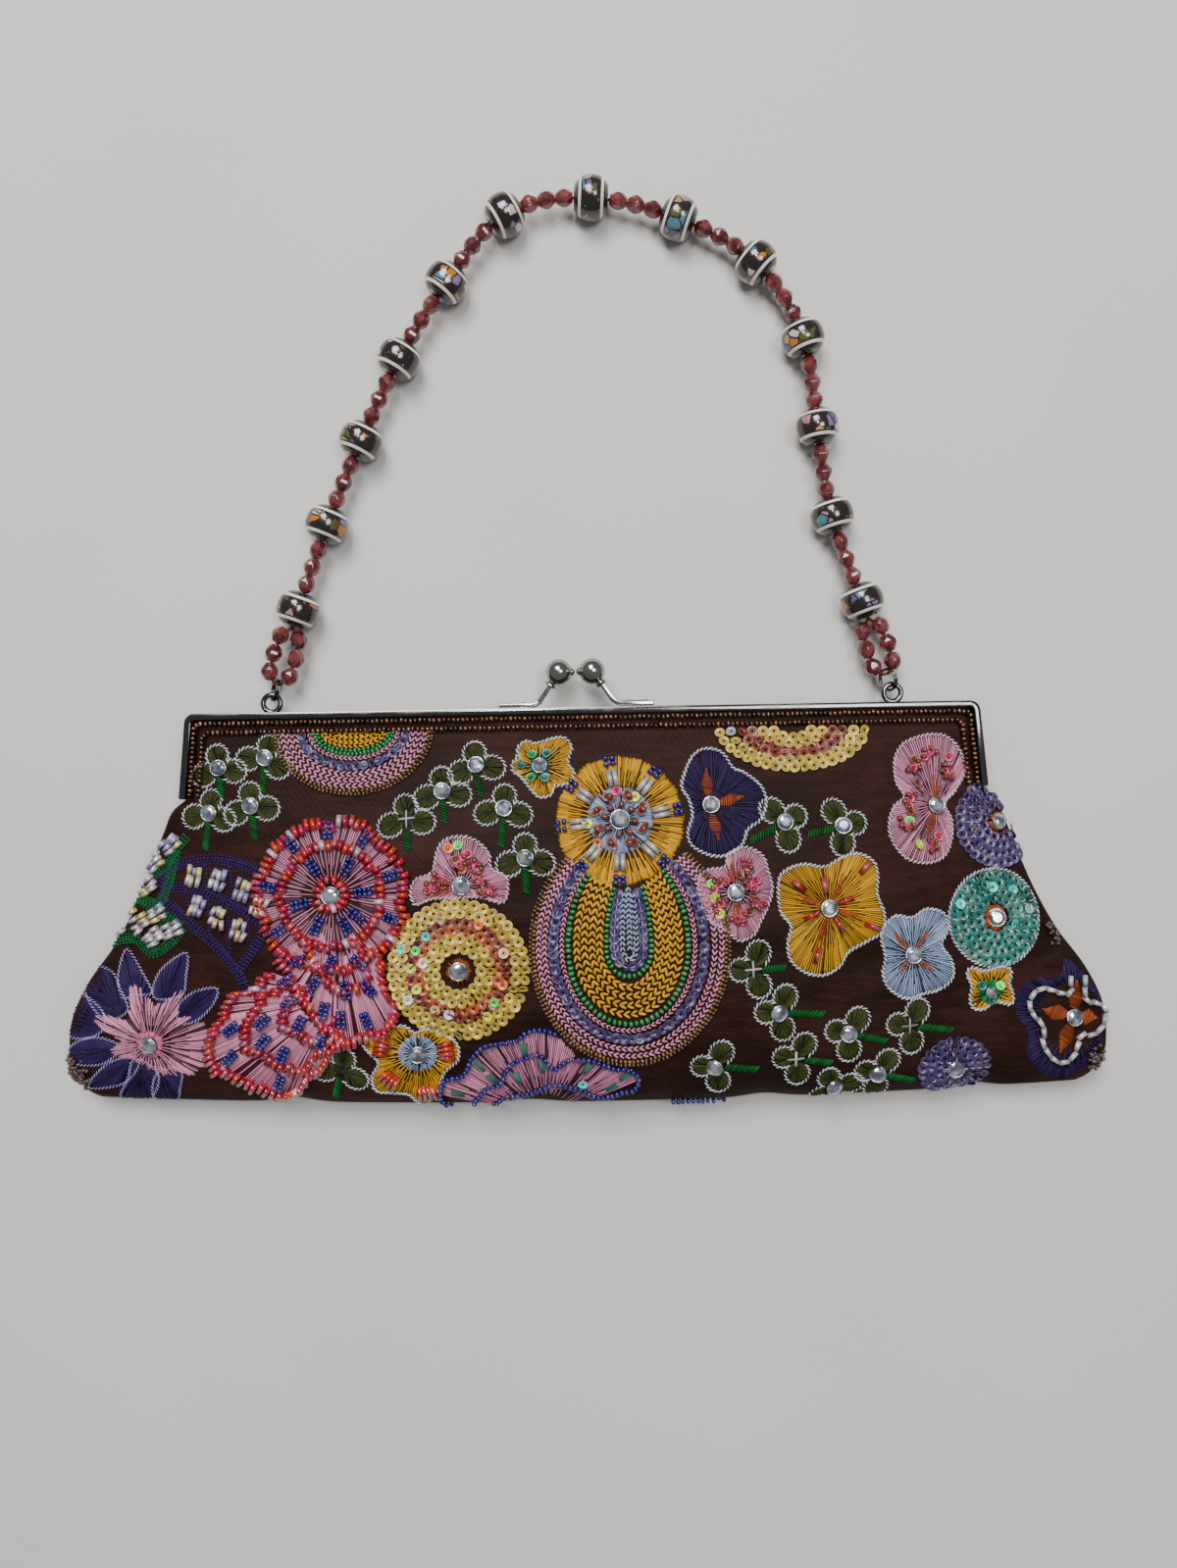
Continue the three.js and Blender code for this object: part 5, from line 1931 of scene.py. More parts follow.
    def stone(
        self, spot: object, size: float = 5.0, lift: float = 0.5, colour: Colour = Dye.SILVER.value
    ) -> None:
        """Set one faceted stone."""
        points, out = self.form.lay(np.atleast_2d(np.asarray(spot, float)), lift)
        turn = self.rng.uniform(0, 6.28)
        lean = out + self.rng.normal(0, 0.05, out.shape)
        self.jewels.copy(
            Shapes.stone(), points, turns_of(np.array([[math.cos(turn), math.sin(turn), 0.0]]), lean), colour,
            size,
        )

    def ring(self, centre: object, radius: float, count: int, turn: float = 0.0) -> Array:
        """Give places round a centre."""
        return polar(centre, radius, turn + np.arange(count) * 360.0 / count)


class Shapes:
    """The small shapes, each modelled once."""

    @staticmethod
    @functools.cache
    def seed() -> Shape:
        """Give the seed bead."""
        return Beads.seed()

    @staticmethod
    @functools.cache
    def strand() -> Shape:
        """Pull a four-sided thread along X, thin at both ends."""
        obj = Bench.start("circle", vertices=4, radius=0.5, fill_type="NGON")
        section = [(0.0, -0.22, 0.0), (0.0, 0.0, 0.3), (0.0, 0.22, 0.0), (0.0, 0.0, -0.1)]
        for vertex, place in zip(obj.data.vertices, section):
            vertex.co = place
        Bench.pick(obj, lambda _: True)
        bpy.ops.mesh.delete(type="ONLY_FACE")
        bpy.ops.mesh.select_all(action="SELECT")
        for step, scale in ((0.08, 2.1), (0.42, 1.08), (0.42, 0.93), (0.08, 0.47)):
            Bench.extrude((step, 0.0, 0.0))
            bpy.ops.transform.resize(value=(1.0, scale, scale))
        bpy.ops.mesh.select_all(action="SELECT")
        bpy.ops.mesh.fill_holes(sides=0)
        return Bench.take(Bench.smooth(Bench.done(obj)))

    @staticmethod
    @functools.cache
    def grain() -> Shape:
        """Shape one turn of a twisted thread, one long and one across."""
        obj = Bench.start("uv_sphere", segments=6, ring_count=4, radius=0.5, rotation=(0.0, math.pi / 2, 0.0))
        return Bench.take(Bench.smooth(obj))

    @staticmethod
    @functools.cache
    def bugle() -> Shape:
        """Shape a tube bead along X with a hole at each end."""
        obj = Bench.start("cylinder", vertices=8, radius=0.5, depth=1.0, rotation=(0.0, math.pi / 2, 0.0))
        Bench.pick(obj, lambda centre, normal: abs(normal.z) > 0.9, "FACE")
        bpy.ops.mesh.inset(thickness=0.2)
        for end in (-1.0, 1.0):
            Bench.pick(
                obj,
                lambda centre, normal: normal.z * end > 0.9 and abs(centre.z) > 0.4 and centre.xy.length < 0.05,
                "FACE",
            )
            bpy.ops.transform.translate(value=(-end * 0.12, 0.0, 0.0))
        Bench.done(obj)
        return Bench.take(Bench.smooth(obj, 50.0))

    @staticmethod
    @functools.cache
    def sequin() -> Shape:
        """Shape a cupped sequin with its hole, one across."""
        obj = Bench.start("circle", vertices=12, radius=0.5, fill_type="NOTHING", location=(0.0, 0.0, 0.05))
        Bench.pick(obj, lambda _: True)
        for drop, scale in ((-0.025, 0.84), (-0.005, 0.27)):
            Bench.extrude((0.0, 0.0, drop))
            bpy.ops.transform.resize(value=(scale, scale, 1.0))
        bpy.ops.object.mode_set(mode="OBJECT")
        Bench.modify(obj, "SOLIDIFY", thickness=0.03, offset=-1.0)
        Bench.done(obj)
        return Bench.take(Bench.smooth(obj, 50.0))

    @staticmethod
    @functools.cache
    def stone() -> Shape:
        """Cut a faceted stone with its table up, one across, on its flat foot."""
        obj = Bench.start("cylinder", vertices=12, radius=0.46, depth=0.1, location=(0.0, 0.0, 0.05))
        Bench.pick(obj, lambda centre, normal: normal.z > 0.9, "FACE")
        for rise, scale, turn in ((0.09, 0.84, 15.0), (0.06, 0.66, 15.0)):
            Bench.extrude((0.0, 0.0, rise))
            bpy.ops.transform.resize(value=(scale, scale, 1.0))
            bpy.ops.transform.rotate(
                value=math.radians(turn), orient_axis="Z", center_override=(0.0, 0.0, 0.0)
            )
        Bench.done(obj)
        Bench.modify(obj, "TRIANGULATE", quad_method="SHORTEST_DIAGONAL")
        rim = Bench.start(
            "torus", major_segments=18, minor_segments=6, major_radius=0.47, minor_radius=0.05,
            location=(0.0, 0.0, 0.08),
        )
        Bench.smooth(rim)
        return Bench.take(Bench.join([obj, rim]))


@dataclass
class Clover:
    """An olive clover with a frosty cord, a bright stem and a stone."""

    centre: tuple[float, float]
    stem_turn: float
    stem_end: float
    stone: bool = True
    crossed: bool = False
    lean: float = 0.0
    top: float = 2.9
    side_long: float = 3.45
    side_wide: float = 3.05

    def sew(self, needle: Needle) -> None:
        """Sew the stem, the petals, the cord and the stone."""
        centre = np.array(self.centre)
        way = polar((0, 0), 1.0, self.stem_turn)
        across = np.array([-way[1], way[0]])
        if self.stem_end > 0:
            far = np.arange(3.2, self.stem_end, 0.8)[:, None]
            slant = way * 0.6
            needle.stitch(
                centre + way * far - across * 1.1 - slant, centre + way * far + across * 1.1 + slant,
                Dye.STEM.value, 0.6, 0.4, 1.0, 0.6,
            )
        head = self.stem_turn + self.lean
        petals = [(polar((0, 0), 3.6, head + 180.0), self.top, self.top, head + 180.0)]
        for hand in (-1, 1):
            petals.append(
                (polar((0, 0), 4.75, head + hand * 72.0), self.side_long, self.side_wide, head + hand * 72.0)
            )
        for offset, long, wide, turn in petals:
            middle = centre + offset
            base = centre + offset * 0.32
            rim = oval(middle, long, wide, turn, -150, 150, 36)
            needle.fan(base, rim, Dye.OLIVE.value, 0.4, 0.52, False, 0.2, 0.15)
            needle.twist(
                oval(middle, long + 0.4, wide + 0.4, turn, -132, 132, 40), Dye.FROST.value, 0.78, False
            )
        if self.stone:
            needle.stone(centre, 4.9)
        else:
            needle.fan(centre, oval(centre, 2.3, 2.3, 0), dye(40, 40, 34), 0.2, 0.6)
            if self.crossed:
                for turn in (5.0, 92.0):
                    ends = polar(centre, 2.6, np.array([turn, turn + 180.0]))
                    needle.stitch(ends[:1], ends[1:], dye(168, 168, 160), 0.7, 0.5)


@dataclass
class Blossom:
    """A flower of radiating satin stitch inside a cord, with its rays, sequins and stone."""

    centre: tuple[float, float]
    rim: tuple[tuple[float, float], ...]
    petals: Colour
    cord: Colour = Dye.FROST.value
    inner: float = 1.6
    stone: float = 5.0
    rays: tuple[tuple[tuple[float, float], tuple[float, float]], ...] = ()
    ray_dye: Colour = Dye.RUST.value
    ray_width: float = 3.0
    sequins: tuple[tuple[float, float, Colour], ...] = ()
    swirls: tuple[tuple[float, float, float], ...] = ()
    bugles: tuple[tuple[float, float], ...] = ()
    bugle_dye: Colour = Dye.SCARLET.value
    bugle_long: float = 4.6
    bundle: int = 1
    heart: float = 0.0
    heart_dye: Colour = Dye.SKY.value
    missed: float = 0.02
    corded: bool = True

    def sew(self, needle: Needle) -> None:
        """Sew the petals and what lies on them."""
        centre = np.array(self.centre)
        line = curve_through(self.rim)
        needle.fan(centre, line, self.petals, max(self.inner, self.heart * 0.8), missed=self.missed)
        if self.heart:
            needle.fan(centre, oval(centre, self.heart, self.heart, 0), self.heart_dye, 1.2, lift=0.3)
        if self.corded:
            needle.twist(line, self.cord)
        for start, end in self.rays:
            start, end = np.array(start), np.array(end)
            way = (end - start) / np.linalg.norm(end - start)
            across = np.array([-way[1], way[0]])
            at = np.linspace(0.0, 1.0, int(np.linalg.norm(end - start) / 0.58))[:, None]
            half = self.ray_width / 2 * np.minimum(0.62 + at * 1.4, (1.0 - at) * 1.9 + 0.12)
            spine = start + (end - start) * at
            needle.stitch(
                spine - across * half - way * 0.4, spine + across * half + way * 0.4, self.ray_dye, 0.5, 0.45,
                1.0, 0.5,
            )
        if self.bugles:
            spots = np.array(self.bugles)
            ways = unit(spots - centre)
            side = np.stack([-ways[:, 1], ways[:, 0]], axis=-1)
            for shift in (np.arange(self.bundle) - (self.bundle - 1) / 2) * 1.3:
                start = spots + side * shift * 0.8 - ways * self.bugle_long / 2
                end = spots + side * shift * 1.35 + ways * self.bugle_long / 2
                needle.bugle(start, end, self.bugle_dye, 1.4, 0.8)
        for x, y, colour in self.sequins:
            needle.sequins([(x, y)], colour, 2.9, 0.8, lean=6.0)
            needle.string([(x - 0.1, y), (x + 0.1, y)], colour, 1.2, 1.2, lift=1.25)
        for x, y, turn in self.swirls:
            curl = polar((x, y), np.linspace(2.6, 1.4, 12), turn + np.linspace(0.0, 230.0, 12))
            needle.string(curl, Dye.BROWN.value, 2.0, 1.9, lift=0.9)
            needle.sequins(polar((x, y), 1.2, turn + np.array([60.0, 200.0])), Dye.MAGENTA.value, 2.5, 1.0)
        if self.stone:
            needle.stone(centre, self.stone, 0.7)


@dataclass
class SequinRound:
    """A round of sequins in rings, with a rust middle and a stone."""

    centre: tuple[float, float]
    rings: tuple[tuple[float, Colour], ...]
    stone: float = 5.4
    heart: float = 3.7
    spoke_dye: Colour | None = None
    cord_radius: float = 0.0
    sparks: tuple[tuple[float, float, Colour], ...] = ()
    start: float = 0.0
    end: float = 360.0
    squash: float = 1.0

    def sew(self, needle: Needle) -> None:
        """Sew the rings of sequins from the outside in."""
        whole = self.end - self.start > 359
        for k, (radius, colour) in enumerate(self.rings):
            line = oval(self.centre, radius, radius * self.squash, 0, self.start, self.end, 60)
            needle.sequin_row(
                line, colour, 3.3, 2.75 if self.spoke_dye is None else 2.3, whole, 0.35 + 0.1 * k
            )
            if self.spoke_dye is not None:
                spots = spaced(line, 4.4, whole)
                ways = unit(spots - np.array(self.centre))
                needle.stitch(
                    spots - ways * 0.6, spots + ways * 0.9, self.spoke_dye, 0.42, 1.0 + 0.1 * k, 1.0, 0.3
                )
        if self.cord_radius:
            needle.twist(
                oval(
                    self.centre, self.cord_radius, self.cord_radius * self.squash, 0, self.start, self.end, 80
                ),
                Dye.FROST.value, 0.9, whole,
            )
        for x, y, colour in self.sparks:
            needle.sequins([(x, y)], colour, 3.0, 1.0, lean=4.0)
        if self.heart:
            needle.fan(
                self.centre, oval(self.centre, self.heart, self.heart, 0), Dye.RUST.value, 1.4, lift=0.9
            )
        if self.stone:
            needle.stone(self.centre, self.stone, 0.8)


@dataclass
class RainbowArc:
    """Half rounds of chain stitch, beads and sequins that hang from the border."""

    centre: tuple[float, float] = (-67.2, -6.0)

    def arc(self, long: float, wide: float) -> Array:
        """Give one half round."""
        return oval(self.centre, long, wide, 0, 180, 360, 50)

    def sew(self, needle: Needle) -> None:
        """Sew the rows from the outside in."""
        needle.string(self.arc(23.2, 18.5), Dye.BRONZE.value, 1.3, 1.2, lift=0.4)
        needle.string(self.arc(22.2, 17.5), Dye.GOLD_BEAD.value, 1.25, 1.3, lift=0.45)
        for long, wide in ((20.9, 16.1), (19.1, 14.4), (17.4, 12.7)):
            needle.chain(self.arc(long, wide), Dye.ROSE.value, 1.75, 1.8)
        line = self.arc(15.4, 10.4)
        needle.sequin_row(line, Dye.LILAC.value, 3.0, 2.3, False, 0.5)
        self.dashes(needle, line, 3.8)
        needle.chain(self.arc(13.0, 8.0), Dye.ROSE.value, 1.4, 1.4)
        needle.string(self.arc(11.7, 6.9), Dye.EMERALD.value, 1.5, 1.2)
        needle.string(self.arc(10.6, 5.8), Dye.EMERALD.value, 1.4, 1.3, lift=0.5)
        for long, wide in ((9.0, 4.2), (6.8, 2.6), (4.4, 1.2)):
            needle.chain(self.arc(long, wide), Dye.GOLD.value, 2.0, 1.5)

    @staticmethod
    def dashes(needle: Needle, line: Array, pitch: float) -> None:
        """Sew the pale stitches that hold a row of sequins."""
        spots = spaced(line, pitch, False)
        ways = unit(np.gradient(spots, axis=0))
        needle.stitch(spots - ways * 0.9, spots + ways * 0.9, Dye.PALE_LILAC.value, 0.36, 1.0, 1.0, 0.3)


@dataclass
class Teardrop:
    """The large drop of nested chain stitch, beads and sequins under the gold wheel."""

    left: float = -15.6
    right: float = 40.5
    bottom: float = -103.3
    widest: float = -69.0
    over: float = 32.3
    wheel: tuple[float, float] = (10.3, -33.1)
    wheel_radius: float = 17.2

    def row(self, left: float, right: float, bottom: float) -> Array:
        """Give one nested line.

        Args:
            left: Its inset on the left.
            right: Its inset on the right.
            bottom: Its inset at the bottom.

        Returns:
            The line, from the wheel down, round and up again.
        """
        low, high = self.left + left, self.right - right
        middle, half = (low + high) / 2, (high - low) / 2
        at = np.radians(np.linspace(-235.0, 55.0, 110))
        tall = np.where(
            np.sin(at) > 0, self.over * (0.55 + 0.45 * half / 28.0), self.widest - self.bottom - bottom
        )
        line = np.stack([middle + half * np.cos(at), self.widest + tall * np.sin(at)], axis=-1)
        return line[np.linalg.norm(line - np.array(self.wheel), axis=1) > self.wheel_radius]

    def sew(self, needle: Needle) -> None:
        """Sew the rows from the outside in."""
        needle.string(self.row(-0.3, -0.3, -0.3), Dye.BRONZE.value, 1.3, 1.25, lift=0.4)
        needle.string(self.row(0.7, 0.7, 0.8), Dye.GOLD_BEAD.value, 1.3, 1.25, lift=0.5)
        needle.chain(self.row(2.1, 2.0, 2.4), Dye.ROSE.value, 1.7, 1.7)
        needle.chain(self.row(3.8, 4.0, 4.6), Dye.ROSE.value, 1.7, 1.7)
        line = self.row(6.3, 7.0, 7.6)
        needle.sequin_row(line, Dye.LILAC.value, 3.3, 2.3, False, 0.45)
        RainbowArc.dashes(needle, line, 4.2)
        needle.chain(self.row(8.7, 9.6, 10.2), Dye.ROSE.value, 1.4, 1.5)
        needle.string(self.row(10.5, 11.6, 12.3), Dye.EMERALD.value, 1.85, 1.6)
        for left, right, bottom in (
            (12.9, 13.9, 15.0), (15.1, 16.0, 17.6), (17.3, 18.0, 20.2), (19.4, 20.0, 22.9)
        ):
            needle.chain(self.row(left, right, bottom), Dye.GOLD.value, 2.25, 2.1)
        needle.string(self.row(21.3, 22.0, 26.0), Dye.EMERALD.value, 1.7, 1.5)
        line = self.row(23.6, 24.2, 28.6)
        needle.sequin_row(line, Dye.LILAC.value, 3.0, 2.2, False, 0.4)
        RainbowArc.dashes(needle, line, 2.2)
        needle.chain(self.row(25.9, 26.3, 30.8), Dye.SKY.value, 1.8, 1.5)
        needle.chain([(12.2, -52.0), (12.4, -70.0)], Dye.SKY.value, 1.8, 1.5, lift=0.5)


@dataclass
class GoldWheel:
    """The round gold flower with bugle spokes."""

    centre: tuple[float, float] = (10.3, -33.1)
    radius: float = 18.4
    disc: float = 9.6
    spokes: tuple[float, ...] = (99.0, 52.0, 9.0, -44.5, -91.7, -131.0, 185.7, 144.7)

    def sew(self, needle: Needle) -> None:
        """Sew the petals, the pale disc, the spokes and the middle."""
        centre = np.array(self.centre)
        at = np.linspace(0, 360, 160, endpoint=False)
        rim = polar(centre, self.radius * (1.0 + 0.012 * np.sin(np.radians(at * 16))), at)
        needle.fan(centre, rim, Dye.AMBER.value, self.disc - 0.6, 0.62, missed=0.12, ragged=0.4, lift=0.06)
        needle.fan(centre, rim, Dye.GOLD.value, self.disc - 0.6, 0.5, missed=0.12, ragged=0.4, lift=0.26)
        needle.fan(centre, oval(centre, self.disc, self.disc, 0), Dye.SKY.value, 2.0, 0.5, lift=0.3)
        for turn in self.spokes:
            way = polar((0, 0), 1.0, turn)
            side = np.array([-way[1], way[0]])
            for shift in (-0.82, 0.82):
                needle.bugle(
                    centre + way * 9.6 + side * shift, centre + way * 14.5 + side * shift, Dye.CLEAR.value,
                    1.5, 0.85,
                )
                needle.string(
                    [centre + way * 15.4 + side * shift * 1.2, centre + way * 18.4 + side * shift * 1.2],
                    Dye.NAVY.value, 2.1, 1.45, lift=0.95,
                )
        for turn in np.arange(8) * 45.0 + 20.0:
            needle.sequins(
                [polar(centre, 6.6, turn), polar(centre, 7.6, turn + 10)], Dye.BROWN.value, 2.7, 0.9
            )
            needle.string(
                [polar(centre, 6.2, turn), polar(centre, 8.0, turn + 4)], Dye.BROWN.value, 2.3, 1.8, lift=1.2
            )
            needle.string(
                [polar(centre, 4.4, turn + 4), polar(centre, 4.4, turn + 30)], Dye.BROWN.value, 2.3, 2.0,
                lift=1.0,
            )
        for x, y, colour in (
            (4.5, 6.4, Dye.NEON_YELLOW), (-9.4, -1.2, Dye.NEON_YELLOW), (-6.5, -6.4, Dye.ORANGE),
            (-1.0, 8.1, Dye.MAGENTA),
        ):
            needle.sequins([centre + np.array([x, y])], colour.value, 3.0, 1.0, lean=3.0)
        needle.stone(centre, 5.8, 0.9)


@dataclass
class RoseWheel:
    """The round rose flower edged with red bugles, and the two fans that trail from it."""

    centre: tuple[float, float] = (-72.5, -53.3)
    radius: float = 20.2
    inner_navy: tuple[float, ...] = (122, 59, 6, -38, -64, -115, 194)
    outer_navy: tuple[float, ...] = (94, 58, 18, -21, 128, 172, 213)
    first_fan: tuple[tuple[float, float], ...] = (
        (-88.0, -68.5), (-84.5, -78.0), (-80.5, -84.5), (-75.5, -91.0), (-69.0, -95.5), (-64.9, -94.1),
        (-58.8, -92.8),
        (-56.0, -89.4), (-55.1, -84.6), (-57.6, -80.5), (-58.1, -75.2), (-59.0, -69.0),
    )
    second_fan: tuple[tuple[float, float], ...] = (
        (-90.5, -75.1), (-96.1, -80.5), (-101.7, -81.8), (-104.7, -87.3), (-108.5, -92.8), (-110.0, -97.7),
        (-109.6, -103.5),
        (-104.3, -105.7), (-99.9, -108.7), (-94.9, -111.2), (-90.4, -113.3), (-85.2, -111.2), (-81.6, -106.4),
        (-77.1, -103.4),
        (-74.0, -98.3), (-69.0, -95.5),
    )
    navy: tuple[tuple[float, float], ...] = (
        (-102.8, -91.4), (-103.9, -100.2), (-93.5, -95.2), (-93.4, -89.3), (-82.5, -89.9), (-76.4, -94.8),
        (-88.0, -99.0),
        (-90.1, -107.9), (-85.3, -83.5), (-85.8, -77.4), (-77.7, -78.4), (-75.2, -85.9), (-82.2, -71.8),
        (-72.7, -72.5),
        (-64.6, -72.2), (-68.6, -80.1), (-62.0, -79.5), (-70.3, -88.6), (-63.0, -89.0),
    )

    def edge(
        self, needle: Needle, origin: Array, line: Array, closed: bool, pitch: float, long: float = 3.3
    ) -> None:
        """Set red bugles side by side along a line, each pointing away from an origin."""
        spots = spaced(line, pitch, closed)
        ways = unit(spots - origin)
        spots = spots + ways * needle.rng.normal(0, 0.4, (len(spots), 1))
        ways = unit(ways + needle.rng.normal(0, 0.12, ways.shape))
        mixed = needle.rng.random(len(spots))
        for low, high, colour in (
            (0.0, 0.68, Dye.SCARLET), (0.68, 0.85, Dye.CORAL), (0.85, 0.94, Dye.MAGENTA),
            (0.94, 1.0, Dye.PINK_CLEAR),
        ):
            keep = (mixed >= low) & (mixed < high)
            needle.bugle(
                spots[keep] - ways[keep] * long / 2, spots[keep] + ways[keep] * long / 2, colour.value, 1.65,
                0.85,
            )

    def trail(
        self, needle: Needle, origin: tuple[float, float], rim: object, shares: tuple[float, ...]
    ) -> None:
        """Sew one trailing fan in tiers.

        Args:
            needle: The needle.
            origin: Where its stitches come from.
            rim: Its outer line.
            shares: Where each tier ends, as a share of the way from the origin.
        """
        origin = np.array(origin)
        line = curve_through(rim, closed=False)
        last = 0.25
        for share in shares:
            ends = spaced(origin + (line - origin) * share, 0.74)
            starts = origin + (ends - origin) * (last / share)
            keep = needle.rng.random(len(ends)) > 0.14
            # Dark wine stitches under the rose ones, painted shade in the gaps between them.
            needle.stitch(starts, ends, dye(66, 22, 34), 1.0, 0.05)
            needle.stitch(starts[keep], ends[keep], Dye.ROSE.value, 0.62, 0.25)
            self.edge(needle, origin, origin + (line - origin) * share, False, 1.85)
            last = share * 0.96

    def sew(self, needle: Needle) -> None:
        """Sew the fans, the wheel and its bead groups."""
        centre = np.array(self.centre)
        self.trail(needle, (-71.0, -81.8), self.second_fan, (0.42, 0.72, 1.0))
        self.trail(needle, (-70.5, -62.0), self.first_fan, (0.56, 1.0))
        at = np.linspace(0, 360, 180, endpoint=False)
        rim = polar(centre, self.radius + 1.2 * np.abs(np.sin(np.radians(at * 3.5 + 20))), at)
        needle.fan(centre, rim, Dye.ROSE.value, 4.6, lift=0.3, ragged=0.8, missed=0.12)
        self.edge(needle, centre, rim, True, 1.85)
        self.edge(needle, centre, oval(centre, 14.6, 14.6, 0), True, 1.85, 2.8)
        self.edge(needle, centre, oval(centre, 4.3, 4.3, 0), True, 1.9, 2.6)
        for turns, low, high in ((self.inner_navy, 7.6, 11.2), (self.outer_navy, 16.6, 20.6)):
            for turn in turns:
                self.group(needle, polar(centre, (low + high) / 2, turn), centre)
        for spot in self.navy:
            self.group(needle, np.array(spot), np.array((-70.5, -68.0)))
        needle.stone(centre, 5.5, 0.9)

    @staticmethod
    def group(needle: Needle, spot: Array, origin: Array) -> None:
        """Sew two short rows of navy beads that point away from an origin."""
        way = (spot - origin) / np.linalg.norm(spot - origin)
        side = np.array([-way[1], way[0]]) * 0.74
        for hand in (-1, 1):
            needle.string(
                [spot - way * 2.7 + side * hand, spot + way * 2.7 + side * hand], Dye.NAVY.value, 1.75, 1.35,
                lift=1.15,
            )


@dataclass
class CrochetLeaf:
    """A leaf of crocheted edges with bars and clear bugles between them."""

    edges: tuple[tuple[tuple[float, float], ...], ...]
    bars: tuple[tuple[tuple[float, float], tuple[float, float]], ...]
    bugles: tuple[tuple[float, float, float], ...]
    colour: Colour
    width: float = 2.6

    def sew(self, needle: Needle) -> None:
        """Sew the edges in three rows, the bars and the bugles."""
        for edge in self.edges:
            line = curve_through(edge, closed=False)
            ways = unit(np.gradient(line, axis=0))
            side = np.stack([-ways[:, 1], ways[:, 0]], axis=-1)
            for shift in (-0.34, 0.34):
                needle.chain(
                    line + side * shift * self.width, self.colour, self.width * 0.62, 1.15, lift=0.35
                )
            teeth = spaced(line, 1.1)
            ways = unit(np.gradient(teeth, axis=0))
            side = np.stack([-ways[:, 1], ways[:, 0]], axis=-1)
            needle.stitch(
                teeth - side * self.width * 0.55, teeth + side * self.width * 0.62, self.colour, 0.7, 0.3
            )
        for start, end in self.bars:
            needle.chain([start, end], self.colour, 1.3, 1.1, lift=0.35)
        for x, y, turn in self.bugles:
            way = polar((0, 0), 1.0, turn)
            side = np.array([-way[1], way[0]])
            for shift in (-1.6, 0.0, 1.6):
                for far in (-1.5, 1.5):
                    middle = np.array((x, y)) + way * far + side * shift + needle.rng.normal(0, 0.22, 2)
                    tilted = way + needle.rng.normal(0, 0.12, 2)
                    colour = (
                        Dye.CLEAR, Dye.PINK_CLEAR, Dye.WHITE, Dye.PALE_STRAW, Dye.PALE_LILAC
                    )[int(needle.rng.integers(5))]
                    needle.bugle(middle - tilted * 1.45, middle + tilted * 1.45, colour.value, 1.5, 0.85)


@dataclass
class StarFlower:
    """The flower with pointed violet petals behind ragged rose ones."""

    centre: tuple[float, float] = (-128.0, -96.6)
    violet: tuple[tuple[tuple[float, float], ...], ...] = (
        ((-135.4, -69.1), (-129.8, -75.5), (-126.8, -81.3), (-132.5, -82.0), (-136.0, -83.0),
         (-137.8, -77.0)),
        ((-116.0, -69.7), (-116.0, -76.5), (-117.5, -81.8), (-125.2, -83.1), (-126.4, -80.0),
         (-123.4, -74.2)),
        ((-106.7, -79.8), (-108.0, -84.4), (-113.0, -89.1), (-118.3, -90.0), (-118.6, -84.9),
         (-113.5, -80.8)),
        ((-149.0, -74.6), (-140.4, -75.4), (-137.0, -80.3), (-134.6, -86.7), (-141.9, -89.4),
         (-148.6, -82.5)),
        ((-156.7, -89.6), (-153.1, -82.8), (-148.0, -83.3), (-142.4, -87.6), (-142.8, -92.6), (-147.8, -95.2),
         (-154.6, -95.0)),
        ((-155.5, -101.2), (-152.5, -97.1), (-145.0, -94.9), (-138.0, -96.9), (-139.6, -100.5),
         (-144.6, -103.2), (-151.8, -103.4)),
        ((-149.0, -110.4), (-143.8, -104.1), (-137.1, -100.9), (-132.0, -101.8), (-134.4, -106.2),
         (-139.6, -109.6)),
        ((-139.5, -114.0), (-136.0, -107.1), (-133.1, -101.0), (-126.4, -105.6), (-130.4, -113.7)),
        ((-129.3, -113.6), (-126.6, -105.3), (-119.2, -104.2), (-120.6, -110.3), (-123.0, -114.6)),
    )
    rose: tuple[tuple[float, float], ...] = (
        (-132.5, -78.7), (-127.9, -82.4), (-125.4, -84.4), (-117.9, -80.9), (-117.9, -84.1), (-118.8, -88.3),
        (-114.7, -88.3),
        (-109.4, -92.0), (-111.8, -97.7), (-110.9, -102.2), (-116.2, -105.9), (-119.7, -105.0),
        (-123.7, -106.2), (-127.6, -104.7),
        (-130.0, -103.7), (-133.9, -101.6), (-137.4, -100.9), (-140.9, -99.2), (-137.6, -96.4),
        (-139.7, -93.9), (-143.4, -92.4),
        (-145.6, -89.3), (-141.9, -88.0), (-135.6, -89.1), (-133.9, -85.2), (-134.0, -81.4),
    )

    def sew(self, needle: Needle) -> None:
        """Sew the violet petals, then the rose ones and the middle."""
        centre = np.array(self.centre)
        for petal in self.violet:
            outline = np.array(petal)
            base = outline.mean(0) + (centre - outline.mean(0)) * 0.42
            line = curve_through(outline)
            needle.fan(base, line, Dye.VIOLET.value, 0.3, 0.6, lift=0.25, ragged=0.1, missed=0.1)
            needle.twist(line, Dye.PALE_LILAC.value, 0.55, True, 0.35, 1.15)
        rim = curve_through(self.rose)
        needle.fan(centre, rim, Dye.ROSE.value, 3.2, 0.66, lift=0.55, ragged=1.0, missed=0.2, width=0.54)
        needle.fan(centre, oval(centre, 4.2, 4.2, 0), Dye.DEEP_ROSE.value, 2.0, 0.5, lift=0.8, ragged=0.6)
        needle.stone(centre, 5.2, 1.0, Dye.SILVER.value)


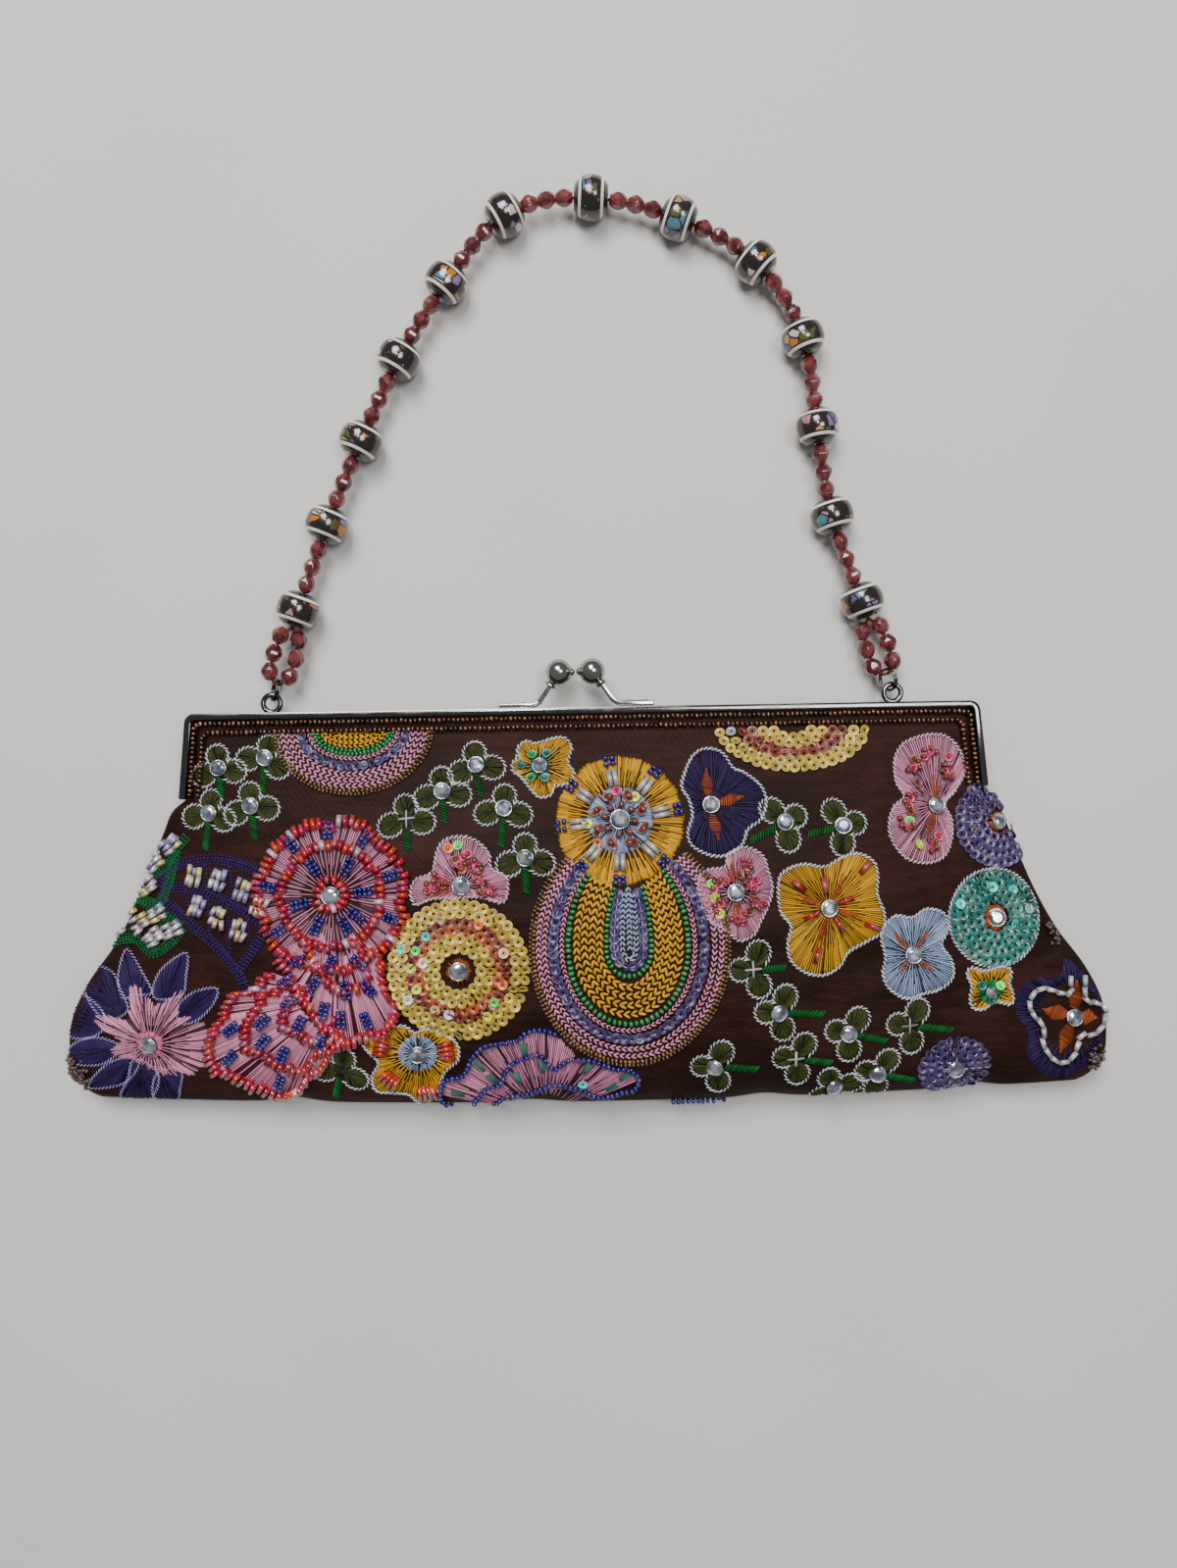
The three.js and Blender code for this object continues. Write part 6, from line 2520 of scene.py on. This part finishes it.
@dataclass
class NavyHalfFlower:
    """The half flower of rose satin inside lobes of navy beads along the bottom."""

    outer: tuple[tuple[float, float], ...] = (
        (-43.6, -113.2), (-42.0, -108.1), (-36.5, -106.3), (-33.4, -100.7), (-29.9, -97.2), (-25.2, -96.2),
        (-20.6, -95.5),
        (-17.9, -93.4), (-13.9, -92.3), (-9.5, -93.6), (-6.2, -97.2), (-3.5, -100.3),
    )
    inner: tuple[tuple[float, float], ...] = (
        (-34.2, -116.6), (-30.0, -110.7), (-25.9, -109.2), (-22.9, -103.4), (-18.8, -100.9), (-14.1, -99.9),
        (-12.1, -101.8),
        (-9.6, -104.4), (-6.1, -101.9), (-3.3, -101.4), (0.3, -101.8), (3.9, -103.1), (7.4, -104.5),
        (11.0, -105.0), (13.6, -106.3),
        (14.7, -108.9),
    )
    base: tuple[tuple[float, float], ...] = (
        (-43.6, -113.2), (-43.0, -115.8), (-39.2, -118.3), (-34.4, -119.1), (-29.5, -118.1), (-24.9, -113.9),
        (-20.8, -113.5),
        (-16.7, -112.4), (-13.9, -111.1), (-11.2, -109.9), (-8.6, -109.6), (-5.0, -110.5), (-1.5, -111.6),
        (1.2, -113.4),
        (3.9, -114.5), (7.4, -113.4), (10.1, -112.5), (13.2, -111.6), (14.7, -108.9),
    )
    leaves: tuple[tuple[float, float], ...] = (
        (-18.3, -98.6), (-31.2, -103.4), (-27.7, -107.6), (-20.6, -107.6), (-13.2, -104.0), (-0.6, -104.5),
        (10.5, -107.2),
        (6.5, -110.7), (-38.3, -112.3),
    )

    def sew(self, needle: Needle) -> None:
        """Sew the satin, the leaves and the bead lines."""
        origin = np.array((-13.0, -122.0))
        outer, inner, base = (
            curve_through(line, closed=False) for line in (self.outer, self.inner, self.base)
        )
        needle.fan(origin, outer, Dye.ROSE.value, 9.0, 0.74, False, 0.2, 0.5)
        needle.fan(origin, inner, dye(184, 116, 146), 8.0, 0.8, False, 0.3, 0.6)
        for spot in np.array(self.leaves):
            way = unit(spot - origin)
            side = np.array([-way[1], way[0]]) * np.linspace(-1.0, 1.0, 5)[:, None]
            needle.stitch(
                spot - way * 2.1 + side * 0.4, spot + way * 2.1 + side, dye(66, 100, 94), 0.85, 0.7, 0.5, 0.6
            )
        for line in (outer[np.hypot(*(outer - (-3.5, -100.3)).T) > 7.6], inner, base):
            needle.string(line, Dye.NAVY.value, 1.8, 1.5, lift=0.8)
        needle.sequins([(-1.6, -109.2)], Dye.CYAN.value, 3.0, 1.0)
        needle.string([(24.2, -117.0), (41.0, -117.4)], Dye.NAVY.value, 1.75, 1.6, lift=0.7)


@dataclass
class Embroidery:
    """All that is sewn on the front, in three parts across it."""

    form: ClothForm

    def left(self) -> list[object]:
        """Give what is sewn on the left."""
        purple = Dye.VIOLET.value
        return [
            Clover((-106.9, -16.1), -84, 9.6), Clover((-93.1, -13.4), -92, 9.7, lean=-14.0),
            Clover((-109.5, -29.2), -96, 11.0),
            Clover((-96.8, -27.3), -82, 10.3), Clover((-40.8, -23.9), -86, 8.9),
            Clover((-51.1, -31.7), -85, 9.6, False, True),
            Clover((-71.5, -104.2), -108, 10.2, False),
            RainbowArc(),
            CrochetLeaf(
                (((-116.4, -35.8), (-120.5, -40.5), (-123.1, -44.6), (-127.8, -48.0), (-133.2, -54.0),
                 (-139.2, -61.5), (-145.0, -69.0)),
                 ((-119.6, -40.0), (-124.3, -54.7), (-132.1, -54.2)), ((-132.1, -54.2), (-127.3, -56.8),
                  (-122.6, -59.4), (-117.3, -62.3)),
                 ((-143.9, -68.3), (-139.0, -66.7), (-132.3, -65.9), (-126.8, -69.8), (-121.6, -67.4),
                  (-116.9, -62.3))),
                (((-132.1, -54.2), (-139.2, -60.4)), ((-127.3, -56.8), (-135.4, -63.7)), ((-122.6, -59.4),
                 (-128.5, -65.8))),
                ((-121.5, -38.5, 40), (-127.0, -43.6, 40), (-129.2, -51.0, 35), (-125.4, -58.4, 30),
                 (-120.3, -63.0, 30),
                 (-136.0, -57.9, 40), (-131.0, -61.5, 35), (-126.4, -65.0, 35), (-139.6, -64.0, 40)),
                dye(16, 84, 44),
            ),
            CrochetLeaf(
                (((-125.2, -51.0), (-123.8, -47.3), (-119.2, -44.6), (-113.3, -43.1), (-107.4, -42.7),
                 (-101.7, -43.6), (-96.7, -45.3), (-91.8, -48.0)),
                 ((-125.1, -52.0), (-121.9, -55.3), (-117.4, -59.0), (-112.2, -63.3), (-107.1, -67.2),
                  (-102.9, -71.8), (-99.5, -76.5), (-97.6, -81.8)),
                 ((-124.4, -51.4), (-119.0, -50.8), (-113.1, -51.4), (-107.3, -53.2), (-101.5, -55.9),
                  (-95.9, -58.9), (-91.7, -61.8)),
                 ((-91.7, -61.8), (-94.2, -66.5), (-98.0, -71.8), (-100.2, -75.1))),
                (((-110.5, -44.0), (-109.8, -52.0)), ((-103.0, -44.5), (-101.8, -54.5)), ((-116.5, -51.2),
                 (-115.0, -59.8)),
                 ((-109.5, -53.0), (-108.6, -64.8)), ((-103.0, -55.4), (-102.6, -69.8)), ((-97.0, -58.5),
                  (-96.8, -66.5))),
                ((-113.8, -47.6, 75), (-106.3, -48.7, 75), (-98.4, -51.6, 72), (-112.6, -56.3, 70),
                 (-106.2, -59.4, 70), (-99.8, -62.8, 70), (-93.4, -56.0, 70)),
                purple,
            ),
            StarFlower(),
            RoseWheel(),
            Blossom(
                (-49.1, -99.5),
                ((-64.3, -96.8), (-62.5, -94.7), (-58.1, -94), (-55.6, -91.3), (-52.3, -91), (-49.7, -93.1),
                 (-46.3, -92.1), (-41.7, -93.5),
                 (-37.5, -96.4), (-37.5, -101.4), (-41.8, -105.8), (-44.5, -112.3), (-49.6, -117),
                 (-52.8, -113), (-57.4, -112.1),
                 (-62.1, -111.2), (-62.8, -106.4), (-60.6, -101.9)),
                Dye.GOLD.value, bugles=((-59.3, -96.9), (-40.6, -98.5), (-57.8, -107.2), (-47.5, -112.2)),
                bugle_dye=Dye.CORAL.value,
                bugle_long=4.4, bundle=4, heart=5.8,
            ),
        ]

    def middle(self) -> list[object]:
        """Give what is sewn in the middle."""
        straw = Dye.STRAW.value
        return [
            Clover((-31.1, -16.6), -82, 9.5), Clover((-23.0, -29.3), -94, 11.2),
            Clover((-16.8, -43.4), -89, 10.3),
            Blossom(
                (-12.6, -17.2),
                ((-18.3, -20.1), (-20.3, -18.6), (-20.3, -15.8), (-18.3, -14.3), (-18.9, -14.5),
                 (-18.9, -11.7), (-16.5, -9.8),
                 (-13.8, -10.5), (-8.5, -9.1), (-5.5, -9.0), (-3.3, -11.5), (-4.0, -14.5), (-4.3, -16.8),
                 (-2.7, -19.1),
                 (-3.8, -22.1), (-6.5, -22.9), (-8.2, -23.1), (-9.5, -25.7), (-12.7, -26.2), (-14.8, -24.3)),
                Dye.GOLD.value, stone=4.4, heart=3.2, heart_dye=Dye.TEAL.value,
                sequins=((-17.9, -17.0, Dye.TEAL.value), (-10.6, -13.6, Dye.TEAL.value),
                         (-11.0, -20.8, Dye.TEAL.value), (-15.2, -20.6, Dye.EMERALD.value),
                         (-14.8, -13.9, Dye.EMERALD.value)),
            ),
            Teardrop(), GoldWheel(),
            Blossom(
                (36.6, -29.3),
                ((29.3, -20.2), (31.9, -15.1), (35.8, -12.9), (40.5, -14.2), (43.5, -18.6), (46.7, -20.1),
                 (51.2, -23.9), (52.7, -28.6),
                 (50.7, -33.7), (46.9, -36.4), (44.8, -41.0), (40.1, -43.7), (35.4, -43.4), (30.8, -40.7),
                 (29.6, -37.0), (31.1, -32.4),
                 (30.4, -27.8), (28.4, -24.0)),
                Dye.VIOLET.value,
                rays=(
                    ((35.8, -26.5), (35.7, -19.0)), ((39.2, -28.6), (46.0, -27.1)),
                    ((36.9, -32.3), (38.3, -39.0)),
                ),
            ),
            Blossom(
                (42.7, -54.1),
                ((32.3, -50.5), (34.9, -47.7), (39.8, -46.9), (41.2, -43.3), (45.8, -41.4), (50.7, -43.9),
                 (52.2, -48.4), (53.2, -53.3),
                 (51.8, -58.2), (49.7, -62.2), (47.5, -66.2), (43.4, -67.7), (39.4, -64.4), (35.3, -61.9),
                 (32.6, -56.9)),
                Dye.ROSE.value, Dye.ROSE_FROST.value,
                sequins=((39.8, -50.6, Dye.MAGENTA.value), (46.2, -46.4, Dye.BROWN.value),
                         (36.6, -55.4, Dye.NEON_YELLOW.value),
                         (38.0, -60.0, Dye.NEON_YELLOW.value), (44.4, -62.4, Dye.MAGENTA.value),
                         (48.4, -56.6, Dye.BROWN.value),
                         (48.8, -50.8, Dye.MAGENTA.value), (44.0, -49.0, Dye.BROWN.value),
                         (46.6, -59.6, Dye.BROWN.value), (35.8, -51.6, Dye.NEON_GREEN.value)),
                swirls=((37.6, -52.6, 0), (47.6, -52.0, 90), (43.6, -60.6, 180), (45.2, -46.6, 270),
                (38.4, -58.4, 30), (49.4, -57.0, 140)),
                rays=(((42.0, -51.0), (42.0, -45.8)), ((42.8, -57.4), (43.4, -63.4))), ray_width=2.4,
            ),
            SequinRound(
                (-36.3, -75.0),
                ((19.0, straw), (16.4, straw), (13.8, Dye.BROWN.value), (11.6, Dye.RUST.value), (9.2, straw),
                 (6.6, straw)),
                sparks=tuple((-36.3 + x, -75.0 + y, colour.value) for x, y, colour in (
                    (-12, 6, Dye.NEON_GREEN), (-13.5, 1, Dye.NEON_YELLOW), (-9, 10, Dye.CYAN),
                    (-12, -5, Dye.NEON_YELLOW), (-7, -11, Dye.PALE_STRAW),
                    (-14.5, -8, Dye.WHITE), (10, -9, Dye.NEON_GREEN), (12.5, -4, Dye.ORANGE),
                    (-10, 2.5, Dye.WHITE), (6, 13, Dye.ORANGE),
                    (-5, 14.5, Dye.PEACH), (13, 5, Dye.PEACH), (-16, 6.5, Dye.CYAN), (-3, -12.5, Dye.WHITE),
                    (8, -13, Dye.NEON_YELLOW))),
            ),
            Blossom(
                (-35.1, -50.9),
                ((-42.1, -41.8), (-40.1, -38.2), (-35.4, -37), (-30.8, -38.4), (-27.2, -42), (-26.5, -46),
                 (-22.3, -48.6), (-22, -52.6),
                 (-23.6, -55.8), (-30, -54.2), (-37.5, -54.4), (-44, -54.6), (-48.1, -56.1), (-49.7, -52.8),
                 (-48, -48.9), (-43.4, -47)),
                Dye.ROSE.value, Dye.ROSE_FROST.value, stone=5.2,
                sequins=((-42.6, -51.4, Dye.MAGENTA.value), (-44.6, -53.0, Dye.BROWN.value),
                         (-40.2, -50.4, Dye.BROWN.value),
                         (-36.6, -43.6, Dye.BROWN.value), (-33.2, -42.0, Dye.MAGENTA.value),
                         (-34.6, -46.2, Dye.RUST.value),
                         (-28.4, -50.4, Dye.BROWN.value), (-30.6, -48.4, Dye.RUST.value),
                         (-26.2, -52.6, Dye.MAGENTA.value), (-29.4, -53.0, Dye.BROWN.value),
                         (-38.6, -40.4, Dye.ORANGE.value), (-36.0, -39.6, Dye.NEON_GREEN.value)),
                swirls=((-43.6, -51.6, 0), (-40.6, -48.8, 120), (-35.4, -43.6, 200), (-29.6, -48.6, 60),
                (-27.4, -51.8, 170), (-31.8, -45.6, 300)),
                rays=(((-37.8, -51.6), (-43.4, -53.8)),), ray_width=2.4,
            ),
            NavyHalfFlower(),
        ]

    def right(self) -> list[object]:
        """Give what is sewn on the right."""
        straw, pink = Dye.STRAW.value, Dye.ROSE.value
        return [
            Clover((57.6, -34.6), -153, 11.7), Clover((74.6, -36.0), -168, 11.2),
            Clover((47.4, -76.1), 1, 9.5, False, True),
            Clover((54.7, -88.8), -4, 12.9), Clover((36.7, -105.1), -4, 12.7),
            Clover((60.1, -103.0), -9, 10.5, False, True),
            Clover((75.0, -95.6), -14, 11.3), Clover((93.0, -93.9), -9, 12.9, False, True),
            Clover((72.2, -112.7), -60, 0.0),
            Clover((84.4, -108.5), -15, 11.6),
            SequinRound(
                (61.5, -6.9), ((21.4, straw), (18.2, straw), (14.8, Dye.BROWN.value), (12.0, Dye.BROWN.value),
                (9.0, straw), (6.0, straw)),
                stone=0.0, heart=0.0, start=180.0, end=360.0, squash=0.555,
                sparks=((43.5, -8.2, Dye.SKY.value),),
            ),
            Blossom(
                (102.5, -30.5),
                ((97.1, -10.9), (102, -9.8), (106.8, -10.5), (110.6, -14.4), (112.3, -20.2), (109, -25.9),
                 (105.3, -30.1), (107.1, -34.8),
                 (106.8, -40.5), (104.5, -45.2), (99.4, -47.1), (93.1, -45.8), (89, -41), (88.2, -35.8),
                 (90, -30.7), (93, -27.9), (91, -23.2),
                 (91.1, -17), (93.6, -12.7)),
                pink, Dye.ROSE_FROST.value,
                rays=(((102.6, -27.6), (102.4, -21.5)), ((101.6, -33.3), (99.4, -38.6))),
                sequins=((100.7, -15.5, Dye.MAGENTA.value), (95.1, -19.9, Dye.BROWN.value),
                         (96.8, -17.1, Dye.BROWN.value), (106.9, -20.1, Dye.BROWN.value),
                         (94.8, -32.2, Dye.BROWN.value), (94.1, -35, Dye.NEON_GREEN.value),
                         (96.7, -41.8, Dye.NEON_YELLOW.value),
                         (101.7, -41.8, Dye.BROWN.value), (102.8, -39.5, Dye.MAGENTA.value),
                         (97.5, -24.0, Dye.BROWN.value), (107.0, -16.5, Dye.MAGENTA.value)),
                swirls=((101.0, -16.0, 0), (107.0, -21.0, 100), (96.4, -18.6, 200), (95.0, -29.6, 40),
                (93.6, -35.4, 130), (100.0, -41.5, 250)),
            ),
            SequinRound(
                (121.8, -35.7),
                (
                    (12.2, Dye.LILAC.value), (9.6, Dye.LILAC.value), (7.0, Dye.LILAC.value),
                    (4.8, Dye.VIOLET.value),
                ),
                heart=3.0, spoke_dye=Dye.PALE_LILAC.value, stone=4.8,
            ),
            Blossom(
                (69.4, -59.2),
                ((54.9, -53.4), (56.3, -48.9), (62.2, -46.6), (68.4, -47.4), (73.1, -45.2), (78.3, -43.9),
                 (82.8, -46.3), (83.9, -50.4),
                 (83.6, -55.3), (85.6, -61.5), (84.7, -66.4), (79.9, -69.1), (74.8, -71.9), (72.3, -75.9),
                 (67.3, -78.3), (61.5, -76.9),
                 (57.8, -73), (57.4, -68.1), (58.3, -64), (55.5, -59.9)),
                Dye.GOLD.value,
                rays=(
                    ((70.4, -56.5), (74.5, -50.5)), ((72.4, -60.0), (78.5, -62.0)),
                    ((68.6, -62.4), (66.0, -69.0)), ((66.2, -58.0), (60.5, -55.0)),
                ),
                bugles=(
                    (60.7, -52.7), (68.2, -52.5), (74.3, -57.1), (80.2, -47.8), (81.7, -64.7), (72.1, -64),
                    (64.2, -61.3), (65.7, -72.4),
                ),
                ray_width=2.0,
            ),
            Blossom(
                (93.9, -73.3),
                ((85.1, -65.6), (88.6, -62), (93.8, -62.6), (98.2, -60.3), (103.4, -61.7), (104.8, -66.3),
                 (102.6, -70.8), (105.6, -75.4),
                 (105.9, -80.4), (102, -83.6), (96.8, -84.7), (91.7, -85.8), (86.6, -82.6), (84.9, -78.4),
                 (85.8, -73.9), (84.6, -68.9)),
                Dye.SKY.value,
                rays=(
                    ((92.2, -71.5), (88.5, -66.9)), ((95.4, -71.2), (98.6, -66.7)),
                    ((95.8, -75.4), (99.9, -78.1)), ((92.0, -75.2), (90.4, -78.2)),
                ),
                ray_width=1.8,
            ),
            SequinRound(
                (119.3, -63.6), ((12.6, Dye.TEAL.value), (10.0, Dye.TEAL.value), (7.6, Dye.TEAL.value),
                (5.4, Dye.TEAL.value)), heart=4.0, spoke_dye=Dye.FROST.value, cord_radius=14.2,
                sparks=((125.1, -55.9, Dye.CYAN.value), (108.3, -59.2, Dye.CYAN.value),
                (124.8, -65.8, Dye.CYAN.value), (118.5, -54.8, Dye.CYAN.value),
                (129.9, -61.6, Dye.SILVER.value)),
            ),
            Blossom(
                (117.3, -85.1),
                ((110.3, -79.8), (111.6, -77.8), (116, -78.8), (120.5, -77.7), (123.6, -79.1), (123.1, -82.9),
                 (124, -85.9), (123.5, -88.8),
                 (118.6, -88.1), (115.1, -90.1), (112, -89.5), (111.1, -86.5), (111.6, -83.2)),
                Dye.GOLD.value, stone=3.6, heart=3.8, heart_dye=Dye.EMERALD.value,
                sequins=(
                    (114.5, -83.0, Dye.TEAL.value), (120.0, -83.2, Dye.NEON_GREEN.value),
                    (117.6, -87.4, Dye.TEAL.value),
                ),
            ),
            Blossom(
                (143.2, -93.8),
                ((141.7, -76.4), (140.3, -80.1), (136, -82.1), (132.2, -81.5), (127.2, -83.1), (124.9, -87.2),
                 (125.3, -92.3), (128.6, -97.2),
                 (129.3, -105.7), (134.4, -110.7), (141.2, -113.1), (147, -110), (151.4, -107.6),
                 (153.5, -99.1), (154.0, -92.0), (150.0, -84.0)),
                Dye.VIOLET.value, inner=9.5,
                rays=(
                    ((140.6, -93.0), (133.6, -90.8)), ((143.5, -91.0), (144.8, -83.4)),
                    ((145.6, -93.8), (150.8, -94.6)), ((142.4, -96.2), (139.4, -104.0)),
                ),
                ray_width=4.4, corded=False,
            ),
            SequinRound(
                (107.5, -107.5),
                (
                    (9.6, Dye.LILAC.value), (7.2, Dye.LILAC.value), (5.0, Dye.LILAC.value),
                    (3.0, Dye.VIOLET.value),
                ),
                heart=0.0, spoke_dye=Dye.PALE_LILAC.value, squash=0.86,
            ),
            BuglePath((
                (142.2, -81.5), (141.4, -86.9), (138.2, -86.1), (133.1, -84.7), (129.6, -86.6),
                (128.9, -89.9), (131.2, -93.6), (133.6, -96.2),
                (133.3, -100.5), (136.4, -105.2), (140.2, -107), (143.7, -104.7), (145.2, -99.5), (150, -99),
                (153, -95.8), (153.1, -91.6),
                (148.6, -89.5), (146.2, -88.4), (147.1, -85.2), (146.7, -81.8))),
        ]

    def clusters(self, needle: Needle) -> None:
        """Sew the loose dark bronze beads at the bag's lower corners and its right seam."""
        for centre, size, count, colour in (
            ((-152.4, -106.5), 4.0, 60, Dye.DARK_BRONZE), ((-156.0, -102.0), 2.6, 22, Dye.DARK_BRONZE),
            ((151.0, -106.5), 3.0, 34, Dye.DARK_BRONZE),
            ((136.4, -67.0), 1.6, 9, Dye.DARK_BRONZE), ((138.6, -70.6), 1.6, 8, Dye.DARK_BRONZE),
        ):
            spots = np.array(centre) + needle.rng.normal(0, size * 0.5, (count, 2))
            for spot in spots:
                end = spot + needle.rng.normal(0, 0.3, 2)
                needle.string(
                    [spot, end], colour.value, 1.5, 1.5, lift=0.5 + abs(float(needle.rng.normal(0, 0.35)))
                )

    def build(self) -> None:
        """Sew everything and join it."""
        for name, motifs, seed in (
            ("left", self.left(), 21), ("middle", self.middle(), 22), ("right", self.right(), 23)
        ):
            needle = Needle(self.form, name, seed)
            for motif in motifs:
                motif.sew(needle)
            if name == "right":
                self.clusters(needle)
            needle.build()


@dataclass
class BuglePath:
    """Clear bugles sewn end to end along a line."""

    line: tuple[tuple[float, float], ...]
    pitch: float = 3.3

    def sew(self, needle: Needle) -> None:
        """Sew the bugles end to end."""
        spots = spaced(curve_through(self.line, closed=False), self.pitch)
        ways = unit(np.gradient(spots, axis=0))
        needle.bugle(
            spots - ways * self.pitch * 0.46, spots + ways * self.pitch * 0.46, Dye.CLEAR.value, 1.5, 0.95
        )


# The studio


@dataclass
class Studio:
    """The camera, the pale floor and the soft lights."""

    eye: tuple[float, float, float] = (0.0015, -0.04377, 0.345)
    roll: float = -0.989
    lens: float = 25.89
    sensor: float = 36.0
    sky: tuple[float, ...] = (0.93, 0.95, 1.0, 1.0)
    sky_strength: float = 0.24
    aim: tuple[float, float, float] = (0.0, -0.03, 0.0)
    # name, place, size, power
    lamps: tuple[tuple, ...] = (
        ("key", (-0.25, 0.75, 1.15), 0.6, 20.5),
        ("top", (0.45, 0.1, 1.5), 0.5, 11.0),
        ("spark", (-0.1, 0.35, 1.3), 0.08, 2.6),
    )
    floor_size: float = 8.0
    floor_sink: float = 0.00002

    def build_camera(self) -> None:
        """Stand the camera over the bag as the photograph's was."""
        Bench.clear()
        bpy.ops.object.camera_add(location=self.eye, rotation=(0.0, 0.0, math.radians(self.roll)))
        camera = bpy.context.object
        camera.data.lens = self.lens
        camera.data.sensor_width = self.sensor
        camera.data.clip_start = 0.01
        camera.data.clip_end = 50.0
        bpy.context.scene.camera = camera

    def build_lights(self) -> None:
        """Hang two large lamps and a small one, and fill with a pale world."""
        world = bpy.data.worlds.new("studio")
        bpy.context.scene.world = world
        world.use_nodes = True
        background = world.node_tree.nodes["Background"]
        background.inputs["Color"].default_value = self.sky
        background.inputs["Strength"].default_value = self.sky_strength
        for name, spot, size, power in self.lamps:
            Bench.clear()
            bpy.ops.object.light_add(type="AREA", location=spot)
            lamp = bpy.context.object
            lamp.name = lamp.data.name = f"lamp_{name}"
            lamp.data.size = size
            lamp.data.energy = power
            lamp.rotation_euler = (Vector(self.aim) - Vector(spot)).to_track_quat("-Z", "Y").to_euler()

    def build_floor(self) -> None:
        """Lay the floor."""
        place = (0.0, 0.0, -self.floor_sink)
        floor = Bench.start("grid", x_subdivisions=8, y_subdivisions=8, size=self.floor_size, location=place)
        floor.name = "floor"
        floor.data.materials.append(material_of(PaleFloor()))

    def build(self) -> None:
        """Build the camera, the lights and the floor."""
        self.build_camera()
        self.build_lights()
        self.build_floor()


def main() -> None:
    """Build the bag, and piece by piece."""
    logging.basicConfig(level=logging.INFO, format="%(message)s")
    Studio().build()
    form = ClothForm()
    for part in (
        ClothBag(form), MetalFrame(), Hinges(), KissLock(), BeadBorder(), BeadStrap(), Embroidery(form)
    ):
        part.build()


if __name__ == "__main__":
    main()
